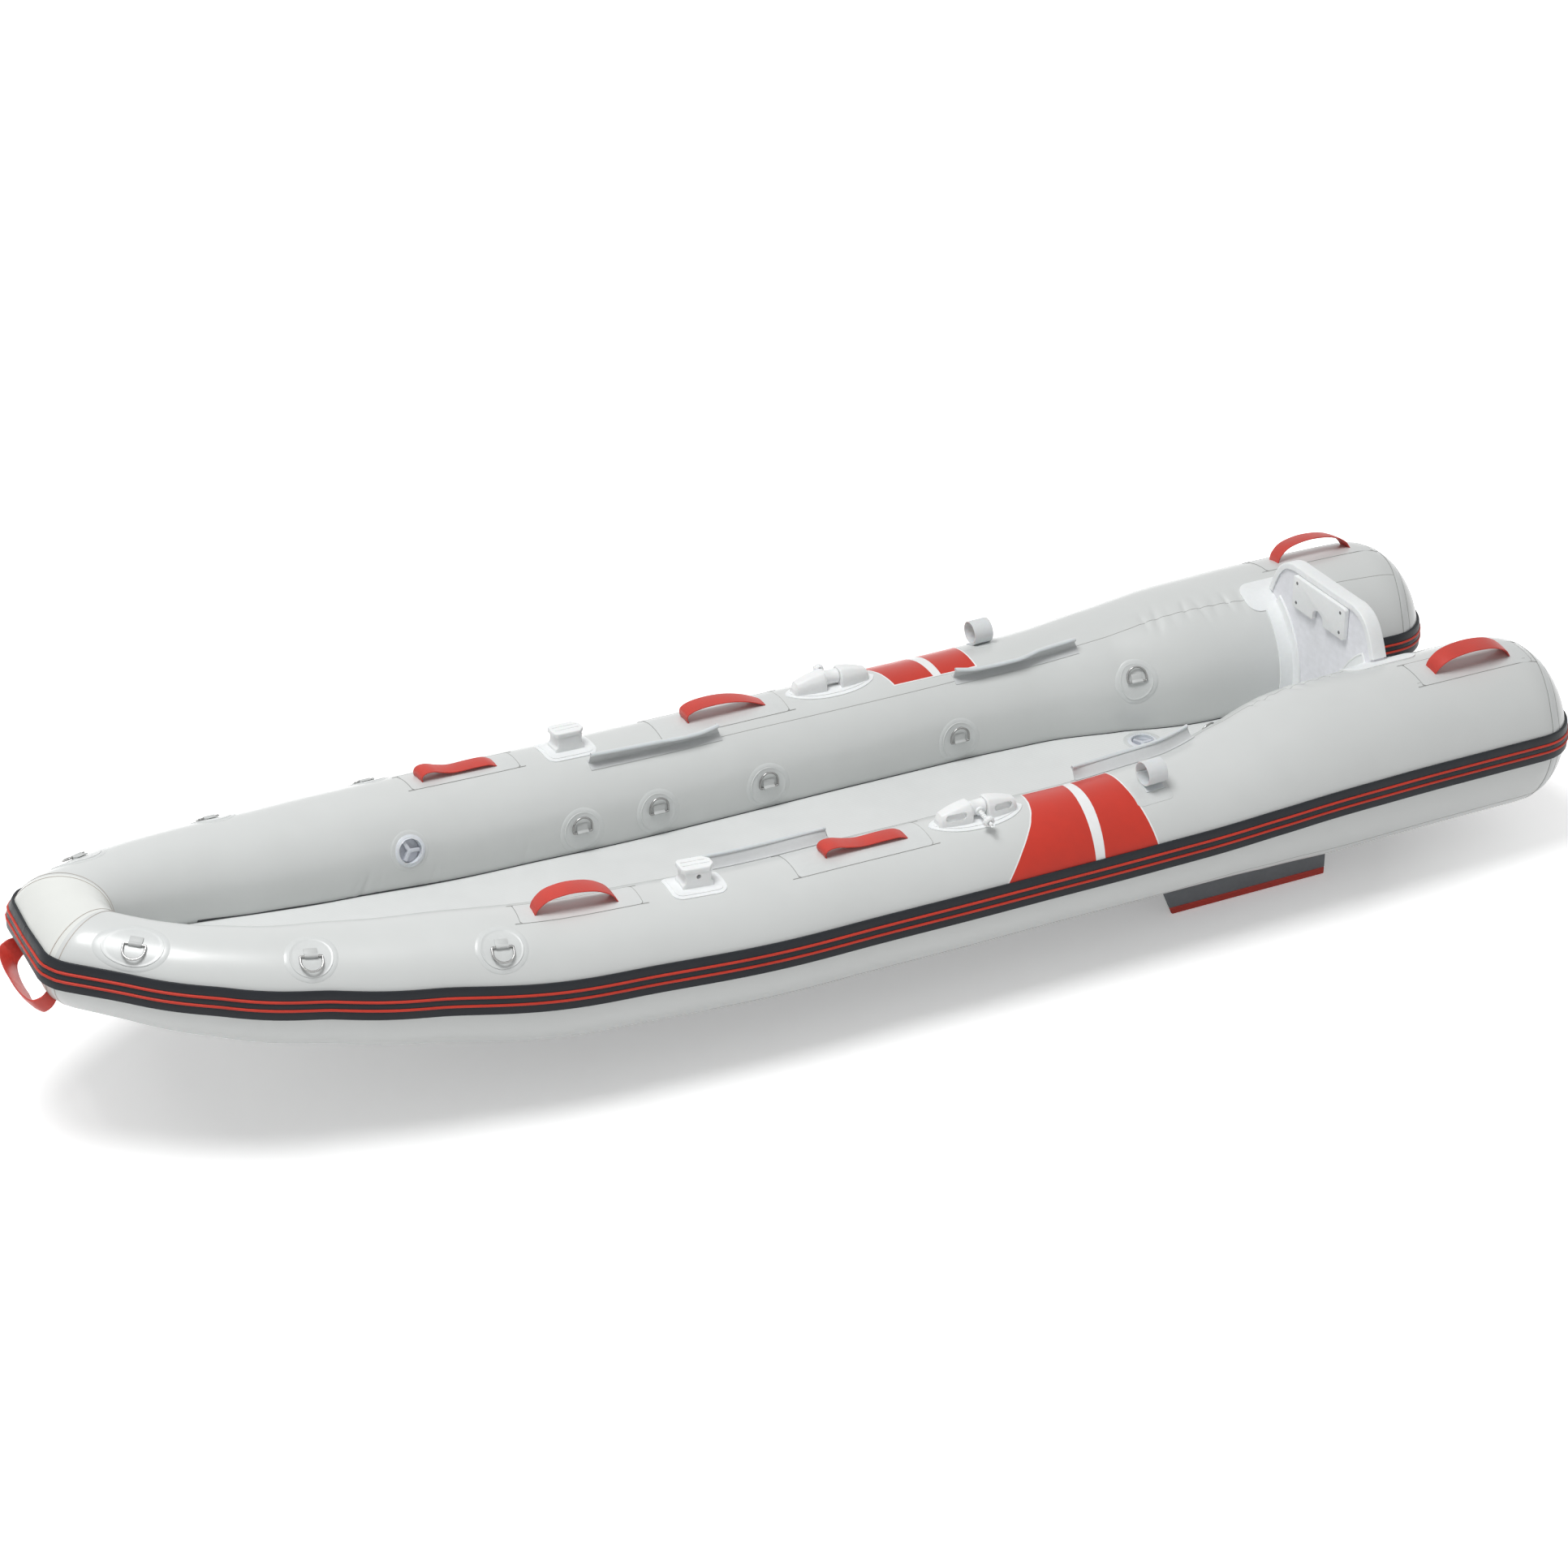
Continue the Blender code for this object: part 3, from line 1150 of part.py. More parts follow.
def oar_clips():
    """A strap wound into a loop on the tube, its end lapping inside its start."""
    frame = seat_frame(CLIP_STATION, CLIP_ANGLE)
    pitch = CLIP_THICKNESS + CLIP_LAYER_GAP
    centre = CLIP_RADIUS + CLIP_THICKNESS + STRAP_SEAT
    sweep = 360 + CLIP_OVERLAP
    corner = 360 / TUBE_SIDES - CLIP_ANGLE
    spots = []
    for k in range(CLIP_STEPS + 1):
        done = k / CLIP_STEPS
        turn = math.radians(-90 - sweep * done)
        radius = CLIP_RADIUS - pitch * min(max((sweep * done - CLIP_LAP_START) / (360 - CLIP_LAP_START), 0), 1)
        spots.append((radius * math.cos(turn), centre + radius * math.sin(turn), math.cos(turn), math.sin(turn)))
    half = CLIP_LENGTH / 2
    low, high = STRAP_SEAT, STRAP_SEAT + CLIP_THICKNESS
    rings = []
    for turn in (math.degrees(CLIP_FOOT / local_radius(CLIP_STATION)), corner):
        spread = ((-half, low), (half, low), (half, high), (-half, high))
        rings.append([glued_point(CLIP_STATION + x, CLIP_ANGLE + turn, lift) for x, lift in spread])
    for y, z, out_y, out_z in spots:
        low, high = (y + out_y * CLIP_THICKNESS, z + out_z * CLIP_THICKNESS), (y, z)
        rings.append([
            frame @ Vector((-half, *low)),
            frame @ Vector((half, *low)),
            frame @ Vector((half, *high)),
            frame @ Vector((-half, *high)),
        ])
    for side, word in SIDES:
        add(f"oar_clip_{word}", loft(rings), PVC_WHITE, side)


def rail_section(lean):
    """(across, height) round a rail: a glued foot, a thin web and a round bead along its top."""
    web = RAIL_WEB / 2
    centre = (lean, RAIL_RISE)
    opening = math.asin(web / RAIL_BEAD_RADIUS)
    sweep = math.tau - 2 * opening
    bead = []
    for k in range(RAIL_BEAD_SIDES + 1):
        turn = -math.pi / 2 + opening + sweep * k / RAIL_BEAD_SIDES
        bead.append((centre[0] + RAIL_BEAD_RADIUS * math.cos(turn), centre[1] + RAIL_BEAD_RADIUS * math.sin(turn)))
    foot = RAIL_FOOT / 2
    return [
        (-foot, 0.0),
        (0.0, 0.0),
        (foot, 0.0),
        (foot, RAIL_FOOT_THICKNESS),
        (web, RAIL_FOOT_THICKNESS),
        *bead,
        (-web, RAIL_FOOT_THICKNESS),
        (-foot, RAIL_FOOT_THICKNESS),
    ]


def rails():
    for name, (start, end), degrees in (("front", FRONT_RAIL, FRONT_RAIL_ANGLE), ("aft", AFT_RAIL, AFT_RAIL_ANGLE)):
        rings = []
        for k in range(RAIL_STEPS + 1):
            share = k / RAIL_STEPS
            station = start + (end - start) * share
            lean = RAIL_WAVE * math.sin(math.tau * share)
            radius = local_radius(station)
            rings.append([
                glued_point(station, degrees + math.degrees(across / radius), STRAP_SEAT + height)
                for across, height in rail_section(lean)
            ])
        for side, word in SIDES:
            add(f"rail_{name}_{word}", loft(rings), PVC_GREY, side)


def valve_body(on_tube):
    """A flanged cup; on a tube its flange is folded down over the two facets that meet under it."""
    profile = [
        (0, -VALVE_DEPTH),
        (VALVE_CUP_RADIUS, -VALVE_DEPTH),
        (VALVE_CUP_RADIUS, STRAP_SEAT),
        (VALVE_RADIUS, STRAP_SEAT),
        (VALVE_RADIUS, VALVE_FLANGE / 2),
        ((VALVE_RADIUS + VALVE_CUP_RADIUS) / 2, VALVE_FLANGE),
        (VALVE_DISH_RADIUS, VALVE_FLANGE),
        (VALVE_DISH_RADIUS, VALVE_FLOOR - VALVE_DEPTH),
        (0, VALVE_FLOOR - VALVE_DEPTH),
    ]
    made = turned(profile, VALVE_SIDES)
    for vert in made.verts:
        reach = vert.co.xy.length
        if on_tube and reach > VALVE_DISH_RADIUS + SEAT_GAP and vert.co.z > 0:
            vert.co.z -= abs(vert.co.y) * math.tan(math.pi / TUBE_SIDES)
    return made


def valve_cap():
    """A disc that sits in the cup, with three raised arms meeting at its middle."""
    low = VALVE_FLOOR - VALVE_DEPTH + SEAT_GAP
    disc = cylinder(VALVE_CAP_RADIUS, VALVE_CAP_THICKNESS, VALVE_SIDES)
    moved(disc, Matrix.Translation((0, 0, low)))
    arms = []
    half = VALVE_ARM_WIDTH / 2
    reach = VALVE_ARM_REACH
    crotch = half / math.sin(math.pi / 3)
    for k in range(3):
        turn = math.tau * k / 3
        for across, along in ((half, reach), (-half, reach)):
            arms.append((
                along * math.cos(turn) + across * math.sin(turn),
                along * math.sin(turn) - across * math.cos(turn),
            ))
        between = turn + math.pi / 3
        arms.append((crotch * math.cos(between), crotch * math.sin(between)))
    star = prism(arms, VALVE_CAP_THICKNESS + VALVE_ARM_HEIGHT)
    return disc, moved(star, Matrix.Translation((0, 0, low + VALVE_CAP_THICKNESS / 2)))


def valves():
    places = [(side, word, valve_frame(), True) for side, word in SIDES]
    places.append((1, "deck", deck_valve_frame(), False))
    for side, word, frame, on_tube in places:
        add(f"valve_body_{word}", moved(valve_body(on_tube), frame), VALVE_GREY, side)
        disc, star = valve_cap()
        cap = add(f"valve_cap_{word}", moved(disc, frame), VALVE_GREY, side, frame)
        combine(cap, cutter(f"valve_star_{word}", moved(star, frame), side), "UNION")


def build():
    clear_scene()
    side_tubes()
    bow_tube()
    strakes()
    seats = tube_cutters("seat", SEAT_GAP)
    deck_and_skin(seats)
    transom((BOARD_FRONT + BOARD_THICKNESS / 2) / HULL_LENGTH)
    fins(seats)
    handles()
    accessory_blocks(seats)
    oarlocks(seats)
    oar_clips()
    rails()
    valves()


if __name__ == "__main__":
    build()
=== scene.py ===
"""Inflatable boat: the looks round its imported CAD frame.

Lengths are metres and angles degrees. The boat's frame has its bow along -X, starboard along +Y
and +Z up. A station is a distance aft of the front of the bow tube. An angle round a side tube
counts from its top, outboard positive. Starboard is modelled, and port is its mirror image.
"""

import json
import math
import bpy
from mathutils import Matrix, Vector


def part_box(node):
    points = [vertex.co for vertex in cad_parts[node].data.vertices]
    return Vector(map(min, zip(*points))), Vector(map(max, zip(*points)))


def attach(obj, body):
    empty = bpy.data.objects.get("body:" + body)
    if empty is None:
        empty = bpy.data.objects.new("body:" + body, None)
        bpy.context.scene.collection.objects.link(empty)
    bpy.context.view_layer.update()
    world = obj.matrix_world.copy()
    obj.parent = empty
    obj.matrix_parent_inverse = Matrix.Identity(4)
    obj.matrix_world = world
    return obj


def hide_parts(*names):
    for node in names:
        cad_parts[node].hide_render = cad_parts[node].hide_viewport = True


bl_info = {
    "name": "Inflatable Boat",
    "version": (1, 0, 0),
    "blender": (4, 5, 0),
    "location": "3D View > Sidebar > Boat",
    "description": "Tubes, strake, deck, transom, straps and fittings of an inflatable boat",
    "category": "Object",
}

import bmesh
import bpy
import numpy as np
from bpy.props import FloatProperty, FloatVectorProperty, IntProperty, PointerProperty
from mathutils import Matrix, Vector

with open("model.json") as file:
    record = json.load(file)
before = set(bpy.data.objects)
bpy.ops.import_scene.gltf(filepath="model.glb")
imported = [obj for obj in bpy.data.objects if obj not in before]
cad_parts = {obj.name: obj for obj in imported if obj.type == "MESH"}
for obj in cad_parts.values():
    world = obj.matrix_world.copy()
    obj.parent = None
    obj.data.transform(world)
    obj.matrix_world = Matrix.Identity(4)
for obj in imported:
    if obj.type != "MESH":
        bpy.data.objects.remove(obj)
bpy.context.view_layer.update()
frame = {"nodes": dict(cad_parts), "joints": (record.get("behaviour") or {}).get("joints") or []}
JOINTS = {joint["name"]: joint for joint in frame["joints"]}
SIDES = ((1, "starboard"), (-1, "port"))
HULL = "hull"

# The hull's lines, as the CAD part has them
HULL_LENGTH = 3.375
HALF_BEAM = 0.472
TUBE_RADIUS = 0.140
STERN_TUBE_RADIUS = 0.190
AXIS_HEIGHT = 0.250
BOW_RISE = 0.166
STERN_LIFT = 0.020
TAIL_CAP_LENGTH = 0.140
TAIL_ROUNDNESS = 2.4
# Place along the hull, outboard half breadth, taper, swell, bow rise and stern lift
OFFSET_SHARES = (
    (0.0203, 0.379, 0.66, 0.0, 1.0, 0.0),
    (0.0890, 0.6525, 0.77, 0.0, 0.669, 0.0),
    (0.1486, 0.767, 0.85, 0.0, 0.458, 0.0),
    (0.2073, 0.855, 0.92, 0.0, 0.30, 0.0),
    (0.3256, 0.964, 0.99, 0.0, 0.078, 0.0),
    (0.4742, 0.996, 1.00, 0.0, 0.0, 0.0),
    (0.6000, 1.0, 1.00, 0.0, 0.0, 0.0),
    (0.6850, 1.0, 1.00, 0.07, 0.0, 0.04),
    (0.7580, 1.0, 1.00, 0.50, 0.0, 0.42),
    (0.8292, 1.0, 1.00, 0.97, 0.0, 0.85),
    (0.9035, 1.0, 1.00, 1.00, 0.0, 1.00),
    (1.0, 0.990, 1.00, 0.96, 0.0, 0.85),
)
MITRE_SHARE = OFFSET_SHARES[0][0]
JOINT_SHARE = 0.0500
CORNER_REACH = 0.026
CORNER_LENGTH = 0.050

STRAKE_BREADTH = 0.058
STRAKE_THICKNESS = 0.006
STRAKE_LIFT = 0.018
STRAKE_SINK = 0.0008
RIB_HEIGHT = 0.0025
RIB_BREADTH = 0.0056
RIB_PLACE_SHARES = (-0.152, 0.134)
STRAKE_STERN_SHARE = 0.900

DECK_DROP = 0.042
DECK_THICKNESS = 0.070
KEEL_DROP = 0.020

BOARD_FRONT = 2.965
BOARD_THICKNESS = 0.027
BOARD_TOP = 0.541
BOARD_HALF_WIDTH = 0.120
CAP_LIP = 0.008
PAD_WIDTH = 0.205
PAD_HEIGHT = 0.078
PAD_THICKNESS = 0.013
OUTER_PAD_HEIGHT = 0.110
OUTER_PAD_THICKNESS = 0.010
HOLDER_FLANGE = 0.034
HOLDER_FLANGE_THICKNESS = 0.003
HOLDER_WALL = 0.004
HOLDER_WALL_HEIGHT = 0.026
HOLDER_TURNS = (-33.0, -122.0)

FIN_STERN = 2.804
FIN_LENGTH = 0.395
FIN_Y = 0.300
FIN_RAKE = 0.030
FIN_THICKNESS = 0.008
FIN_FOOT_WIDTH = 0.050
FIN_EDGE_HEIGHT = 0.017

STRAP_WIDTH = 0.038
STRAP_THICKNESS = 0.0028
STRAP_SEAT = 0.0006
# A strap's underside between its ends: share of the half span, and height
TAUT = (
    (-1, -0.0015), (-0.93, 0.014), (-0.7, 0.031), (-0.3, 0.0395),
    (0.1, 0.04), (0.5, 0.034), (0.84, 0.018), (1, -0.0015),
)
ROUND = (
    (-1, -0.0015), (-1.05, 0.01), (-1, 0.021), (-0.74, 0.0285),
    (-0.3, 0.0305), (0.15, 0.0265), (0.6, 0.0155), (1, -0.0015),
)
SLACK = (
    (-1, -0.0015), (-1.04, 0.009), (-0.96, 0.0175), (-0.74, 0.0185), (-0.45, 0.0115),
    (-0.1, 0.006), (0.4, 0.007), (0.8, 0.006), (1, -0.0015),
)
TOW = (
    (-1, -0.0015), (-1, 0.014), (-0.84, 0.032), (-0.45, 0.043), (0, 0.0465),
    (0.45, 0.043), (0.84, 0.032), (1, 0.014), (1, -0.0015),
)
# Name, station, span, angle, starboard shape, port shape, and the patch's centre, length and half width
HANDLES = (
    ("front", 0.988, 0.178, 0.0, SLACK, TAUT, (0.993, 0.262, 0.037)),
    ("middle", 1.633, 0.182, 0.0, ROUND, SLACK, (1.615, 0.308, 0.052)),
    ("stern", 3.139, 0.193, 9.0, TAUT, TAUT, (3.140, 0.290, 0.043)),
)
TOW_HANDLE_SPAN = 0.144
TOW_HANDLE_ANGLE = 126.0

WIRE_RADIUS = 0.0023
RING_WIDTH = 0.0434
RING_LEG = 0.012
RING_CORNER = 0.003
PATCH_RADIUS = 0.0425
PATCH_HALO_RADIUS = 0.052
PATCH_THICKNESS = 0.0018
TAB_WIDTH = 0.026
TAB_TAIL = 0.018
BAR_HEIGHT = PATCH_THICKNESS + 0.0033
# Name, station, angle, and the side of the bar that the webbing's tail lies on
OUTER, INNER = -1, 1
RING_PLACES = (
    ("outer_front", 0.155, 30.0, OUTER),
    ("outer_middle", 0.450, 34.0, OUTER),
    ("outer_aft", 0.815, 38.0, OUTER),
    ("inner_1", 1.220, -87.0, INNER),
    ("inner_2", 1.404, -85.0, INNER),
    ("inner_3", 1.670, -86.0, INNER),
    ("inner_4", 2.147, -87.0, INNER),
    ("inner_5", 2.598, -67.0, INNER),
)

BLOCK_STATION = 1.247
OARLOCK_STATION = 1.893
CLIP_STATION = 2.293
CLIP_ANGLE = 15.0
CLIP_RADIUS = 0.0255
CLIP_LENGTH = 0.046
CLIP_THICKNESS = 0.0026
CLIP_OVERLAP = 62.0
CLIP_LAP_START = 250.0
CLIP_FOOT = 0.026
CLIP_LAYER_GAP = 0.0010
RAIL_RISE = 0.028
RAIL_RINGS = 48
RAIL_END_SLANT = 0.012
RAIL_WEB = 0.0018
RAIL_BEAD_RADIUS = 0.0042
RAIL_BORE_RADIUS = 0.0021
RAIL_ANGLE = -27.0
# Name, ends, and how far the bead leans outboard at shares of the length
RAILS = (
    ("front", 1.270, 1.590, ((0, 0.25, 0.5, 0.75, 1), (0.0, -0.002, -0.004, -0.007, 0.001))),
    ("aft", 2.170, 2.490, ((0, 0.2, 0.45, 0.7, 1), (0.0, -0.009, -0.010, -0.001, 0.001))),
)

VALVE_RADIUS = 0.0345
VALVE_DISH_RADIUS = 0.0260
VALVE_CUP_RADIUS = 0.0290
VALVE_DEPTH = 0.020
VALVE_FLOOR = 0.003
VALVE_CAP_RADIUS = 0.0250
WALL_VALVE = (0.8073, -72.1)

# Angle and station along the painted bands' edges, and their inboard limit
BAND_TURNS = (-20.0, -5.0, 6.0, 20.0, 33.0, 48.0, 69.0)
BAND_FRONT = (2.0304, 2.0224, 2.0144, 1.9984, 1.9765, 1.9465, 1.9046)
BAND_GAP_FRONT = (2.128, 2.124, 2.121, 2.117, 2.114, 2.111, 2.108)
BAND_GAP_AFT = (2.148, 2.1465, 2.145, 2.1425, 2.139, 2.135, 2.130)
BAND_AFT = (2.236, 2.2345, 2.234, 2.2355, 2.239, 2.2445, 2.254)
BAND_BORDER = 0.0035

# Long seam on the inner side of each tube: station and angle
SEAM_START = 1.560
SEAM_PLACES = (0.180, 0.345, 0.635, 0.833, 1.300, 1.630, 1.830, 2.483, 2.616, 2.700, 2.816, 2.931, 3.110, 3.290)
SEAM_TURNS = (-44.0, -41.4, -38.6, -34.0, -31.5, -31.5, -32.0, -27.0, -25.0, -22.5, -23.5, -27.0, -29.0, -31.5)
# Ends and angle of the short seam behind the transom
STERN_SEAM = (2.985, 3.29, 18.5)
# Angle and station of the tape round the tail
TAIL_TAPE = ((-180, -69, -46, 0, 46, 69, 180), (3.280, 3.284, 3.293, 3.317, 3.293, 3.284, 3.280))
TAIL_TAPE_WIDTH = 0.022
KEEL_SEAM = ((1.250, 2.190, 2.470, 3.300), (139.0, 139.0, 130.5, 128.5))
PUCKER_PLACES = (2.655, 2.683, 2.712, 2.747, 2.781, 2.817, 2.853, 2.885, 2.922)
# Station, depth and lean of the creases above the deck
DECK_CREASES = (
    (0.694, 0.5, 0.0012),
    (0.711, 1.0, 0.0006),
    (0.742, 0.35, 0.0003),
    (0.868, 0.45, 0.0004),
    (0.884, 0.4, -0.0002),
    (1.090, 0.3, 0.0006),
    (1.520, 0.25, 0.0004),
)


def shade(name, about, default):
    return FloatVectorProperty(name=name, description=about, subtype="COLOR", default=default)


def size(name, about, default):
    return FloatProperty(name=name, description=about, unit="LENGTH", default=default)


def number(name, about, default, **kind):
    return FloatProperty(name=name, description=about, default=default, **kind)


class BoatHullSettings(bpy.types.PropertyGroup):
    tube_grey: shade("Tube Grey", "Coated fabric of the side tubes", (0.650, 0.668, 0.660))
    bow_white: shade("Bow White", "Coated fabric of the bow tube", (0.780, 0.795, 0.765))
    deck_grey: shade("Deck Grey", "Coated fabric of the air deck", (0.720, 0.735, 0.730))
    tube_sides: IntProperty(name="Tube Sides", description="Steps round a tube", default=96, min=24, max=192)
    ring_spacing: size("Ring Spacing", "Distance between rings of the tube's mesh", 0.010)
    pucker_depth: size("Pucker Depth", "Depth of the gathers at the aft seam", 0.0055)
    ripple: size("Ripple", "Height of the slow waves in the fabric", 0.0007)
    seam_width: size("Seam Width", "Width of the lines along the seams", 0.0015)
    tape_thickness: size("Tape Thickness", "Thickness of tapes and patches", 0.0006)


class BoatTrimSettings(bpy.types.PropertyGroup):
    strake_black: shade("Strake Black", "Rubber of the strake", (0.011, 0.013, 0.017))
    rib_red: shade("Rib Red", "Lines along the strake", (0.560, 0.040, 0.022))
    band_red: shade("Band Red", "Panels round the tubes", (0.580, 0.034, 0.017))
    strap_red: shade("Strap Red", "Strap handles", (0.600, 0.052, 0.036))


class BoatFittingSettings(bpy.types.PropertyGroup):
    moulded_white: shade("Moulded White", "Plastic fittings", (0.880, 0.890, 0.890))
    board_grey: shade("Board Grey", "Transom board", (0.880, 0.890, 0.930))
    fin_grey: shade("Fin Grey", "Fins", (0.175, 0.185, 0.200))
    steel: shade("Steel", "Rings and screws", (0.340, 0.340, 0.335))
    valve_grey: shade("Valve Grey", "Valves", (0.720, 0.735, 0.770))


class BoatStageSettings(bpy.types.PropertyGroup):
    floor_colour: shade("Floor", "Colour of the floor", (0.900, 0.900, 0.900))
    sky_light: number("Sky Light", "Strength of the light from all round", 0.36)
    key_light: number("Key Light", "Power of the large lamp overhead", 415.0, unit="POWER")
    azimuth: number("Azimuth", "Heading of the view", 26.288)
    elevation: number("Elevation", "Camera's height above level", 28.706)
    roll: number("Roll", "Tilt of the picture", -0.268)
    distance: size("Distance", "Camera to the middle of the view", 7.6884)
    target_station: size("Target Station", "Station looked at", 1.6152)
    target_height: size("Target Height", "Height looked at", 0.3724)
    lens: number("Lens", "Focal length on a 36 mm frame, in millimetres", 83.481)


def smooth_line(places, values):
    """A monotone cubic through the points of a table."""
    places, values = np.array(places, float), np.array(values, float)
    steps = np.diff(places)
    slopes = np.diff(values) / steps
    product, total = slopes[:-1] * slopes[1:], slopes[:-1] + slopes[1:]
    inner = np.where(product > 0, 2 * product / np.where(product > 0, total, 1), 0)
    bends = np.concatenate([slopes[:1], inner, slopes[-1:]])

    def at(place):
        place = np.asarray(place, float)
        k = np.clip(np.searchsorted(places, place) - 1, 0, len(steps) - 1)
        t = (place - places[k]) / steps[k]
        start = values[k] + t * steps[k] * bends[k]
        end = values[k + 1] - (1 - t) * steps[k] * bends[k + 1]
        weight = t * t * (3 - 2 * t)
        return start * (1 - weight) + end * weight

    return at


BEAM, TAPER, SWELL, RISE, LIFT = (
    smooth_line([row[0] for row in OFFSET_SHARES], [row[column] for row in OFFSET_SHARES]) for column in range(1, 6)
)
ROW_SHIFT = HULL_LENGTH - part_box("starboard_tube")[1].x
MITRE_STATION = HULL_LENGTH * MITRE_SHARE
JOINT_STATION = HULL_LENGTH * JOINT_SHARE
CAP_STATION = HULL_LENGTH - TAIL_CAP_LENGTH
MITRE_Y = HALF_BEAM * OFFSET_SHARES[0][1] - TUBE_RADIUS * OFFSET_SHARES[0][2]
MIDDLE_STATION = MITRE_STATION - MITRE_Y
TABLE_STEPS = 4000
SLOPE_STEP = 0.004
WELD_DISTANCE = 0.00001
LARGE_MESH_FACES = 3000
TAPE_SINK = -0.0004


def tube_radius(share):
    return TUBE_RADIUS * TAPER(share) + (STERN_TUBE_RADIUS - TUBE_RADIUS) * SWELL(share)


def axis_at(station):
    """The starboard tube's axis, with X still as a station."""
    share = np.asarray(station, float) / HULL_LENGTH
    rise = AXIS_HEIGHT + BOW_RISE * RISE(share) + STERN_LIFT * LIFT(share)
    return np.stack([share * HULL_LENGTH, HALF_BEAM * BEAM(share) - tube_radius(share), rise], -1)


def unit(vectors):
    return vectors / np.linalg.norm(vectors, axis=-1, keepdims=True)


def tube_section(station):
    """Centre, outboard, up and radius of the side tube at some stations."""
    station = np.asarray(station, float)
    along = unit(axis_at(station + SLOPE_STEP) - axis_at(station - SLOPE_STEP))
    outboard = unit(np.cross([0.0, 0.0, 1.0], along))
    tail = np.clip((station - CAP_STATION) / TAIL_CAP_LENGTH, 0, 1)
    fall = (1 - tail**TAIL_ROUNDNESS) ** (1 / TAIL_ROUNDNESS)
    radius = tube_radius(np.minimum(station, CAP_STATION) / HULL_LENGTH) * fall
    return axis_at(station), outboard, np.cross(along, outboard), radius


def mitre_section():
    """The section at the seam between the bow tube and a side tube."""
    centre, _, _, radius = tube_section(MITRE_STATION)
    ahead = unit(axis_at(JOINT_STATION) - axis_at(MITRE_STATION))
    outboard = unit(np.cross([0.0, 0.0, 1.0], ahead))
    up = unit(np.cross(ahead, outboard) + [0.0, 0.0, 1.0])
    forward = np.array([-1.0, 0.0, 0.0])
    return centre, (outboard + forward) / (1 + outboard @ forward), up, radius


MITRE = mitre_section()
JOINT = tube_section(JOINT_STATION)
AFTER_JOINT = tube_section(JOINT_STATION + SLOPE_STEP)


def joined_section(place):
    """Sections along both tubes: stations on the side tube, and lower numbers across the bow tube."""
    place = np.asarray(place, float)
    side = tube_section(np.clip(place, JOINT_STATION, HULL_LENGTH))
    share = np.clip((place - MITRE_STATION) / (JOINT_STATION - MITRE_STATION), 0, 1)
    across = np.clip((place - MIDDLE_STATION) / MITRE_Y, 0, 1)
    middle = (MITRE[0] * [1, 0, 1], np.array([-1.0, 0.0, 0.0]), np.array([0.0, 0.0, 1.0]), MITRE[3])
    made = []
    for bow, start, end, after, own in zip(middle, MITRE, JOINT, AFTER_JOINT, side):
        end, start = np.asarray(end), np.asarray(start)
        t, q = (share[..., None], across[..., None]) if end.ndim else (share, across)
        slope = (np.asarray(after) - end) / SLOPE_STEP * (JOINT_STATION - MITRE_STATION)
        chord = end - start
        blend = start + t * chord + t * t * (t - 1) * (slope - chord)
        value = np.where(t < 1, blend, own)
        made.append(np.where(q < 1, bow * (1 - q) + start * q, value))
    return made


def rounded_section(place):
    """The same sections, with the mitre's corner rounded off."""
    place = np.asarray(place, float)
    near = np.clip(1 - np.abs(place - MITRE_STATION) / CORNER_LENGTH, 0, 1)
    reach = CORNER_REACH * near * near * (3 - 2 * near)
    total = None
    for tap, weight in ((-1, 0.125), (-0.5, 0.25), (0, 0.25), (0.5, 0.25), (1, 0.125)):
        parts = [part * weight for part in joined_section(place + tap * reach)]
        total = parts if total is None else [before + part for before, part in zip(total, parts)]
    return total


TABLE_PLACES = np.linspace(MIDDLE_STATION, CAP_STATION, TABLE_STEPS + 1)
SECTION_PARTS = [np.reshape(part, (TABLE_STEPS + 1, -1)) for part in rounded_section(TABLE_PLACES)]
SECTION_TABLE = np.concatenate(SECTION_PARTS, axis=1)


def section(place):
    """Centre, outboard, up and radius at some places, read from a table except on the tail's cap."""
    place = np.asarray(place, float)
    if place.max() > CAP_STATION:
        return rounded_section(place)
    step = (place - MIDDLE_STATION) / (CAP_STATION - MIDDLE_STATION) * TABLE_STEPS
    k = np.clip(step.astype(int), 0, TABLE_STEPS - 1)
    share = (step - k)[..., None]
    row = SECTION_TABLE[k] * (1 - share) + SECTION_TABLE[k + 1] * share
    return row[..., 0:3], row[..., 3:6], row[..., 6:9], row[..., 9]


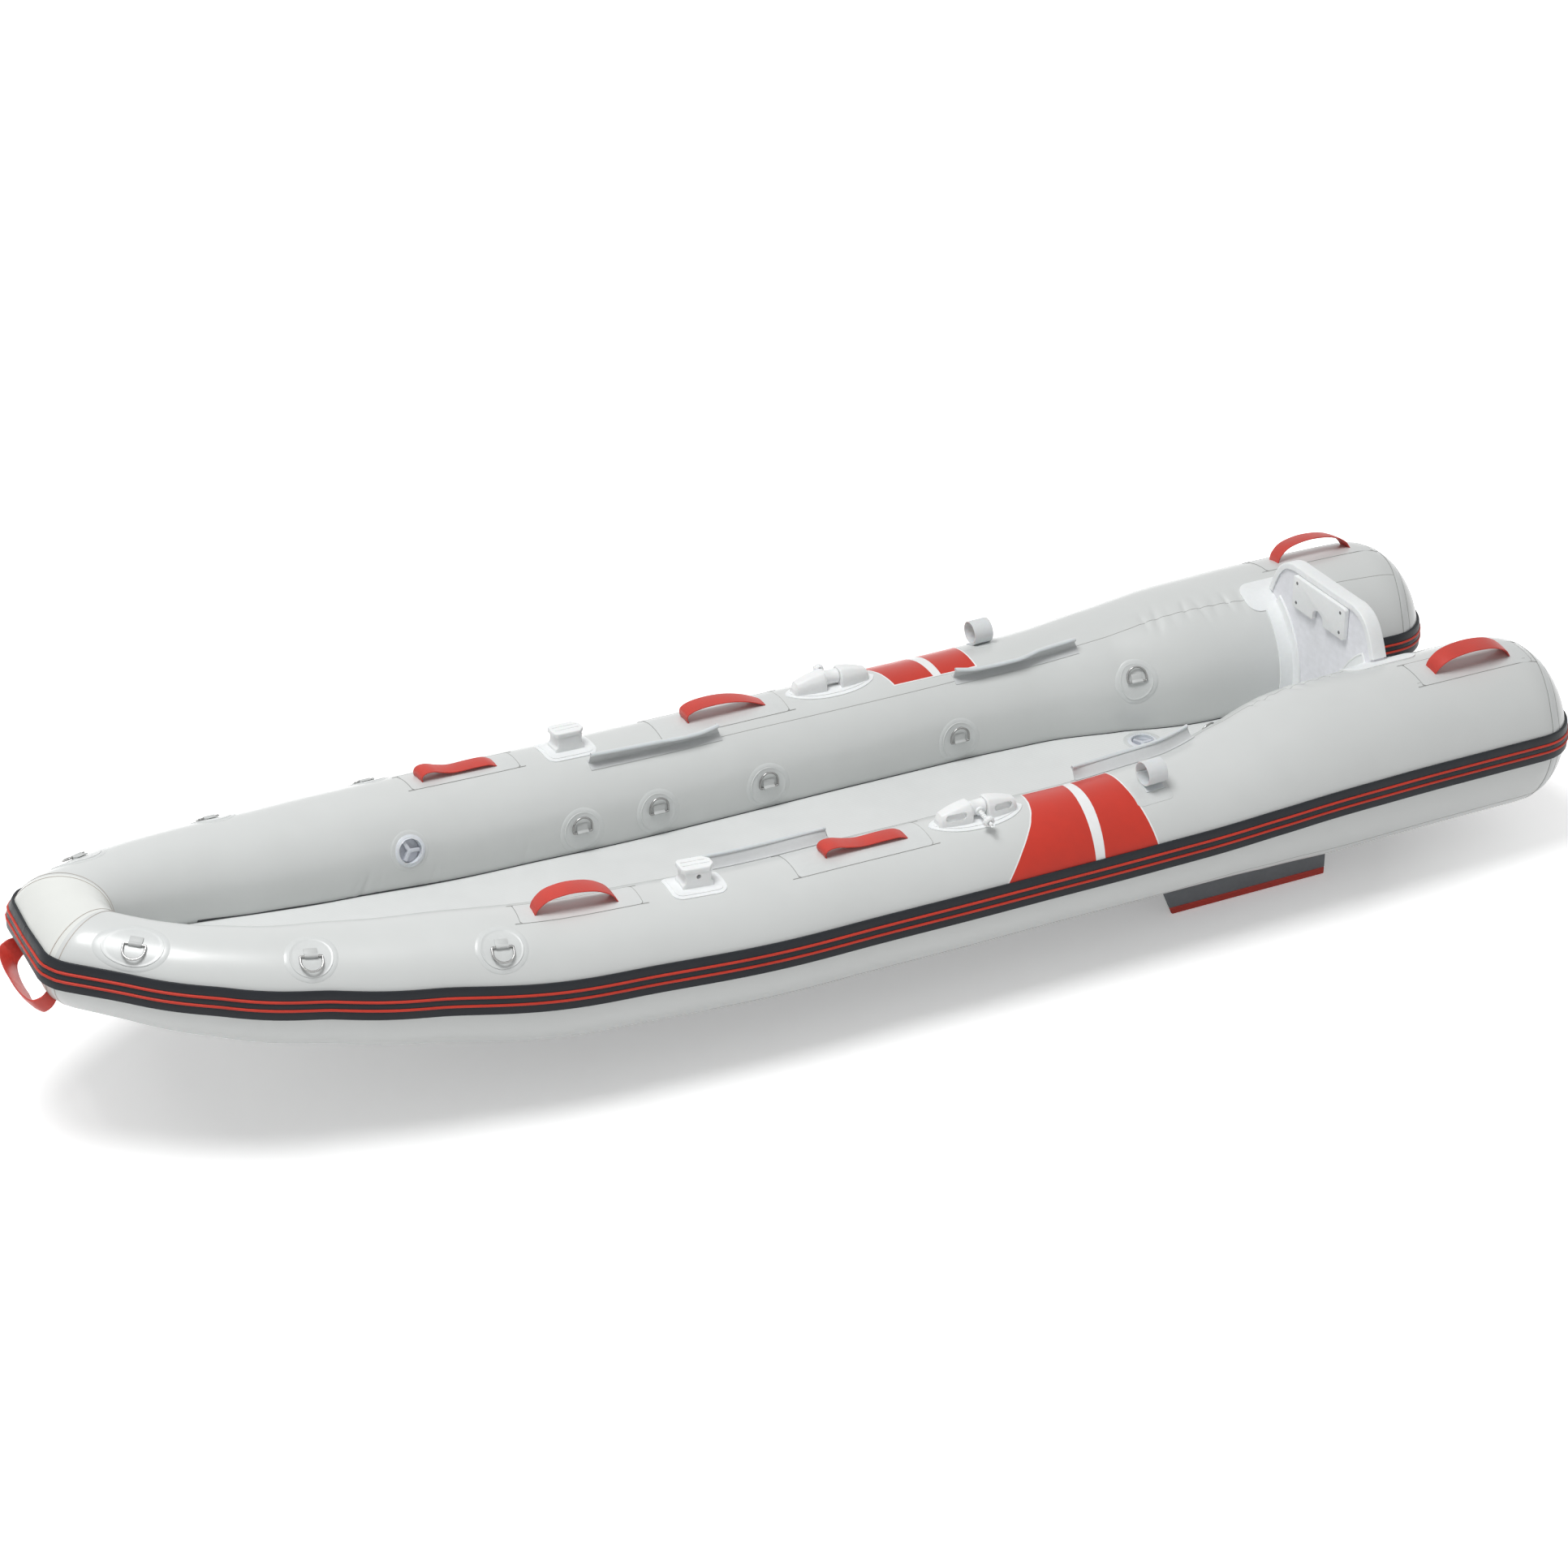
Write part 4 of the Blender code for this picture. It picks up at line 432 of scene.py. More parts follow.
def relief(place, degrees):
    """How far the fabric stands from its true round: slow waves, gathers and creases."""
    hull = bpy.context.scene.boat_hull
    on_tube = np.clip((place - MITRE_STATION) / 0.1, 0, 1) * np.clip((HULL_LENGTH - place) / 0.1, 0, 1)
    turn = np.radians(degrees)
    waves = np.sin(7.3 * place + 1.1) * np.cos(2 * turn + 0.7) + 0.6 * np.sin(17.0 * place + 2.0 * np.sin(turn) + 0.4)
    waves += 0.5 * np.sin(11.0 * place - 3.0 * np.cos(turn))
    height = hull.ripple * waves * 0.5
    if np.any(np.abs(place - 2.79) < 0.2):
        seam = seam_turn(place)
        for k, pucker in enumerate(PUCKER_PLACES):
            slant = 0.00045 * (1 if k % 2 else -1)
            along = (place - pucker - slant * (degrees - seam)) / (0.0062 + 0.0018 * (k % 3))
            round_tube = (degrees - seam - 2.0 + 1.5 * (k % 3)) / (6.0 + 1.8 * ((k * 5) % 3))
            height = height - hull.pucker_depth * (0.7 + 0.3 * math.sin(2.4 * k)) * np.exp(-(along**2) - round_tube**2)
    if np.any(np.abs(place - 1.1) < 0.5):
        for crease, depth, lean in DECK_CREASES:
            along = (place - crease - lean * (degrees + 95)) / 0.0055
            height = height - 0.0048 * depth * np.exp(-(along**2) - ((degrees + 98) / 9.0) ** 2)
    return height * on_tube


seam_turn = smooth_line(SEAM_PLACES, SEAM_TURNS)


def skin(place, degrees, lift=0.0, plain=False):
    """Points over the starboard half of the tubes, in the boat's frame."""
    place, degrees, lift = np.broadcast_arrays(
        np.asarray(place, float), np.asarray(degrees, float), np.asarray(lift, float)
    )
    centre, outboard, up, radius = section(place)
    reach = radius + lift
    if not plain:
        reach = reach + relief(place, degrees)
    turn = np.radians(degrees)
    points = centre + (reach * np.cos(turn))[..., None] * up + (reach * np.sin(turn))[..., None] * outboard
    points[..., 0] -= ROW_SHIFT
    return points


def local_radius(station):
    return float(tube_section(station)[3])


def square_to(vector, axis):
    """The part of a vector that is square to an axis, one metre long."""
    return (vector - vector.dot(axis) * axis).normalized()


def frame_at(origin, along, out):
    """A frame with X along one unit direction and Z along another, square to it."""
    made = Matrix((along, out.cross(along), out)).transposed().to_4x4()
    made.translation = origin
    return made


def seat_frame(station, degrees):
    """A frame on the starboard skin: X aft along the tube, Z outward, origin on the skin."""
    ahead, behind = skin([station + 0.007, station - 0.007], degrees, plain=True)
    along = Vector(ahead - behind).normalized()
    origin = Vector(skin(station, degrees, plain=True))
    out = Vector(skin(station, degrees, 0.01, plain=True)) - origin
    return frame_at(origin, along, square_to(out, along))


def joint_frame(name, station, degrees):
    """A starboard fitting's frame: on its joint, X along the joint's axis, Z outward."""
    seat = seat_frame(station, degrees)
    along = Vector(JOINTS[name]["axis"]).normalized()
    if along.dot(seat.col[0].to_3d()) < 0:
        along = -along
    return frame_at(Vector(JOINTS[name]["pos_m"]), along, square_to(seat.col[2].to_3d(), along))


def wall_valve_seat():
    """The frame of the starboard wall valve, whose Z is the axis that its cap turns about."""
    joint = JOINTS["valve_cap_turn_starboard"]
    out = Vector(joint["axis"]).normalized()
    along = seat_frame(*WALL_VALVE).col[0].to_3d()
    return frame_at(Vector(joint["pos_m"]), square_to(along, out), out)


def moved(made, matrix):
    bmesh.ops.transform(made, matrix=matrix, verts=made.verts)
    return made


def outward(made):
    """Turns every face outward."""
    bmesh.ops.recalc_face_normals(made, faces=made.faces)
    if made.calc_volume(signed=True) < 0:
        bmesh.ops.reverse_faces(made, faces=made.faces)
    return made


def loft(rings, looped=False, places=None):
    """A skin through rings of points; its UV map holds each point's place along and around."""
    rings = np.asarray(rings, float)
    rows, columns = rings.shape[:2]
    made = bmesh.new()
    bmesh.ops.create_grid(made, x_segments=columns, y_segments=rows - 1, size=1)
    made.verts.ensure_lookup_table()
    layer = made.loops.layers.uv.new("skin")
    for row in range(rows):
        for column in range(columns + 1):
            made.verts[row * (columns + 1) + column].co = rings[row, column % columns]
    along = np.linspace(0, 1, rows) if places is None else places
    for face in made.faces:
        for loop in face.loops:
            row, column = divmod(loop.vert.index, columns + 1)
            loop[layer].uv = (along[row], column / columns)
    bmesh.ops.remove_doubles(made, verts=made.verts, dist=WELD_DISTANCE)
    open_edges = [edge for edge in made.edges if edge.is_boundary]
    if open_edges and not looped:
        bmesh.ops.holes_fill(made, edges=open_edges)
    return outward(made)


def ribbon(places, degrees, width, base, top, tip=0.0012, looped=False):
    """A thin strip on the skin along a line, its edges chamfered; base and top are lifts."""
    places, degrees = np.asarray(places, float), np.asarray(degrees, float)
    degree = np.radians(1.0) * section(places)[3]
    along = np.gradient(places)
    across = np.gradient(degrees) * degree
    length = np.hypot(along, across)
    middle = (base + top) / 2
    rows = []
    for way, lift in ((-1, base), (1, base), (1, middle), (1, top), (-1, top), (-1, middle)):
        off = way * (width / 2 - (tip if lift == top else 0.0))
        rows.append(skin(places - across / length * off, degrees + along / length * off / degree, lift))
    return loft(np.stack(rows, 1), looped=looped, places=places)


def prism(outline, thickness, low=0.0):
    """An outline in XY, raised along Z from a low level."""
    made = bmesh.new()
    made.faces.new([made.verts.new((x, y, low)) for x, y in outline])
    raised = bmesh.ops.extrude_face_region(made, geom=list(made.faces))["geom"]
    tops = [item for item in raised if isinstance(item, bmesh.types.BMVert)]
    bmesh.ops.translate(made, verts=tops, vec=(0, 0, thickness))
    return outward(made)


def softened(made, width, segments=2, sharper_than=35.0):
    """Rounds the edges at which two faces turn sharply."""
    edges = [edge for edge in made.edges if edge.is_manifold and edge.calc_face_angle(0) > math.radians(sharper_than)]
    bmesh.ops.bevel(
        made,
        geom=edges,
        offset=width,
        offset_type="OFFSET",
        affect="EDGES",
        segments=segments,
        profile=0.5,
        material=-1,
        clamp_overlap=True,
    )
    return made


def sliced(made, normal, places):
    """Cuts a mesh across, so that it can bend."""
    for place in places:
        bmesh.ops.bisect_plane(
            made,
            geom=list(made.verts) + list(made.edges) + list(made.faces),
            dist=WELD_DISTANCE,
            plane_co=Vector(normal) * place,
            plane_no=normal,
        )
    return made


def wrapped(made, station, degrees):
    """Lays a flat mesh on the starboard tube: X along it, Y round it, Z outward."""
    points = np.array([vert.co[:] for vert in made.verts])
    radius = section(station + points[:, 0])[3]
    laid = skin(station + points[:, 0], degrees + np.degrees(points[:, 1] / radius), points[:, 2])
    for vert, point in zip(made.verts, laid):
        vert.co = point
    return made


def turned(profile, sides):
    """A profile of (radius, height) points from axis to axis, spun about Z."""
    made = bmesh.new()
    points = [made.verts.new((radius, 0, height)) for radius, height in profile]
    edges = [made.edges.new(pair) for pair in zip(points, points[1:])]
    bmesh.ops.spin(made, geom=points + edges, axis=(0, 0, 1), angle=math.tau, steps=sides, use_merge=True)
    bmesh.ops.remove_doubles(made, verts=made.verts, dist=WELD_DISTANCE)
    return outward(made)


def arc(centre, radius, start, end, steps):
    """Points on an arc in a plane, between two angles in degrees."""
    turns = np.radians(np.linspace(start, end, steps + 1))
    return [(centre[0] + radius * math.cos(turn), centre[1] + radius * math.sin(turn)) for turn in turns]


def rounded(width, height, corner, steps=6):
    """A rectangle about the origin with round corners."""
    x, y = width / 2 - corner, height / 2 - corner
    outline = []
    for quarter, spot in enumerate(((x, y), (-x, y), (-x, -y), (x, -y))):
        outline += arc(spot, corner, 90 * quarter, 90 * quarter + 90, steps)
    return outline


def sweep(points, radius, sides, side):
    """A round rod along a closed line; side starts the first ring."""
    points, side = [Vector(point) for point in points], Vector(side)
    turns = [math.tau * j / sides for j in range(sides)]
    rings = []
    for k, point in enumerate(points):
        along = (points[(k + 1) % len(points)] - points[k - 1]).normalized()
        side = square_to(side, along)
        other = along.cross(side)
        rings.append([tuple(point + radius * (math.cos(turn) * side + math.sin(turn) * other)) for turn in turns])
    return loft([*rings, rings[0]], looped=True)


def joined(pieces):
    """Puts several meshes into one."""
    whole = bmesh.new()
    whole.loops.layers.uv.new("skin")
    for piece in pieces:
        mesh = bpy.data.meshes.new("piece")
        piece.to_mesh(mesh)
        piece.free()
        whole.from_mesh(mesh)
        bpy.data.meshes.remove(mesh)
    return whole


def flipped(made, side):
    if side < 0:
        bmesh.ops.scale(made, vec=(1, -1, 1), verts=made.verts)
        bmesh.ops.reverse_faces(made, faces=made.faces)
    return made


def add(name, made, finish, body=HULL, nodes=(), side=1, sharp=38.0):
    """Adds a piece, which rides on a body, takes a finish's material and hides the CAD nodes that it stands for."""
    flipped(made, side)
    mesh = bpy.data.meshes.new(name)
    made.to_mesh(mesh)
    made.free()
    mesh.shade_smooth()
    mesh.set_sharp_from_angle(angle=math.radians(sharp))
    piece = bpy.data.objects.new(name, mesh)
    bpy.context.scene.collection.objects.link(piece)
    builder, slot = finish
    mesh.materials.append(builder())
    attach(piece, body)
    if nodes:
        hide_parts(*nodes)
    return piece


def node(tree, kind, inputs=None, **settings):
    made = tree.nodes.new(kind)
    for key, value in settings.items():
        setattr(made, key, value)
    for key, value in (inputs or {}).items():
        if isinstance(value, bpy.types.NodeSocket):
            tree.links.new(value, made.inputs[key])
        else:
            made.inputs[key].default_value = value
    return made


def sums(tree, operation, first, second=0.0, third=0.0, clamp=False):
    made = node(tree, "ShaderNodeMath", {0: first, 1: second, 2: third}, operation=operation)
    made.use_clamp = clamp
    return made.outputs[0]


def tinted(tree, factor, first, second, kind="MIX"):
    made = node(tree, "ShaderNodeMix", {"Factor": factor}, data_type="RGBA", blend_type=kind)
    for slot, value in ((6, first), (7, second)):
        if isinstance(value, bpy.types.NodeSocket):
            tree.links.new(value, made.inputs[slot])
        else:
            made.inputs[slot].default_value = (*value[:3], 1)
    return made.outputs[2]


def darkened(tree, colour, factor):
    """A colour times a number."""
    grey = node(tree, "ShaderNodeCombineColor", {0: factor, 1: factor, 2: factor})
    return tinted(tree, 1.0, colour, grey.outputs[0], "MULTIPLY")


def noise(tree, vector, scale, detail):
    return node(tree, "ShaderNodeTexNoise", {"Vector": vector, "Scale": scale, "Detail": detail}).outputs[0]


def build_mottle(tree, given):
    """Slow and fine changes of tone, for colour and gloss."""
    slow = noise(tree, given["Vector"], given["Scale"], 3.0)
    fine = noise(tree, given["Vector"], sums(tree, "MULTIPLY", given["Scale"], 9.0), 5.0)
    both = sums(tree, "ADD", sums(tree, "MULTIPLY", slow, 0.65), sums(tree, "MULTIPLY", fine, 0.35))
    spread = sums(tree, "MULTIPLY_ADD", both, 4.0, -1.5, clamp=True)
    change = sums(tree, "SUBTRACT", spread, 0.5)
    tone = sums(tree, "MULTIPLY_ADD", change, given["Amount"], 1.0)
    rough = sums(tree, "MULTIPLY_ADD", change, given["Gloss Change"], given["Roughness"])
    return {"Colour": darkened(tree, given["Colour"], tone), "Roughness": rough, "Mask": spread}


def build_edge_wear(tree, given):
    """Edges turned towards a worn colour, broken up by noise."""
    geometry = node(tree, "ShaderNodeNewGeometry")
    raised = sums(tree, "MULTIPLY_ADD", geometry.outputs["Pointiness"], 9.0, -4.72, clamp=True)
    broken = sums(tree, "MULTIPLY_ADD", noise(tree, given["Vector"], 55.0, 4.0), 3.0, -0.9, clamp=True)
    mask = sums(tree, "MULTIPLY", sums(tree, "MULTIPLY", raised, broken), given["Amount"], clamp=True)
    return {"Colour": tinted(tree, mask, given["Colour"], given["Worn"]), "Mask": mask}


def build_grain(tree, given):
    """A fine pebbled surface over a slower waver."""
    spots = {"Vector": given["Vector"], "Scale": given["Scale"]}
    cells = node(tree, "ShaderNodeTexVoronoi", spots, feature="SMOOTH_F1")
    pits = noise(tree, given["Vector"], given["Scale"], 4.0)
    fine = sums(tree, "ADD", sums(tree, "MULTIPLY", cells.outputs[0], 0.5), sums(tree, "MULTIPLY", pits, 0.5))
    return {"Height": sums(tree, "MULTIPLY_ADD", noise(tree, given["Vector"], 26.0, 2.0), given["Waver"], fine)}


def build_weave(tree, given):
    """Threads crossing over and under."""
    parts = node(tree, "ShaderNodeSeparateXYZ", {0: given["Vector"]}).outputs
    turns = sums(tree, "MULTIPLY", given["Threads"], math.pi)
    waves = [sums(tree, "SINE", sums(tree, "MULTIPLY", parts[axis], turns)) for axis in (0, 1)]
    return {"Height": sums(tree, "MULTIPLY_ADD", sums(tree, "MULTIPLY", *waves), 0.5, 0.5, clamp=True)}


VECTOR, COLOUR, NUMBER = "NodeSocketVector", "NodeSocketColor", "NodeSocketFloat"
MIDDLE_GREY, PALE_GREY = (0.5, 0.5, 0.5, 1), (0.8, 0.8, 0.8, 1)
# A group's builder, its inputs with their defaults, and its outputs
GROUPS = {
    "Mottle": (
        build_mottle,
        {
            "Vector": (VECTOR, None),
            "Colour": (COLOUR, MIDDLE_GREY),
            "Roughness": (NUMBER, 0.5),
            "Scale": (NUMBER, 6.0),
            "Amount": (NUMBER, 0.08),
            "Gloss Change": (NUMBER, 0.10),
        },
        {"Colour": COLOUR, "Roughness": NUMBER, "Mask": NUMBER},
    ),
    "Edge Wear": (
        build_edge_wear,
        {
            "Vector": (VECTOR, None),
            "Colour": (COLOUR, MIDDLE_GREY),
            "Worn": (COLOUR, PALE_GREY),
            "Amount": (NUMBER, 0.5),
        },
        {"Colour": COLOUR, "Mask": NUMBER},
    ),
    "Grain": (
        build_grain,
        {"Vector": (VECTOR, None), "Scale": (NUMBER, 900.0), "Waver": (NUMBER, 0.0)},
        {"Height": NUMBER},
    ),
    "Weave": (build_weave, {"Vector": (VECTOR, None), "Threads": (NUMBER, 900.0)}, {"Height": NUMBER}),
}


def grouped(tree, name, inputs):
    """The outputs of a node for one of the shader groups, which is made the first time."""
    made = bpy.data.node_groups.get(name)
    if made is None:
        build, given, results = GROUPS[name]
        made = bpy.data.node_groups.new(name, "ShaderNodeTree")
        for socket, (kind, value) in given.items():
            item = made.interface.new_socket(socket, in_out="INPUT", socket_type=kind)
            if value is not None:
                item.default_value = value
        for socket, kind in results.items():
            made.interface.new_socket(socket, in_out="OUTPUT", socket_type=kind)
        start, end = made.nodes.new("NodeGroupInput"), made.nodes.new("NodeGroupOutput")
        for socket, value in build(made, start.outputs).items():
            made.links.new(value, end.inputs[socket])
    return node(tree, "ShaderNodeGroup", inputs, node_tree=made).outputs


def opaque(colour):
    return (*colour[:3], 1)


def shaded(name, colour, roughness, scale, amount, gloss_change):
    """A new material with a mottled colour: itself, its tree, its shader, and the sockets that looks build on."""
    made = bpy.data.materials.new(name)
    made.use_nodes = True
    tree = made.node_tree
    where = node(tree, "ShaderNodeTexCoord").outputs["Object"]
    inputs = {"Vector": where, "Colour": opaque(colour), "Roughness": roughness}
    inputs |= {"Scale": scale, "Amount": amount, "Gloss Change": gloss_change}
    mottled = grouped(tree, "Mottle", inputs)
    result = {"colour": mottled["Colour"], "rough": mottled["Roughness"], "where": where}
    return made, tree, tree.nodes["Principled BSDF"], result


def finish_of(name, slot, colour, roughness, extra=None, **looks):
    """(a function that makes the material, the record's slot) for a finish; a colour is a value or a setting."""

    def build():
        made = bpy.data.materials.get(name)
        if made is not None:
            return made
        paint = colour
        if isinstance(colour, str):
            settings, setting = colour.split(".")
            paint = getattr(getattr(bpy.context.scene, settings), setting)
        made, tree, shader, result = shaded(
            name, paint, roughness, looks.get("scale", 5.0), looks.get("amount", 0.06), looks.get("gloss_change", 0.10)
        )
        where = result["where"]
        if "wear" in looks:
            inputs = {"Vector": where, "Colour": result["colour"]}
            inputs |= {"Worn": opaque(looks["worn"]), "Amount": looks["wear"]}
            result["colour"] = grouped(tree, "Edge Wear", inputs)["Colour"]
        inputs = {"Vector": where, "Scale": looks.get("grain", 700.0), "Waver": looks.get("waver", 0.0)}
        result["height"] = grouped(tree, "Grain", inputs)["Height"]
        if extra is not None:
            extra(tree, result)
        inputs = {"Strength": looks.get("bump", 0.12), "Distance": looks.get("depth", 0.0004)}
        inputs["Height"] = result["height"]
        bump = node(tree, "ShaderNodeBump", inputs)
        tree.links.new(result["colour"], shader.inputs["Base Color"])
        tree.links.new(result["rough"], shader.inputs["Roughness"])
        tree.links.new(bump.outputs["Normal"], shader.inputs["Normal"])
        for look, socket in SOCKETS.items():
            if look in looks:
                shader.inputs[socket].default_value = looks[look]
        return made

    return build, slot


# Looks that are plain values on the shader's own sockets
SOCKETS = {
    "coat": "Coat Weight",
    "coat_rough": "Coat Roughness",
    "sheen": "Sheen Weight",
    "sheen_rough": "Sheen Roughness",
    "specular": "Specular IOR Level",
    "inside": "Subsurface Weight",
    "metal": "Metallic",
    "ior": "IOR",
}


def webbing_looks(tree, result):
    """Ribs across the strap, with painted shade darkening their valleys."""
    skin_map = node(tree, "ShaderNodeUVMap", uv_map="skin").outputs[0]
    along, across, _ = node(tree, "ShaderNodeSeparateXYZ", {0: skin_map}).outputs
    ribs = sums(tree, "SINE", sums(tree, "MULTIPLY", along, 420.0))
    threads = sums(tree, "SINE", sums(tree, "MULTIPLY", across, 260.0))
    woven = sums(tree, "MULTIPLY_ADD", sums(tree, "MULTIPLY", ribs, threads), 0.5, 0.5)
    result["height"] = sums(tree, "MULTIPLY_ADD", woven, 0.8, sums(tree, "MULTIPLY", result["height"], 0.3))
    # Painted shade: the colour is darkened by up to a tenth where the weave lies low.
    result["colour"] = darkened(tree, result["colour"], sums(tree, "MULTIPLY_ADD", woven, 0.10, 0.90))


def scrim_looks(tree, result):
    """The cloth inside the coating shows through as a faint net."""
    net = grouped(tree, "Weave", {"Vector": result["where"], "Threads": 620.0})["Height"]
    result["height"] = sums(tree, "MULTIPLY_ADD", net, 0.25, result["height"])


def deck_looks(tree, result):
    """Fine slanting ribs pressed into the deck's coating, clearer towards the transom, with faint painted shade in
    their grooves and painted highlight on their crests.
    """
    aft, across, _ = node(tree, "ShaderNodeSeparateXYZ", {0: result["where"]}).outputs
    slant = sums(tree, "ADD", aft, sums(tree, "MULTIPLY", across, 0.55))
    rib = sums(tree, "SINE", sums(tree, "MULTIPLY", slant, 700.0))
    shown = sums(tree, "MULTIPLY_ADD", sums(tree, "MULTIPLY_ADD", aft, 0.9, 0.1, clamp=True), 0.7, 0.3)
    ribs = sums(tree, "MULTIPLY", rib, shown)
    result["height"] = sums(tree, "MULTIPLY_ADD", ribs, 0.35, result["height"])
    # Painted shade and highlight: the colour darkens slightly in the ribs' grooves and lightens on their crests.
    result["colour"] = darkened(tree, result["colour"], sums(tree, "MULTIPLY_ADD", ribs, 0.018, 1.0))


def stretched(tree, result, scale, detail):
    mapped = node(tree, "ShaderNodeMapping", {"Vector": result["where"], "Scale": scale}).outputs[0]
    return noise(tree, mapped, 1.0, detail)


def brushed_looks(tree, result):
    """Fine scratches all one way."""
    scratch = stretched(tree, result, (60.0, 900.0, 900.0), 3.0)
    result["height"] = sums(tree, "MULTIPLY_ADD", scratch, 0.5, result["height"])


def plank_looks(tree, result):
    """Thin paint over plywood: long, faint grain lines across the board."""
    lines = stretched(tree, result, (40.0, 4.0, 90.0), 4.0)
    result["colour"] = darkened(tree, result["colour"], sums(tree, "MULTIPLY_ADD", lines, 0.10, 0.95))
    result["height"] = sums(tree, "MULTIPLY_ADD", lines, 0.8, result["height"])


GLOSSY = {"grain": 420.0, "waver": 0.6, "bump": 0.10, "depth": 0.0006, "coat": 0.35, "coat_rough": 0.16, "ior": 1.5}
LINE = {"scale": 20.0, "amount": 0.2, "grain": 800.0, "bump": 0.1}
TUBE_FABRIC = finish_of(
    "tube_fabric", "pvc_grey", "boat_hull.tube_grey", 0.34, scrim_looks, scale=1.6, amount=0.035, **GLOSSY
)
BOW_FABRIC = finish_of(
    "bow_fabric", "pvc_white", "boat_hull.bow_white", 0.34, scrim_looks, scale=2.4, amount=0.03, **GLOSSY
)
TAPE_FABRIC = finish_of(
    "seam_tape", "pvc_grey", (0.660, 0.680, 0.675), 0.38, scrim_looks,
    scale=9.0, amount=0.04, grain=600.0, bump=0.14, coat=0.2, coat_rough=0.25,
)
DECK_FABRIC = finish_of(
    "deck_fabric", "deck_grey", "boat_hull.deck_grey", 0.50, deck_looks,
    scale=2.2, amount=0.05, grain=520.0, waver=0.8, bump=0.18, depth=0.0005, coat=0.10, coat_rough=0.35,
)
SKIN_FABRIC = finish_of(
    "hull_fabric", "pvc_grey", "boat_hull.tube_grey", 0.42, scrim_looks, scale=2.0, amount=0.06, grain=520.0, bump=0.16
)
STRAKE_RUBBER = finish_of(
    "strake_rubber", "strake_black", "boat_trim.strake_black", 0.48,
    scale=7.0, amount=0.30, gloss_change=0.18, wear=0.25, worn=(0.07, 0.072, 0.08), grain=500.0, specular=0.28,
)
RIB_RUBBER = finish_of(
    "rib_rubber", "strap_red", "boat_trim.rib_red", 0.46,
    scale=12.0, amount=0.14, wear=0.2, worn=(0.72, 0.14, 0.09), grain=600.0, specular=0.3,
)
BAND_PRINT = finish_of(
    "band_print", "strap_red", "boat_trim.band_red", 0.36, scrim_looks,
    scale=5.0, amount=0.08, grain=420.0, waver=0.4, bump=0.10, coat=0.2, coat_rough=0.2, specular=0.3,
)
BAND_BORDER_PRINT = finish_of(
    "band_border", "pvc_white", "boat_fittings.moulded_white", 0.36, scrim_looks, scale=9.0, amount=0.05, bump=0.10
)
STRAP_WEBBING = finish_of(
    "strap_webbing", "strap_red", "boat_trim.strap_red", 0.44, webbing_looks,
    scale=22.0, amount=0.12, grain=1200.0, bump=0.35, sheen=0.06, sheen_rough=0.4, specular=0.4,
)
TAB_WEBBING = finish_of(
    "tab_webbing", "pvc_grey", (0.560, 0.575, 0.570), 0.46, scrim_looks, scale=26.0, amount=0.08, grain=1100.0, bump=0.3
)
PATCH_FABRIC = finish_of(
    "patch_fabric", "pvc_grey", (0.655, 0.675, 0.670), 0.36, scrim_looks,
    scale=14.0, amount=0.05, grain=600.0, bump=0.14, coat=0.25, coat_rough=0.2,
)
MOULDED_PLASTIC = finish_of(
    "moulded_plastic", "moulded_white", "boat_fittings.moulded_white", 0.40,
    scale=12.0, amount=0.05, wear=0.3, worn=(0.88, 0.89, 0.89), grain=1500.0, bump=0.14, inside=0.04,
)
CLIP_STRAP = finish_of(
    "clip_strap", "pvc_white", (0.700, 0.715, 0.725), 0.36, scrim_looks,
    scale=16.0, bump=0.14, coat=0.3, coat_rough=0.18, inside=0.08,
)
RAIL_STRIP = finish_of(
    "rail_strip", "pvc_grey", (0.600, 0.615, 0.620), 0.36, scrim_looks, scale=12.0, bump=0.14, coat=0.3, coat_rough=0.2
)
BOARD_PAINT = finish_of(
    "board_paint", "board_grey", "boat_fittings.board_grey", 0.46, plank_looks,
    scale=7.0, amount=0.07, wear=0.4, worn=(0.66, 0.66, 0.68), grain=260.0, bump=0.22, depth=0.0006,
)
FIN_RUBBER = finish_of(
    "fin_rubber", "fin_grey", "boat_fittings.fin_grey", 0.50,
    scale=11.0, amount=0.16, wear=0.5, worn=(0.34, 0.35, 0.37), grain=600.0, bump=0.2,
)
FIN_EDGE = finish_of(
    "fin_edge", "strap_red", "boat_trim.rib_red", 0.46,
    scale=14.0, amount=0.14, wear=0.4, worn=(0.72, 0.22, 0.16), grain=600.0, bump=0.2,
)
RING_STEEL = finish_of(
    "ring_steel", "stainless_steel", "boat_fittings.steel", 0.22,
    scale=14.0, amount=0.10, grain=900.0, bump=0.015, depth=0.0001, metal=1.0,
)
SCREW_STEEL = finish_of(
    "screw_steel", "stainless_steel", (0.200, 0.200, 0.205), 0.36, brushed_looks,
    scale=90.0, amount=0.2, grain=900.0, bump=0.1, depth=0.0002, metal=1.0,
)
VALVE_PLASTIC = finish_of(
    "valve_plastic", "valve_grey", "boat_fittings.valve_grey", 0.30,
    scale=30.0, amount=0.10, wear=0.3, worn=(0.78, 0.80, 0.84), grain=1200.0, bump=0.1,
    coat=0.4, coat_rough=0.1, inside=0.06,
)
VALVE_CAP_PLASTIC = finish_of(
    "valve_cap_plastic", "valve_grey", (0.620, 0.645, 0.700), 0.28,
    scale=30.0, amount=0.10, wear=0.3, worn=(0.66, 0.69, 0.74), grain=1200.0, bump=0.1, coat=0.4, coat_rough=0.1,
)
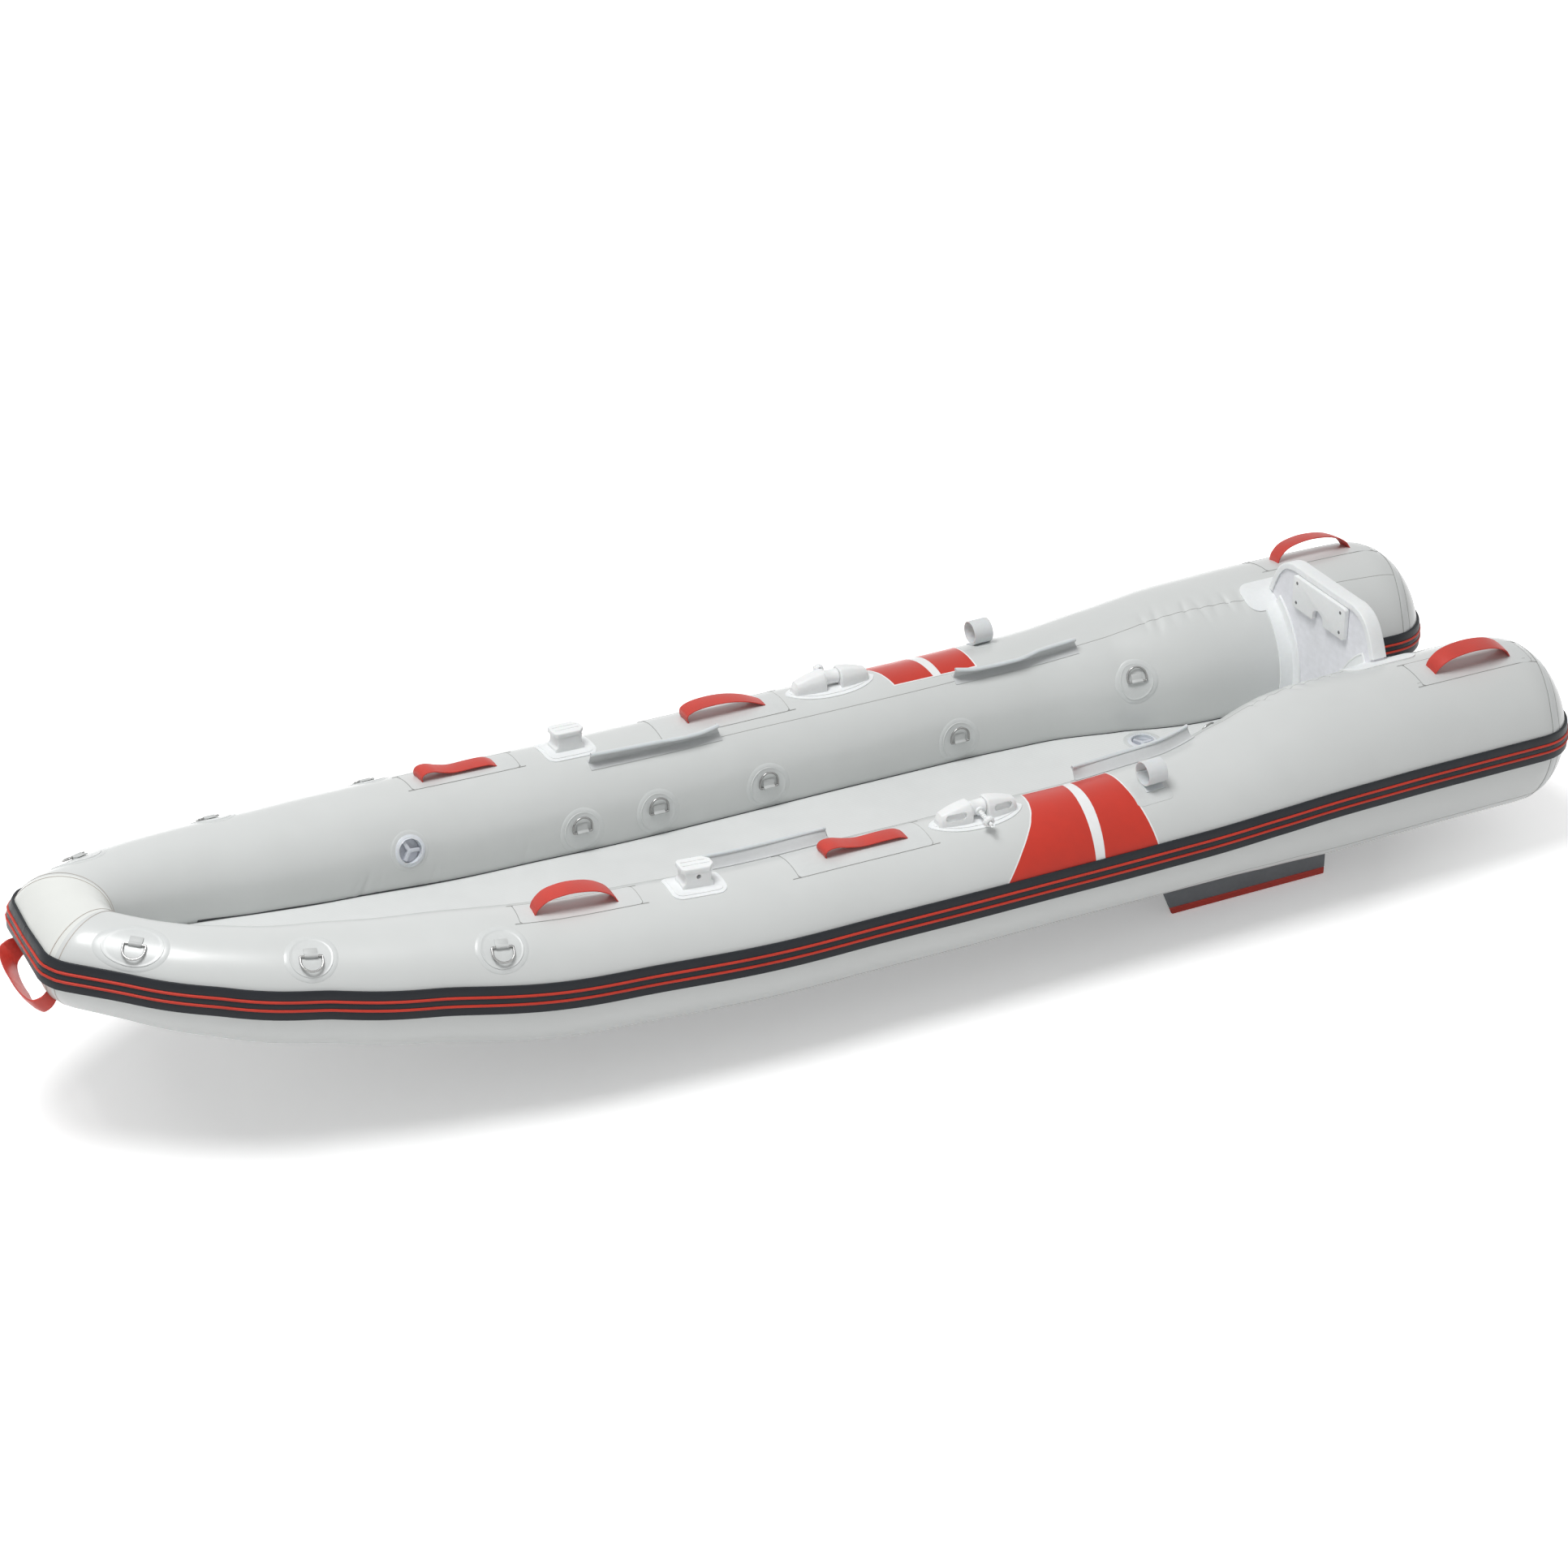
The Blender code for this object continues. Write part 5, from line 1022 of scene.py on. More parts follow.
# Near-black finish for painted shade: the crevice where the deck meets a tube, and the hollow of each rail's bore.
PAINTED_SHADE_FINISH = finish_of("painted_shade", "deck_grey", (0.105, 0.110, 0.115), 0.6, **LINE)
SEAM_LINE = finish_of("seam_line", "pvc_grey", (0.330, 0.335, 0.325), 0.5, **LINE)
BOW_LINE = finish_of("bow_line", "pvc_white", (0.480, 0.430, 0.385), 0.5, **LINE)


def around():
    return np.linspace(-180, 180, bpy.context.scene.boat_hull.tube_sides, endpoint=False)


def tail_places(steps):
    """Places over the tail's cap, even round its curve."""
    turns = np.radians(np.linspace(0, 90, steps + 1))
    return CAP_STATION + TAIL_CAP_LENGTH * np.sin(turns) ** (2 / TAIL_ROUNDNESS)


def ring_places():
    """Places of the tube's rings, closer together where the fabric gathers and creases."""
    spacing = bpy.context.scene.boat_hull.ring_spacing
    edges = (MITRE_STATION, 0.66, 1.11, 2.63, 2.96, CAP_STATION)
    parts = []
    for start, end, share in zip(edges, edges[1:], (1.0, 0.28, 1.0, 0.32, 1.0)):
        parts.append(np.linspace(start, end, max(int((end - start) / (spacing * share)), 2), endpoint=False))
    return np.concatenate([*parts, [CAP_STATION], tail_places(28)[1:]])


def deck_valve_seat():
    return Matrix.Translation(Vector(JOINTS["valve_cap_turn_deck"]["pos_m"]))


def valve_recess(made, seat):
    inlaid(made, arc((0, 0), VALVE_CUP_RADIUS + 0.0003, 0, 345, 23), seat, VALVE_DEPTH + 0.0006)


def build_side_tube(side, word):
    places = ring_places()
    made = loft(skin(places[:, None], around()[None, :]), places=places)
    valve_recess(made, wall_valve_seat())
    add(f"tube_skin_{word}", made, TUBE_FABRIC, nodes=(f"{word}_tube",), side=side)


def build_bow_tube():
    places = np.linspace(MIDDLE_STATION, MITRE_STATION, 22)
    half = skin(places[:, None], around()[None, :])
    rings = np.concatenate([half[:0:-1] * [1, -1, 1], half])
    made = loft(rings, places=np.linspace(-MITRE_Y, MITRE_Y, len(rings)))
    add("bow_tube_skin", made, BOW_FABRIC, nodes=("bow_tube",))


def hairline(places, degrees):
    return ribbon(places, degrees, bpy.context.scene.boat_hull.seam_width, TAPE_SINK, 0.0003, 0.0003)


def build_tapes(side, word):
    hull = bpy.context.scene.boat_hull
    round_tube = np.linspace(-180, 180, 97)
    tail = smooth_line(*TAIL_TAPE)(round_tube)

    def circle(places, width):
        return ribbon(places, round_tube, width, TAPE_SINK, hull.tape_thickness, looped=True)

    add(f"tail_tape_{word}", circle(tail, TAIL_TAPE_WIDTH), TAPE_FABRIC, side=side)
    lines = [circle(tail + way * (TAIL_TAPE_WIDTH / 2 + 0.0005), hull.seam_width) for way in (-1, 1)]
    corner = [circle(np.full(97, MITRE_STATION + off), 0.0013) for off in (-0.009, 0.007)]
    add(f"corner_lines_{word}", joined(corner), BOW_LINE, side=side)
    along = np.linspace(SEAM_START, SEAM_PLACES[-1], 340)
    lines.append(hairline(along, seam_turn(along)))
    lines.append(hairline(np.linspace(*STERN_SEAM[:2], 60), np.full(60, STERN_SEAM[2])))
    along = np.linspace(KEEL_SEAM[0][0], KEEL_SEAM[0][-1], 220)
    lines.append(hairline(along, smooth_line(*KEEL_SEAM)(along)))
    add(f"seam_lines_{word}", joined(lines), SEAM_LINE, side=side)
    # Painted shade: a near-black strip on the tube just below the deck's top, standing in for the crevice's shadow.
    along = np.linspace(0.33, BOARD_FRONT - 0.01, 200)
    centre, _, _, radius = section(along)
    level = deck_top(along / HULL_LENGTH) - 0.0065
    turn = -np.degrees(np.arccos(np.clip((level - centre[:, 2]) / radius, -1, 1)))
    add(f"deck_edge_painted_shade_{word}", ribbon(along, turn, 0.0070, TAPE_SINK, 0.0004), PAINTED_SHADE_FINISH, side=side)


def panel(front, aft, turns, lift, columns=14):
    """A thin sheet on the skin between two edges, each a station for an angle."""
    rows = []
    for turn in turns:
        edge = np.linspace(float(front(turn)), float(aft(turn)), columns)
        top = skin(edge, turn, lift)
        low = skin(edge[::-1], turn, -0.0006)
        rows.append(np.concatenate([top, low]))
    return loft(rows, places=np.radians(turns))


def build_bands(side, word):
    strake_turn = 90 - math.degrees((STRAKE_LIFT + STRAKE_BREADTH / 2 - 0.004) / local_radius(2.1))
    turns = np.linspace(BAND_TURNS[0], strake_turn, 48)
    wider = np.linspace(BAND_TURNS[0] - 1.2, strake_turn, 48)
    below = np.linspace(BAND_TURNS[0] - 1.2, BAND_TURNS[0], 4)
    rows = (BAND_FRONT, BAND_GAP_FRONT, BAND_GAP_AFT, BAND_AFT)
    front, gap_front, gap_aft, aft = (smooth_line(BAND_TURNS, row) for row in rows)
    add(f"band_front_{word}", panel(front, gap_front, turns, 0.0005), BAND_PRINT, side=side)
    add(f"band_aft_{word}", panel(gap_aft, aft, turns, 0.0005, 10), BAND_PRINT, side=side)
    borders = [
        panel(lambda t: front(t) - BAND_BORDER, lambda t: front(t) + 0.001, wider, 0.0004, 4),
        panel(lambda t: gap_front(t) - 0.001, lambda t: gap_aft(t) + 0.001, wider, 0.0004, 5),
        panel(lambda t: aft(t) - 0.001, lambda t: aft(t) + BAND_BORDER, wider, 0.0004, 4),
        panel(front, aft, below, 0.0004, 24),
    ]
    add(f"band_border_{word}", joined(borders), BAND_BORDER_PRINT, side=side)


def strake_places():
    """Places along the side, angles round the tail, and places of the inboard return."""
    going = np.linspace(MIDDLE_STATION + 0.0003, CAP_STATION, 300)
    tail = np.linspace(0, 180, 64)[1:-1]
    back = np.linspace(CAP_STATION, HULL_LENGTH * STRAKE_STERN_SHARE, 26)
    return going, tail, back


def strake_face(girth):
    """Points on the tubes along the strake's whole path, at a girth above the tube's middle."""
    going, tail, back = strake_places()
    radius = section(going)[3]
    out = skin(going, 90 - np.degrees(girth / radius))
    full = float(tube_section(CAP_STATION)[3])
    height = full * math.sin(girth / full)
    turn = np.cos(np.radians(tail))
    across = math.sqrt(full**2 - height**2) * np.sign(turn) * np.abs(turn) ** (2 / TAIL_ROUNDNESS)
    reach = np.sqrt(across**2 + height**2) / full
    place = CAP_STATION + TAIL_CAP_LENGTH * np.clip(1 - reach**TAIL_ROUNDNESS, 0, 1) ** (1 / TAIL_ROUNDNESS)
    centre, outboard, up, _ = section(place)
    end = centre + outboard * across[:, None] + up * height - [ROW_SHIFT, 0, 0]
    radius = section(back)[3]
    inner = skin(back, np.degrees(girth / radius) - 90)
    return np.concatenate([out, end, inner])


def strake_body(profile):
    """A moulding along the strake's path from a profile of (girth, lift)."""
    columns = []
    for girth, lift in profile:
        base = strake_face(girth)
        above = strake_face(girth + 0.0015)
        along = np.gradient(base, axis=0)
        normal = unit(np.cross(above - base, along))
        columns.append(base + normal * lift)
    rings = np.stack(columns, 1)
    length = np.concatenate([[0], np.cumsum(np.linalg.norm(np.diff(rings[:, 0], axis=0), axis=1))])
    return loft(rings, places=length)


def build_strake(side, word):
    low, high = STRAKE_LIFT - STRAKE_BREADTH / 2, STRAKE_LIFT + STRAKE_BREADTH / 2
    top, corner, breadth = STRAKE_THICKNESS, 0.0022, RIB_BREADTH / 2
    middles = [STRAKE_LIFT + STRAKE_BREADTH * share for share in RIB_PLACE_SHARES]
    profile = [(low, -STRAKE_SINK)] + arc((low + corner, top - corner), corner, 180, 90, 4)
    for middle in middles:
        profile += [(middle - breadth - 0.0022, top - 0.0003), (middle - breadth, top - 0.0011)]
        profile += [(middle + breadth, top - 0.0011), (middle + breadth + 0.0022, top - 0.0003)]
    profile += arc((high - corner, top - corner), corner, 90, 0, 4) + [(high, -STRAKE_SINK)]
    profile += [(high + (low - high) * share, -STRAKE_SINK) for share in (0.25, 0.5, 0.75)]
    add(f"strake_moulding_{word}", strake_body(profile), STRAKE_RUBBER, nodes=(f"strake_{word}",), side=side)
    ribs = []
    for middle in middles:
        crown = []
        for turn in np.radians(np.linspace(180, 0, 9)):
            crown.append((middle + breadth * math.cos(turn), top - 0.0012 + (RIB_HEIGHT + 0.0007) * math.sin(turn)))
        ribs.append(strake_body([(middle - breadth, top - 0.0025)] + crown + [(middle + breadth, top - 0.0025)]))
    add(f"strake_ribs_{word}", joined(ribs), RIB_RUBBER, side=side)


def deck_top(share):
    return AXIS_HEIGHT + BOW_RISE * RISE(share) - DECK_DROP * TAPER(share)


def tube_side_at(row_x):
    """(Y, Z) down the inner side of the starboard tube, in the plane of one X of the boat's frame."""
    turns = np.linspace(-60, -178, 60)
    places = np.full(len(turns), max(row_x + ROW_SHIFT, MITRE_STATION))
    for _ in range(14):
        short = row_x - skin(places, turns, plain=True)[:, 0]
        places = np.clip(places + 0.7 * short, MIDDLE_STATION, HULL_LENGTH - 0.01)
    points = skin(places, turns)
    return points[:, 1], points[:, 2]


def deck_ring(station):
    share = station / HULL_LENGTH
    top, taper = float(deck_top(share)), float(TAPER(share))
    bottom = top - DECK_THICKNESS * taper
    ys, zs = tube_side_at(station - ROW_SHIFT)
    order = np.argsort(zs)

    def side_y(z):
        return float(np.interp(z, zs[order], ys[order])) - 0.0009

    drop, reach = 0.011 * taper, 0.020 * taper
    edge = side_y(top - drop)
    half = [((edge - reach) * share_out, top) for share_out in (0.0, 0.25, 0.5, 0.75, 0.92)]
    for t in np.radians(np.linspace(0, 90, 8)):
        half.append((edge - reach * (1 - math.sin(t)), top - drop * (1 - math.cos(t))))
    half += [(side_y(z), z) for z in np.linspace(top - drop, bottom, 5)[1:]]
    half.append((side_y(bottom) * 0.5, bottom - KEEL_DROP * taper * 0.5))
    keel = [(0.0, bottom - KEEL_DROP * taper)]
    ring = half + keel + [(-y, z) for y, z in half[:0:-1]]
    return [(station - ROW_SHIFT, y, z) for y, z in ring]


def build_deck():
    stations = np.concatenate([np.linspace(0.150, 0.30, 16), np.linspace(0.32, BOARD_FRONT - 0.0049, 110)])
    made = loft([deck_ring(station) for station in stations], places=stations)
    valve_recess(made, deck_valve_seat())
    add("deck_cloth", made, DECK_FABRIC, nodes=("air_deck",))


def flowing(points, per=8):
    """A smooth curve through points."""
    points = [np.array(point, float) for point in points]
    line = []
    for k in range(len(points) - 1):
        before = points[max(k - 1, 0)]
        start, end = points[k], points[k + 1]
        after = points[min(k + 2, len(points) - 1)]
        for t in np.linspace(0, 1, per, endpoint=False):
            one, two = (end - before) / 2, (after - start) / 2
            line.append(
                (2 * t**3 - 3 * t**2 + 1) * start + (t**3 - 2 * t**2 + t) * one
                + (3 * t**2 - 2 * t**3) * end + (t**3 - t**2) * two
            )
    return np.array(line + [points[-1]])


def build_transom():
    top, board_x = BOARD_TOP, BOARD_FRONT - ROW_SHIFT
    shares = ((0, 0), (0.357, 0.10), (0.629, 0.32), (0.829, 0.64), (1.0, 1.0))
    shoulder = [(BOARD_HALF_WIDTH + 0.084 * a, top - 0.090 * d) for a, d in shares]
    half = flowing([(0, top), (0.06, top), (0.10, top)] + shoulder, 7)
    line = np.concatenate([half[:0:-1] * [-1, 1], half])
    ahead = unit(np.gradient(line, axis=0))
    normal = np.stack([-ahead[:, 1], ahead[:, 0]], 1)
    front, back, wall, crown, corner = 0.0, BOARD_THICKNESS, 0.0045, 0.006, 0.0028
    profile = [(front - wall, -CAP_LIP)] + arc((front - wall + corner, crown - corner), corner, 180, 90, 4)
    profile += arc((back + wall - corner, crown - corner), corner, 90, 0, 4) + [(back + wall, -CAP_LIP)]
    profile += [(back + 0.0003, -CAP_LIP), (back + 0.0003, 0.0003)]
    profile += [(front - 0.0003, 0.0003), (front - 0.0003, -CAP_LIP)]
    rings = []
    for spot, out in zip(line, normal):
        rings.append([(board_x + x, *(spot + out * lift)) for x, lift in profile])
    made = loft(rings)
    add("edge_moulding", made, MOULDED_PLASTIC, nodes=("transom_edge_cap",))
    top_of_pads = top - CAP_LIP - 0.0015
    stand = Matrix(((0, 0, 1, 0), (1, 0, 0, 0), (0, 1, 0, 0), (0, 0, 0, 1)))
    inner = prism(notched(PAD_WIDTH, PAD_HEIGHT, 0.007, 0.042, 0.028), PAD_THICKNESS, -PAD_THICKNESS - 0.0003)
    softened(inner, 0.0025, 3, 60)
    place = Matrix.Translation((board_x, 0, top_of_pads - PAD_HEIGHT / 2)) @ stand
    add("clamp_pad_inner", moved(inner, place), MOULDED_PLASTIC, nodes=("motor_pad_inner",))
    outer = prism(rounded(PAD_WIDTH, OUTER_PAD_HEIGHT, 0.007), OUTER_PAD_THICKNESS, BOARD_THICKNESS + 0.0003)
    softened(outer, 0.0025, 3, 60)
    place = Matrix.Translation((board_x, 0, top_of_pads - OUTER_PAD_HEIGHT / 2)) @ stand
    add("clamp_pad_outer", moved(outer, place), MOULDED_PLASTIC, nodes=("motor_pad_outer",))
    screws = []
    for y in (-PAD_WIDTH / 2 + 0.017, PAD_WIDTH / 2 - 0.017):
        for down in (0.015, PAD_HEIGHT - 0.015):
            spot = (board_x - PAD_THICKNESS - 0.0003, y, top_of_pads - down)
            screws.append(moved(screw_head(), Matrix.Translation(spot) @ Matrix.Rotation(-math.pi / 2, 4, "Y")))
        for down in (0.017, OUTER_PAD_HEIGHT - 0.017):
            spot = (board_x + BOARD_THICKNESS + OUTER_PAD_THICKNESS + 0.0003, y, top_of_pads - down)
            screws.append(moved(screw_head(), Matrix.Translation(spot) @ Matrix.Rotation(math.pi / 2, 4, "Y")))
    add("pad_screws", joined(screws), SCREW_STEEL)


def notched(width, height, corner, notch_width, notch_height):
    """A rounded plate outline with an arched notch in the middle of its foot."""
    reach = notch_width / 2
    foot = -height / 2
    arch = arc((0, foot + notch_height - reach), reach, 180, 0, 12)
    left = [(-reach, foot)] + arch + [(reach, foot)]
    x, y = width / 2 - corner, height / 2 - corner
    outline = []
    outline += arc((x, -y), corner, -90, 0, 5) + arc((x, y), corner, 0, 90, 5)
    outline += arc((-x, y), corner, 90, 180, 5) + arc((-x, -y), corner, 180, 270, 5)
    return outline + left


def screw_head(radius=0.0042):
    """A low dome, on a plug that sinks into the pad."""
    turns = np.radians(np.linspace(15, 90, 6))
    dome = [(radius * math.sin(t), -0.0004 + 0.0016 * math.cos(t)) for t in turns]
    return turned([(0, 0.0012), *dome, (radius, -0.002), (0, -0.002)], 24)


def build_holders(side, word):
    low, high = -0.0006, HOLDER_FLANGE_THICKNESS
    front, back, wall, tip = -0.0003, BOARD_THICKNESS + 0.0003, HOLDER_WALL, HOLDER_WALL_HEIGHT
    flare = wall + HOLDER_FLANGE
    # Half of the section, from the flange's edge over the wall's bead to the board
    half = [(flare, low), (flare - 0.001, high), (wall + 0.006, high), (wall + 0.0015, high + 0.0015)]
    half += [(wall, high + 0.006), (wall, tip - 0.0045), (wall + 0.0014, tip - 0.0035)]
    half += [(wall + 0.0014, tip - 0.001), (wall - 0.0010, tip), (0, tip), (0, high)]
    profile = [(front - flare, low)] + [(back + x, z) for x, z in half] + [(front - x, z) for x, z in half[:0:-1]]
    rings = []
    for turn in np.linspace(HOLDER_TURNS[0], HOLDER_TURNS[1], 50):
        ring = skin([BOARD_FRONT + x for x, _ in profile], turn, [lift for _, lift in profile])
        ring[:, 0] = [BOARD_FRONT + x - ROW_SHIFT for x, _ in profile]
        rings.append(ring)
    add(f"board_holder_{word}", loft(rings), MOULDED_PLASTIC, nodes=(f"transom_holder_{word}",), side=side)
    flap = prism(rounded(0.170, 0.086, 0.030, 8), 0.0030, -0.0006)
    sliced(flap, (0, 1, 0), np.arange(-0.040, 0.041, 0.010))
    sliced(flap, (1, 0, 0), np.arange(-0.080, 0.081, 0.020))
    softened(flap, 0.0008, 2, 50)
    add(f"holder_flap_{word}", wrapped(flap, 2.978, -25.0), MOULDED_PLASTIC, side=side)


def build_fins(side, word):
    middle = FIN_STERN - FIN_LENGTH / 2
    centre = axis_at(middle)
    radius = local_radius(middle)
    top = float(centre[2]) - radius * 0.72
    lean = FIN_RAKE * top / (float(centre[2]) - STERN_TUBE_RADIUS)
    bow = FIN_STERN - FIN_LENGTH

    def blade(low, high, thickness):
        stations = (FIN_STERN, FIN_STERN, bow - lean * high / top, bow - lean * low / top)
        outline = [(x - ROW_SHIFT, z) for x, z in zip(stations, (low, high, high, low))]
        stand = Matrix(((1, 0, 0, 0), (0, 0, 1, FIN_Y - thickness / 2), (0, 1, 0, 0), (0, 0, 0, 1)))
        return moved(prism(outline, thickness), stand)

    body = softened(blade(FIN_EDGE_HEIGHT, top, FIN_THICKNESS * 0.85), 0.0016, 3)
    foot = prism(rounded(FIN_LENGTH + 0.03, FIN_FOOT_WIDTH, 0.018), 0.0032, -0.0006)
    sliced(foot, (0, 1, 0), np.arange(-0.02, 0.021, 0.01))
    sliced(foot, (1, 0, 0), np.arange(-0.2, 0.21, 0.05))
    turn = 180 - math.degrees(math.asin((float(centre[1]) - FIN_Y) / radius))
    foot = wrapped(foot, FIN_STERN - (FIN_LENGTH + 0.02) / 2, -turn)
    add(f"fin_blade_{word}", joined([body, foot]), FIN_RUBBER, nodes=(f"fin_{word}",), side=side)
    edge = softened(blade(0.0, FIN_EDGE_HEIGHT + 0.0004, FIN_THICKNESS), 0.0028, 3)
    add(f"fin_edge_{word}", edge, FIN_EDGE, side=side)


def strap(line, place):
    """A flat strap along a line of (along, height), with rounded selvedges."""
    slope = unit(np.gradient(line, axis=0))
    half, thick, edge = STRAP_WIDTH / 2, STRAP_THICKNESS, 0.0008
    across = [(-half + edge, 0), (half - edge, 0), (half, edge), (half, thick - edge), (half - edge, thick)]
    across += [(half * 0.4, thick + 0.0002), (-half * 0.4, thick + 0.0002)]
    across += [(-half + edge, thick), (-half, thick - edge), (-half, edge)]
    rings = []
    for (x, z), (run, climb) in zip(line, slope):
        rings.append([place(x - climb * depth, y, z + run * depth) for y, depth in across])
    length = np.concatenate([[0], np.cumsum(np.linalg.norm(np.diff(line, axis=0), axis=1))])
    return loft(rings, places=length)


def flat_patch(length, width, corner, top, low=-0.0005):
    made = prism(rounded(length, width, corner, 6), top - low, low)
    sliced(made, (0, 1, 0), np.arange(-width / 2 + 0.008, width / 2, 0.008))
    sliced(made, (1, 0, 0), np.arange(-length / 2 + 0.02, length / 2, 0.02))
    return made


def build_handles(side, word):
    for name, station, span, degrees, starboard, port, patch in HANDLES:
        shape = starboard if side > 0 else port

        def place(along, across, height):
            turn = degrees + math.degrees(across / local_radius(station))
            return skin(station + along, turn, STRAP_SEAT + height)

        nodes = (f"handle_{name}_{word}",)
        made = strap(flowing([(share * span / 2, height) for share, height in shape]), place)
        add(f"strap_{name}_{word}", made, STRAP_WEBBING, nodes=nodes, side=side)
        centre, length, half = patch
        base = wrapped(flat_patch(length, 2 * half, 0.010, 0.0006), centre, degrees)
        add(f"strap_patch_{name}_{word}", base, PATCH_FABRIC, side=side)
        edge = rounded(length, 2 * half, 0.008, 4)
        fine = flowing(edge + edge[:1], 6)
        turn = degrees + np.degrees(fine[:, 1] / local_radius(centre))
        line = ribbon(centre + fine[:, 0], turn, 0.0012, 0.0002, 0.0009, 0.0002)
        add(f"strap_outline_{name}_{word}", line, SEAM_LINE, side=side)


def build_tow_handle():
    radius = float(MITRE[3])

    def place(along, across, height):
        turn = TOW_HANDLE_ANGLE + math.degrees(across / radius)
        point = skin(MIDDLE_STATION + abs(along), turn, STRAP_SEAT + height)
        return (point[0], math.copysign(point[1], along), point[2])

    made = strap(flowing([(share * TOW_HANDLE_SPAN / 2, height) for share, height in TOW]), place)
    add("tow_strap", made, STRAP_WEBBING, nodes=("bow_tow_handle",))


def disc(radius, top, low=-0.0005, rim=0.0):
    """A round patch, with its edge rolled and perhaps a raised rim."""
    profile = [(0, low), (radius * 0.5, low), (radius, low), (radius, top - 0.0003), (radius - 0.0005, top + rim)]
    if rim:
        profile += [(radius - 0.0022, top + rim), (radius - 0.0030, top)]
    profile += [(radius * share, top) for share in (0.85, 0.68, 0.5, 0.34, 0.17)] + [(0, top)]
    return turned(profile, 56)


def ring_tab(tail_side):
    """The webbing sleeve round a ring's bar, with its tail; in the ring's own frame."""
    height = BAR_HEIGHT
    wall = WIRE_RADIUS + 0.0016
    loop = arc((0, 0), wall, 100, -40, 10)
    outline = [(-TAB_TAIL, -height + 0.0012), (-TAB_TAIL, -height + 0.0030), (-TAB_TAIL * 0.5, -height + 0.0044)]
    outline += [(-wall * 1.25, -0.0006)] + loop + [(wall * 0.7, -height + 0.0012)]
    made = prism([(-tail_side * y, z) for y, z in outline], TAB_WIDTH)
    turn = Matrix(((0, 0, 1, -TAB_WIDTH / 2), (1, 0, 0, 0), (0, 1, 0, 0), (0, 0, 0, 1)))
    return softened(moved(made, turn), 0.0005, 2, 40)


def ring_wire():
    half, leg, corner = RING_WIDTH / 2, RING_LEG, RING_CORNER
    path = [(x, 0) for x in np.linspace(-half + corner, half - corner, 8)]
    path += arc((half - corner, corner), corner, -90, 0, 4)[1:] + [(half, leg * 0.6)]
    path += arc((0, leg), half, 0, 180, 24)
    path += [(-half, leg * 0.6)] + arc((-half + corner, corner), corner, 180, 270, 4)[:-1]
    return sweep([(x, y, 0) for x, y in path], WIRE_RADIUS, 14, (0, 0, 1))


def build_rings(side, word):
    for name, station, degrees, tail_side in RING_PLACES:
        place = joint_frame(f"starboard_ring_{name}_swing", station, degrees)
        halo = wrapped(disc(PATCH_HALO_RADIUS, 0.0005), station, degrees)
        add(f"ring_halo_{name}_{word}", halo, PATCH_FABRIC, side=side)
        base = wrapped(disc(PATCH_RADIUS, PATCH_THICKNESS - 0.0004, rim=0.0004), station, degrees)
        add(f"ring_patch_{name}_{word}", base, PATCH_FABRIC, side=side)
        add(f"ring_tab_{name}_{word}", moved(ring_tab(tail_side), place), TAB_WEBBING, side=side)
        node_name = f"{word}_ring_{name}"
        wire = moved(ring_wire(), place)
        add(f"ring_wire_{name}_{word}", wire, RING_STEEL, f"{node_name}_body", (node_name,), side)


def inlaid(made, outline, place, depth, facing=0.3):
    """Sinks the faces that lie inside a convex outline, which is drawn in a frame whose Z points out of them."""
    away = place.to_3x3()
    spots = [place @ Vector((x, y, 0)) for x, y in outline]
    reach = math.inf
    if len(made.faces) > LARGE_MESH_FACES:
        reach = 2 * max((spot - place.translation).length for spot in spots)
    for start, end in zip(spots, spots[1:] + spots[:1]):
        inward = away.col[2].cross(end - start).normalized()
        faces = [face for face in made.faces if (face.calc_center_median() - place.translation).length < reach]
        edges = dict.fromkeys(edge for face in faces for edge in face.edges)
        verts = dict.fromkeys(vert for face in faces for vert in face.verts)
        bmesh.ops.bisect_plane(
            made, geom=[*verts, *edges, *faces], dist=WELD_DISTANCE, plane_co=start, plane_no=inward
        )
    back = place.inverted()
    chosen = []
    for face in made.faces:
        middle = back @ face.calc_center_median()
        if abs(middle.z) > 0.02 or face.normal.dot(away.col[2]) < facing:
            continue
        sides = zip(outline, outline[1:] + outline[:1])
        if all((end[0] - x) * (middle.y - y) - (end[1] - y) * (middle.x - x) > -1e-7 for (x, y), end in sides):
            chosen.append(face)
    if not chosen:
        raise RuntimeError("no face lies inside the outline of a recess")
    sunk = bmesh.ops.extrude_face_region(made, geom=chosen)["geom"]
    floor = [item for item in sunk if isinstance(item, bmesh.types.BMVert)]
    bmesh.ops.delete(made, geom=chosen, context="FACES")
    bmesh.ops.translate(made, verts=floor, vec=away.col[2] * -depth)
    return outward(made)


def laid_plate(outline, top, station, degrees=0.0, low=-0.0006, grid=0.008):
    made = prism(outline, top - low, low)
    reach_x, reach_y = max(x for x, _ in outline), max(y for _, y in outline)
    sliced(made, (0, 1, 0), np.arange(-reach_y + grid / 2, reach_y, grid))
    sliced(made, (1, 0, 0), np.arange(-reach_x + grid, reach_x, 2 * grid))
    softened(made, min(0.0008, top * 0.4), 2, 50)
    return wrapped(made, station, degrees)


def stand_up(width):
    """Turns a prism so that its outline stands upright along X, with its thickness about Y = 0."""
    return Matrix(((1, 0, 0, 0), (0, 0, -1, width / 2), (0, 1, 0, 0), (0, 0, 0, 1)))


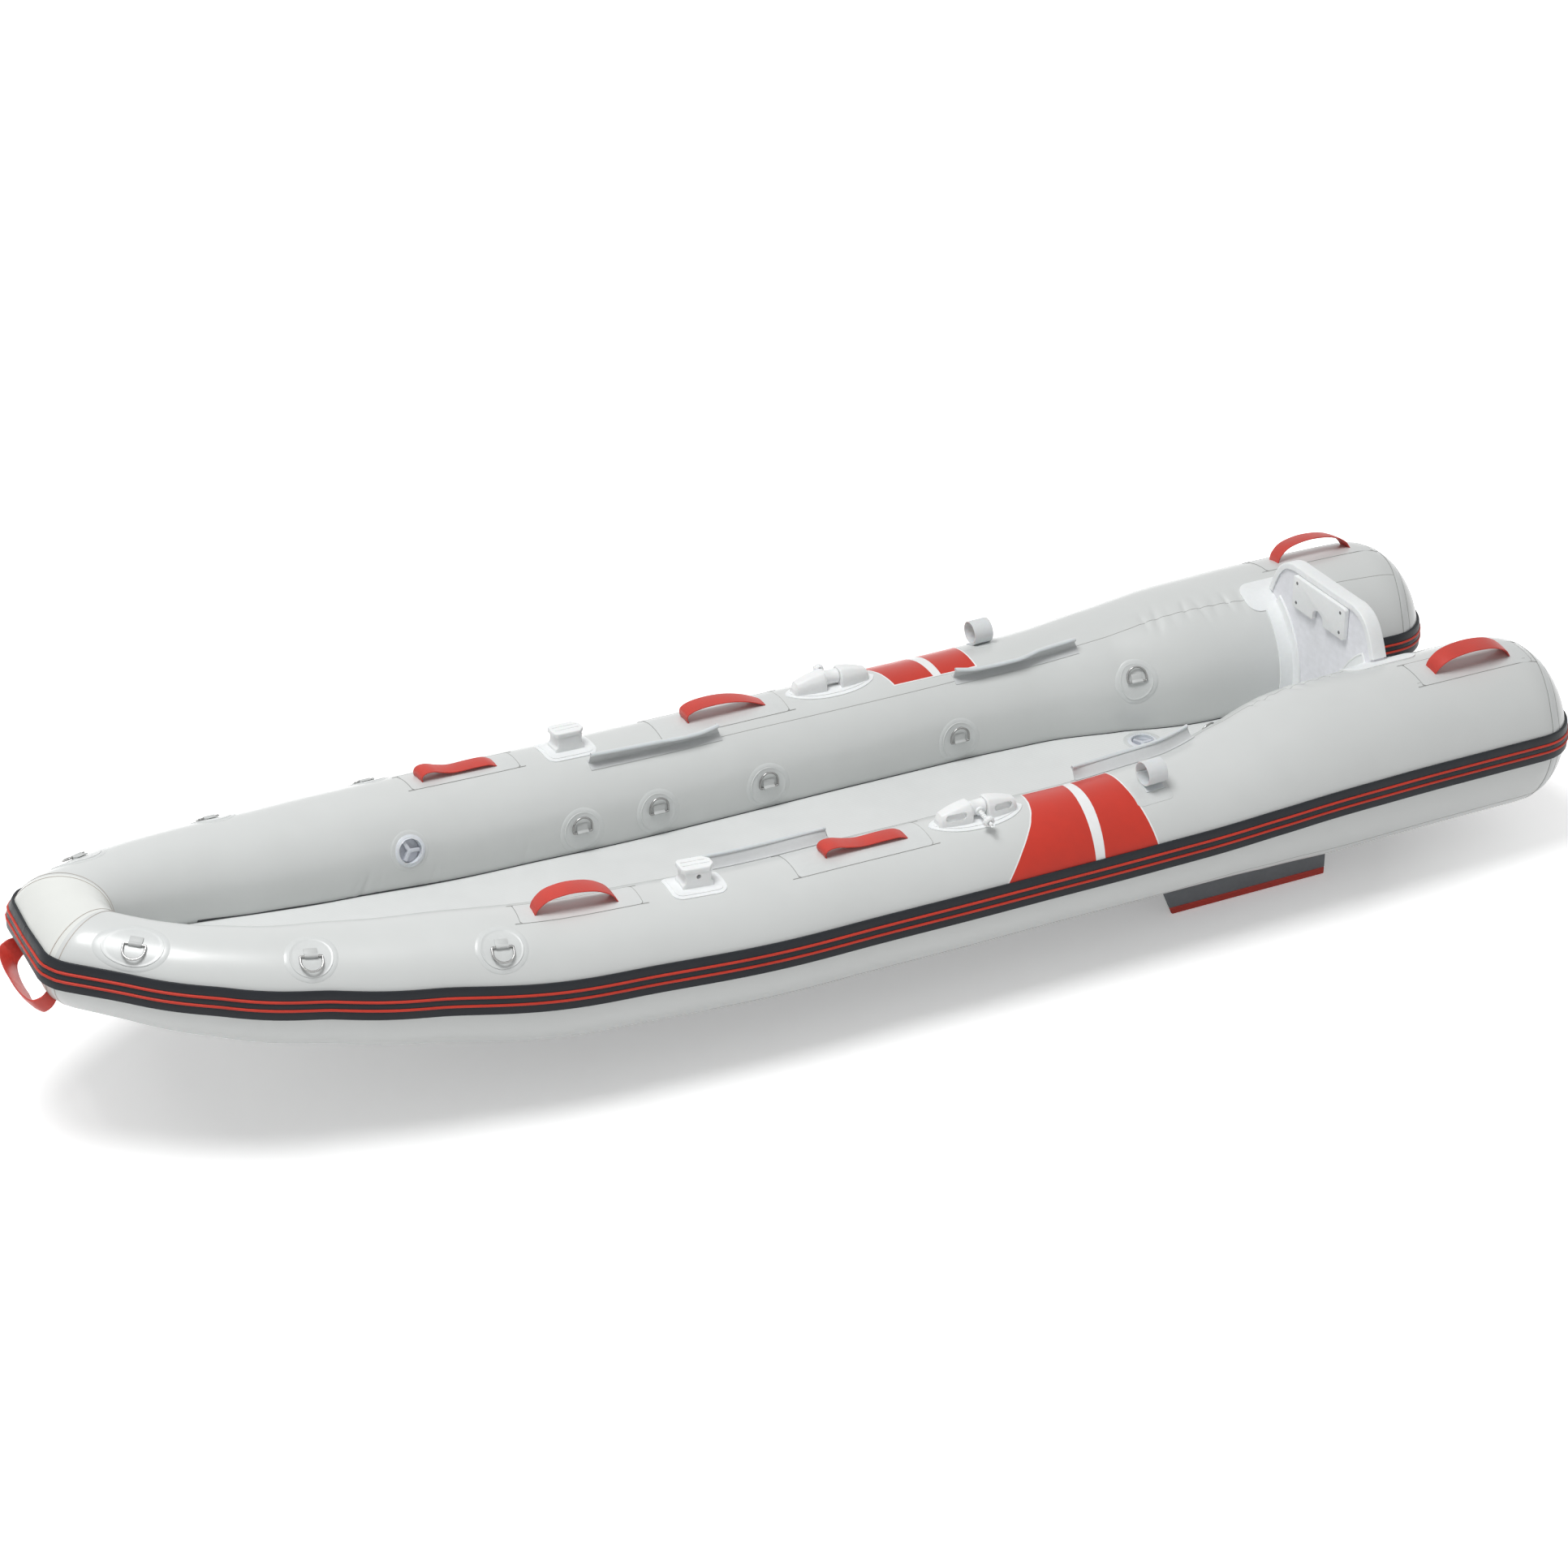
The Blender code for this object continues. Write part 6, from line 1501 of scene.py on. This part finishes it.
def build_blocks(side, word):
    frame_of = seat_frame(BLOCK_STATION, 0)
    rim = laid_plate(rounded(0.122, 0.092, 0.022), 0.0018, BLOCK_STATION)
    step = laid_plate(rounded(0.106, 0.076, 0.015), 0.0030, BLOCK_STATION)
    outline = [(0.034, -0.010), (0.034, 0.008), (0.028, 0.013), (0.028, 0.031), (0.031, 0.036)]
    outline += [(-x, z) for x, z in reversed(outline)]
    neck = moved(prism(outline, 0.044), stand_up(0.044))
    softened(neck, 0.0025, 3, 25)
    hole = Matrix(((1, 0, 0, 0), (0, 0, 1, 0.022), (0, -1, 0, 0.025), (0, 0, 0, 1)))
    inlaid(neck, arc((0, 0), 0.005, 0, 330, 11), hole, 0.043, 0.9)
    half, wide = 0.036, 0.024
    plan = [(half, 0.010), (half - 0.013, wide), (-half + 0.007, wide), (-half, wide - 0.007)]
    plan += [(-half, -wide + 0.007), (-half + 0.007, -wide), (half - 0.013, -wide), (half, -0.010)]
    head = moved(prism(plan, 0.011), Matrix.Translation((0, 0, 0.035)))
    softened(head, 0.0022, 3, 25)
    for y in (-0.007, 0.007):
        place = Matrix.Translation((0, y, 0.046))
        inlaid(head, rounded(0.058, 0.0036, 0.0017, 3), place, 0.0014, 0.9)
    body = moved(joined([neck, head]), frame_of)
    add(f"block_{word}", joined([body, rim, step]), MOULDED_PLASTIC, nodes=(f"accessory_block_{word}",), side=side)


def leaf(length, width, blunt=0.30, steps=26):
    """A long oval whose ends are blunt points."""
    right = []
    for k in range(steps + 1):
        share = math.cos(math.pi * k / steps)
        right.append((length / 2 * share, width / 2 * max(1 - abs(share) ** 2.3, 0.0) ** 0.62))
    tip = width / 2 * blunt * 0.28
    right[0], right[-1] = (length / 2, tip), (-length / 2, tip)
    return right + [(x, -y) for x, y in reversed(right)]


def hump(way):
    """One raised end of the oarlock's base: tall beside the barrel, sloping down to its tip."""
    rings = []
    for share in np.linspace(0, 1, 26):
        x = way * (0.018 + 0.074 * share)
        narrow = 1 - 0.40 * share**2.2
        tall = 0.042 * (1 - 0.42 * share**1.6)
        end = min(1.0, 0.55 + 6.0 * (1 - share)) * min(1.0, 0.93 + 3.0 * share)
        half, tall = 0.025 * narrow * (0.5 + 0.5 * end), tall * end
        outline = [(half, -0.010), (half, tall * 0.56), (half * 0.66, tall * 0.93), (half * 0.45, tall)]
        outline = outline + [(-y, z) for y, z in reversed(outline)]
        for _ in range(2):
            cut = [outline[0]]
            for start, after in zip(outline, outline[1:]):
                cut.append((start[0] * 0.75 + after[0] * 0.25, start[1] * 0.75 + after[1] * 0.25))
                cut.append((start[0] * 0.25 + after[0] * 0.75, start[1] * 0.25 + after[1] * 0.75))
            outline = cut + [outline[-1]]
        rings.append([(x, y, z) for y, z in outline])
    made = loft(rings)
    face = Matrix.Translation((way * 0.018, 0, BARREL_LEVEL)) @ Matrix.Rotation(math.radians(-90 * way), 4, "Y")
    inlaid(made, arc((0, 0), 0.0066, 0, 337.5, 15), face, 0.0078, 0.9)
    lean = Matrix.Translation((way * 0.055, 0.022, 0.022)) @ Matrix.Rotation(math.radians(-62), 4, "X")
    inlaid(made, rounded(0.046, 0.014, 0.0066, 5), lean, 0.008)
    return made


BARREL_LEVEL = 0.022


def oarlock_base():
    frame_of = seat_frame(OARLOCK_STATION, 0)
    plate = laid_plate(leaf(0.218, 0.086), 0.0018, OARLOCK_STATION)
    step = laid_plate(leaf(0.196, 0.068), 0.0032, OARLOCK_STATION)
    humps = moved(joined([hump(1), hump(-1)]), frame_of)
    return joined([plate, step, humps])


def build_oarlocks(side, word):
    add(f"oarlock_mount_{word}", oarlock_base(), MOULDED_PLASTIC, nodes=(f"oarlock_base_{word}",), side=side, sharp=32)
    axis = seat_frame(OARLOCK_STATION, 0) @ Matrix.Translation((0, 0, BARREL_LEVEL))
    swivel, nut_body = f"oarlock_swivel_{word}", f"oarlock_lock_nut_{word}"
    half, end = 0.0174, 0.0244
    profile = [(0, -end), (0.0055, -end), (0.006, -end + 0.0005), (0.006, -half)]
    profile += [(0.0148, -half), (0.0165, -half + 0.0017)]
    profile += [(0.0165, -half + 0.005), (0.0160, -half + 0.0058), (0.0160, half - 0.0058), (0.0165, half - 0.005)]
    profile += [(0.0165, half - 0.0017), (0.0148, half), (0.006, half), (0.006, end - 0.0005), (0.0055, end), (0, end)]
    barrel = moved(turned(profile, 56), axis @ Matrix.Rotation(math.pi / 2, 4, "Y"))
    along = axis @ Matrix.Rotation(math.radians(-97), 4, "X")
    collar = [(0, 0.008), (0.0095, 0.008), (0.0095, 0.0178), (0.0085, 0.0190), (0.0052, 0.0196), (0, 0.0196)]
    barrel = joined([barrel, moved(turned(collar, 40), along)])
    add(f"barrel_{word}", barrel, MOULDED_PLASTIC, swivel, (f"oarlock_barrel_{word}",), side)
    spine = [(0, 0.010), (0.0040, 0.010), (0.0040, 0.0215)]
    for k in range(4):
        low = 0.0215 + 0.0068 * k
        spine += [(0.0040, low), (0.0054, low + 0.0008), (0.0054, low + 0.0034), (0.0040, low + 0.0042)]
    spine += [(0.0040, 0.0480), (0.0040, 0.0680), (0.0036, 0.0705), (0, 0.0708)]
    shaft = turned(spine, 36)
    eye = arc((0, 0.0735), 0.0036, 0, 360, 28)[:-1]
    eye = sweep([(x, 0, z) for x, z in eye], 0.0013, 12, (0, 1, 0))
    shaft = moved(joined([shaft, eye]), along)
    add(f"stud_{word}", shaft, MOULDED_PLASTIC, swivel, (f"oarlock_stud_{word}",), side)
    start = 0.0485
    shape = [(0.0056, start), (0.0078, start), (0.0112, start + 0.0028)]
    shape += [(0.0125, start + 0.0058), (0.0125, start + 0.0092)]
    shape += [(0.0108, start + 0.0122), (0.0078, start + 0.014), (0.0056, start + 0.014), (0.0056, start)]
    rings = []
    for radius, height in shape:
        lobe = 0.055 if radius > 0.008 else 0.0
        turns = np.linspace(0, math.tau, 120, endpoint=False)
        reach = radius * (1 - lobe * (0.5 - 0.5 * np.cos(12 * turns)) ** 3)
        rings.append(np.stack([reach * np.cos(turns), reach * np.sin(turns), np.full(120, height)], 1))
    nut = moved(loft(rings, looped=True), along)
    add(f"lock_nut_{word}", nut, MOULDED_PLASTIC, nut_body, (f"oarlock_nut_{word}",), side)


def build_clips(side, word):
    frame_of = seat_frame(CLIP_STATION, CLIP_ANGLE)
    pitch, centre = CLIP_THICKNESS + CLIP_LAYER_GAP, CLIP_RADIUS + CLIP_THICKNESS + STRAP_SEAT
    whole, half, edge = 360 + CLIP_OVERLAP, CLIP_LENGTH / 2, 0.0008
    around_strap = [(-half + edge, 1.0), (half - edge, 1.0), (half, 0.7), (half, 0.3), (half - edge, 0.0)]
    around_strap += [(-half + edge, 0.0), (-half, 0.3), (-half, 0.7)]
    rings = []
    for turn in np.linspace(math.degrees(CLIP_FOOT / local_radius(CLIP_STATION)), 2.0, 7):
        ring = []
        for x, share in around_strap:
            ring.append(skin(CLIP_STATION + x, CLIP_ANGLE + turn, STRAP_SEAT + CLIP_THICKNESS * (1 - share)))
        rings.append(ring)
    for done in np.linspace(0.02, 1, 100):
        turn = math.radians(-90 - whole * done)
        lapped = min(max((whole * done - CLIP_LAP_START) / (360 - CLIP_LAP_START), 0), 1)
        radius = CLIP_RADIUS - pitch * lapped
        ring = []
        for x, share in around_strap:
            reach = radius + CLIP_THICKNESS * share
            ring.append(frame_of @ Vector((x, reach * math.cos(turn), centre + reach * math.sin(turn))))
        rings.append(ring)
    made = loft(rings)
    foot = laid_plate(rounded(0.088, 0.078, 0.010), 0.0006, CLIP_STATION - 0.012, CLIP_ANGLE + 6.0)
    add(f"clip_foot_{word}", foot, PATCH_FABRIC, side=side)
    add(f"clip_loop_{word}", made, CLIP_STRAP, nodes=(f"oar_clip_{word}",), side=side)


def build_rails(side, word):
    for name, start, end, lean_table in RAILS:
        stations = np.linspace(start, end, RAIL_RINGS)
        lean = smooth_line(*lean_table)((stations - start) / (end - start))
        radius = section(stations)[3]
        web, top = RAIL_WEB / 2, RAIL_RISE - RAIL_BEAD_RADIUS + 0.001
        outline = [(-0.0200, 0.0), (0.0080, 0.0), (0.0080, 0.0007), (0.0055, 0.0012)]
        outline += [(web + 0.0012, 0.0018), (web, 0.0040)]
        outline += [(web, top * 0.5), (web, top), (-web, top), (-web, top * 0.5), (-web, 0.0040)]
        outline += [(-web - 0.0012, 0.0018), (-0.0055, 0.0012), (-0.0200, 0.0008)]

        def point(k, across, height):
            share = min(height / RAIL_RISE, 1.0)
            turn = RAIL_ANGLE + math.degrees((across + lean[k] * share**1.5) / radius[k])
            slant = RAIL_END_SLANT * share if k == RAIL_RINGS - 1 else 0.0
            return skin(stations[k] - slant, turn, STRAP_SEAT + height)

        strip = loft([[point(k, across, height) for across, height in outline] for k in range(RAIL_RINGS)])
        add(f"rail_strip_{name}_{word}", strip, RAIL_STRIP, nodes=(f"rail_{name}_{word}",), side=side)
        turns = np.linspace(0, math.tau, 20, endpoint=False)

        def bead_ring(k, size):
            return [point(k, size * math.cos(turn), RAIL_RISE + size * math.sin(turn)) for turn in turns]

        rings = [bead_ring(k, RAIL_BEAD_RADIUS) for k in range(RAIL_RINGS)]
        rings += [bead_ring(k, RAIL_BORE_RADIUS) for k in reversed(range(RAIL_RINGS))]
        bead = loft([*rings, rings[0]], looped=True)
        add(f"rail_bead_{name}_{word}", bead, CLIP_STRAP, side=side)
        # Painted shade: a near-black core just inside the bead's bore, darkening the hollow where it shows at the
        # bead's ends.
        core = loft([bead_ring(k, RAIL_BORE_RADIUS * 0.97) for k in range(1, RAIL_RINGS - 1)])
        add(f"rail_bore_{name}_{word}", core, PAINTED_SHADE_FINISH, side=side)


def valve_cup(on_tube):
    rim, cup, dish = VALVE_RADIUS, VALVE_CUP_RADIUS, VALVE_DISH_RADIUS
    profile = [(0, -VALVE_DEPTH), (cup, -VALVE_DEPTH), (cup, 0.0002)]
    profile += [(rim - 0.0004, 0.0002), (rim, 0.0007), (rim - 0.0006, 0.0014)]
    profile += [(rim - 0.0035, 0.0020), (rim - 0.0040, 0.0028), (dish + 0.0010, 0.0032), (dish, 0.0026)]
    floor = VALVE_FLOOR - VALVE_DEPTH
    profile += [(dish, -0.006), (dish - 0.0006, -0.0064), (dish - 0.0006, floor), (0.012, floor)]
    profile += [(0, floor)]
    made = turned(profile, 64)
    for vert in made.verts:
        if on_tube and vert.co.xy.length > dish + 0.0004 and vert.co.z > 0:
            vert.co.z -= vert.co.y**2 / (2 * TUBE_RADIUS)
    return made


def valve_top():
    """A dished disc with three arms that meet in the middle."""
    low = VALVE_FLOOR - VALVE_DEPTH + 0.0003
    reach = VALVE_CAP_RADIUS
    profile = [(0, low), (reach - 0.0006, low), (reach, low + 0.0006), (reach, low + 0.0034)]
    profile += [(reach - 0.0006, low + 0.0040), (reach - 0.0022, low + 0.0040), (reach - 0.0030, low + 0.0034)]
    profile += [(0.012, low + 0.0036), (0, low + 0.0040)]
    plate = turned(profile, 64)
    half, out = 0.004, 0.0235
    crotch = half / math.sin(math.pi / 3)
    arms = []
    for k in range(3):
        turn = math.tau * k / 3
        for across, along in ((half, out), (-half, out)):
            x = along * math.cos(turn) + across * math.sin(turn)
            arms.append((x, along * math.sin(turn) - across * math.cos(turn)))
        between = turn + math.pi / 3
        arms.append((crotch * math.cos(between), crotch * math.sin(between)))
    star = softened(prism(arms, 0.013, low + 0.002), 0.0014, 3, 40)
    return joined([plate, star])


def washer(inner, outer, top, low=-0.0005):
    """A thin round collar with a hole through it."""
    steps = np.linspace(inner, outer, 4)
    profile = [(radius, low) for radius in steps] + [(outer, top - 0.0003), (outer - 0.0005, top)]
    profile += [(radius, top) for radius in steps[-2::-1]] + [(inner, low)]
    return turned(profile, 64)


def build_valves():
    wall = wall_valve_seat()
    hole = VALVE_CUP_RADIUS + 0.0003
    for side, word in SIDES:
        halo = wrapped(washer(hole, 0.044, 0.0005), *WALL_VALVE)
        add(f"valve_patch_{word}", halo, PATCH_FABRIC, side=side)
        cup = moved(valve_cup(True), wall)
        add(f"valve_cup_{word}", cup, VALVE_PLASTIC, nodes=(f"valve_body_{word}",), side=side)
        top = moved(valve_top(), wall)
        add(f"valve_top_{word}", top, VALVE_CAP_PLASTIC, f"valve_cap_{word}_body", (f"valve_cap_{word}",), side)
    place = deck_valve_seat()
    ring = moved(washer(hole, 0.044, 0.0007, -0.001), place)
    add("valve_patch_deck", ring, PATCH_FABRIC)
    add("valve_cup_deck", moved(valve_cup(False), place), VALVE_PLASTIC, nodes=("valve_body_deck",))
    add("valve_top_deck", moved(valve_top(), place), VALVE_CAP_PLASTIC, "valve_cap_deck_body", ("valve_cap_deck",))


def both_sides(*builders):
    for side, word in SIDES:
        for builder in builders:
            builder(side, word)


class BOAT_OT_tubes(bpy.types.Operator):
    """Lofts the two side tubes and the bow tube, with their gathers and slow waves"""

    bl_idname = "boat.tubes"
    bl_label = "Air Tubes"

    def execute(self, context):
        both_sides(build_side_tube)
        build_bow_tube()
        return {"FINISHED"}


class BOAT_OT_tapes(bpy.types.Operator):
    """Lays the seam tapes along and round the tubes"""

    bl_idname = "boat.tapes"
    bl_label = "Seam Tapes"

    def execute(self, context):
        both_sides(build_tapes)
        return {"FINISHED"}


class BOAT_OT_bands(bpy.types.Operator):
    """Lays the coloured panels and their pale borders on the tubes"""

    bl_idname = "boat.bands"
    bl_label = "Coloured Panels"

    def execute(self, context):
        both_sides(build_bands)
        return {"FINISHED"}


class BOAT_OT_strakes(bpy.types.Operator):
    """Moulds the rubbing strakes and their two ribs"""

    bl_idname = "boat.strakes"
    bl_label = "Rubbing Strakes"

    def execute(self, context):
        both_sides(build_strake)
        return {"FINISHED"}


class BOAT_OT_deck(bpy.types.Operator):
    """Lays the air deck between the tubes, and finishes the bottom skin"""

    bl_idname = "boat.deck"
    bl_label = "Air Deck"

    def execute(self, context):
        build_deck()
        bottom = frame["nodes"]["hull_skin"]
        for slot in bottom.material_slots:
            slot.material = SKIN_FABRIC[0]()
        return {"FINISHED"}


class BOAT_OT_transom(bpy.types.Operator):
    """Finishes the board, and builds its edge moulding, its holders and its clamp pads"""

    bl_idname = "boat.transom"
    bl_label = "Transom"

    def execute(self, context):
        for slot in frame["nodes"]["transom_board"].material_slots:
            slot.material = BOARD_PAINT[0]()
        build_transom()
        both_sides(build_holders)
        return {"FINISHED"}


class BOAT_OT_fins(bpy.types.Operator):
    """Builds the fins under the tubes, with their coloured lower edges"""

    bl_idname = "boat.fins"
    bl_label = "Fins"

    def execute(self, context):
        both_sides(build_fins)
        return {"FINISHED"}


class BOAT_OT_straps(bpy.types.Operator):
    """Bends the strap handles and the tow strap, and lays their patches"""

    bl_idname = "boat.straps"
    bl_label = "Strap Handles"

    def execute(self, context):
        both_sides(build_handles)
        build_tow_handle()
        return {"FINISHED"}


class BOAT_OT_rings(bpy.types.Operator):
    """Lays the round patches, and hangs a wire ring in each patch's tab"""

    bl_idname = "boat.rings"
    bl_label = "Wire Rings"

    def execute(self, context):
        both_sides(build_rings)
        return {"FINISHED"}


class BOAT_OT_fittings(bpy.types.Operator):
    """Moulds the accessory blocks, the oarlocks, the oar clips and the rails"""

    bl_idname = "boat.fittings"
    bl_label = "Fittings"

    def execute(self, context):
        both_sides(build_blocks, build_oarlocks, build_clips, build_rails)
        return {"FINISHED"}


class BOAT_OT_valves(bpy.types.Operator):
    """Moulds the three valves and their caps"""

    bl_idname = "boat.valves"
    bl_label = "Valves"

    def execute(self, context):
        build_valves()
        return {"FINISHED"}


def floor_finish(colour):
    """A matt floor that shows the camera only its shadows, over white."""
    made, tree, shader, result = shaded("studio_floor", colour, 0.9, 1.5, 0.004, 0.02)
    tree.links.new(result["colour"], shader.inputs["Base Color"])
    tree.links.new(result["rough"], shader.inputs["Roughness"])
    shader.inputs["Specular IOR Level"].default_value = 0.0
    shader.inputs["Emission Color"].default_value = (1, 1, 1, 1)
    far = node(tree, "ShaderNodeVectorMath", {0: result["where"], 1: (0.36, 0.62, 0.0)}, operation="MULTIPLY")
    length = node(tree, "ShaderNodeVectorMath", {0: far.outputs[0]}, operation="LENGTH").outputs["Value"]
    glow = sums(tree, "MULTIPLY_ADD", sums(tree, "MULTIPLY_ADD", length, 1.8, -0.9, clamp=True), 0.75, 0.30)
    tree.links.new(sums(tree, "MULTIPLY", glow, seen(tree)), shader.inputs["Emission Strength"])
    return made


def seen(tree):
    """1 for rays from the camera, or mirrored or let through by a piece, and 0 for light's own."""
    path = node(tree, "ShaderNodeLightPath")
    either = sums(tree, "MAXIMUM", path.outputs["Is Camera Ray"], path.outputs["Is Glossy Ray"])
    return sums(tree, "MAXIMUM", either, path.outputs["Is Transmission Ray"])


def build_floor(stage):
    made = bmesh.new()
    bmesh.ops.create_circle(made, cap_ends=True, segments=96, radius=30)
    mesh = bpy.data.meshes.new("studio_floor")
    made.to_mesh(mesh)
    made.free()
    floor = bpy.data.objects.new("studio_floor", mesh)
    bpy.context.scene.collection.objects.link(floor)
    mesh.materials.append(floor_finish(stage.floor_colour))


def build_world(stage):
    """A pale sky for light, and plain white where the camera or a reflection looks past the floor."""
    world = bpy.data.worlds.new("studio")
    bpy.context.scene.world = world
    world.use_nodes = True
    tree = world.node_tree
    tree.nodes.clear()
    where = node(tree, "ShaderNodeTexCoord").outputs["Generated"]
    height = node(tree, "ShaderNodeSeparateXYZ", {0: where}).outputs[2]
    lifted = sums(tree, "MULTIPLY_ADD", height, 0.5, 0.5, clamp=True)
    shade = tinted(tree, lifted, (0.80, 0.80, 0.80), (1.0, 1.0, 1.0))
    sky = node(tree, "ShaderNodeBackground", {"Color": shade, "Strength": stage.sky_light})
    white = node(tree, "ShaderNodeBackground", {"Color": (1, 1, 1, 1), "Strength": 1.0})
    mixed = node(tree, "ShaderNodeMixShader", {0: seen(tree), 1: sky.outputs[0], 2: white.outputs[0]})
    end = node(tree, "ShaderNodeOutputWorld")
    tree.links.new(mixed.outputs[0], end.inputs["Surface"])


def build_lamp(name, place, target, size, power):
    light = bpy.data.lights.new(name, "AREA")
    light.shape = "DISK"
    light.size = size
    light.energy = power
    lamp = bpy.data.objects.new(name, light)
    lamp.location = place
    lamp.rotation_mode = "QUATERNION"
    lamp.rotation_quaternion = (Vector(target) - Vector(place)).to_track_quat("-Z", "Y")
    bpy.context.scene.collection.objects.link(lamp)


def build_camera(stage):
    data = bpy.data.cameras.new("studio_camera")
    data.sensor_width = 36.0
    data.lens = stage.lens
    data.clip_end = 100.0
    camera = bpy.data.objects.new("studio_camera", data)
    turn, tilt, roll = (math.radians(value) for value in (stage.azimuth, stage.elevation, stage.roll))
    ahead = Vector((math.sin(turn) * math.cos(tilt), math.cos(turn) * math.cos(tilt), -math.sin(tilt)))
    right = Vector((math.cos(turn), -math.sin(turn), 0))
    up = right.cross(ahead)
    across = math.cos(roll) * right + math.sin(roll) * up
    upward = math.cos(roll) * up - math.sin(roll) * right
    target = Vector((stage.target_station - ROW_SHIFT, 0, stage.target_height))
    placed_at = Matrix((across, upward, -ahead)).transposed().to_4x4()
    placed_at.translation = target - ahead * stage.distance
    camera.matrix_world = placed_at
    bpy.context.scene.collection.objects.link(camera)
    bpy.context.scene.camera = camera


class BOAT_OT_stage(bpy.types.Operator):
    """Sets the floor, the soft light and the camera"""

    bl_idname = "boat.stage"
    bl_label = "Studio"

    def execute(self, context):
        stage = context.scene.boat_stage
        build_floor(stage)
        build_world(stage)
        build_lamp("key_lamp", (-2.2, -0.8, 7.6), (0, 0, 0.2), 3.6, stage.key_light)
        build_camera(stage)
        context.scene.view_settings.view_transform = "Standard"
        return {"FINISHED"}


OPERATORS = (
    BOAT_OT_tubes,
    BOAT_OT_tapes,
    BOAT_OT_bands,
    BOAT_OT_strakes,
    BOAT_OT_deck,
    BOAT_OT_transom,
    BOAT_OT_fins,
    BOAT_OT_straps,
    BOAT_OT_rings,
    BOAT_OT_fittings,
    BOAT_OT_valves,
    BOAT_OT_stage,
)
SETTINGS = (
    ("boat_hull", BoatHullSettings),
    ("boat_trim", BoatTrimSettings),
    ("boat_fittings", BoatFittingSettings),
    ("boat_stage", BoatStageSettings),
)


class BOAT_PT_sidebar(bpy.types.Panel):
    """Lists the boat's operators in the order they run"""

    bl_idname = "BOAT_PT_sidebar"
    bl_label = "Inflatable Boat"
    bl_space_type = "VIEW_3D"
    bl_region_type = "UI"
    bl_category = "Boat"

    def draw(self, context):
        for operator in OPERATORS:
            self.layout.operator(operator.bl_idname)
        for name, settings in SETTINGS:
            column = self.layout.column(align=True)
            for prop in settings.__annotations__:
                column.prop(getattr(context.scene, name), prop)


def register():
    for name, settings in SETTINGS:
        bpy.utils.register_class(settings)
        setattr(bpy.types.Scene, name, PointerProperty(type=settings))
    for made in (*OPERATORS, BOAT_PT_sidebar):
        bpy.utils.register_class(made)


def unregister():
    for made in reversed((*OPERATORS, BOAT_PT_sidebar)):
        bpy.utils.unregister_class(made)
    for name, settings in reversed(SETTINGS):
        delattr(bpy.types.Scene, name)
        bpy.utils.unregister_class(settings)


def main():
    register()
    for operator in OPERATORS:
        group_name, call = operator.bl_idname.split(".")
        getattr(getattr(bpy.ops, group_name), call)()


if __name__ == "__main__":
    main()
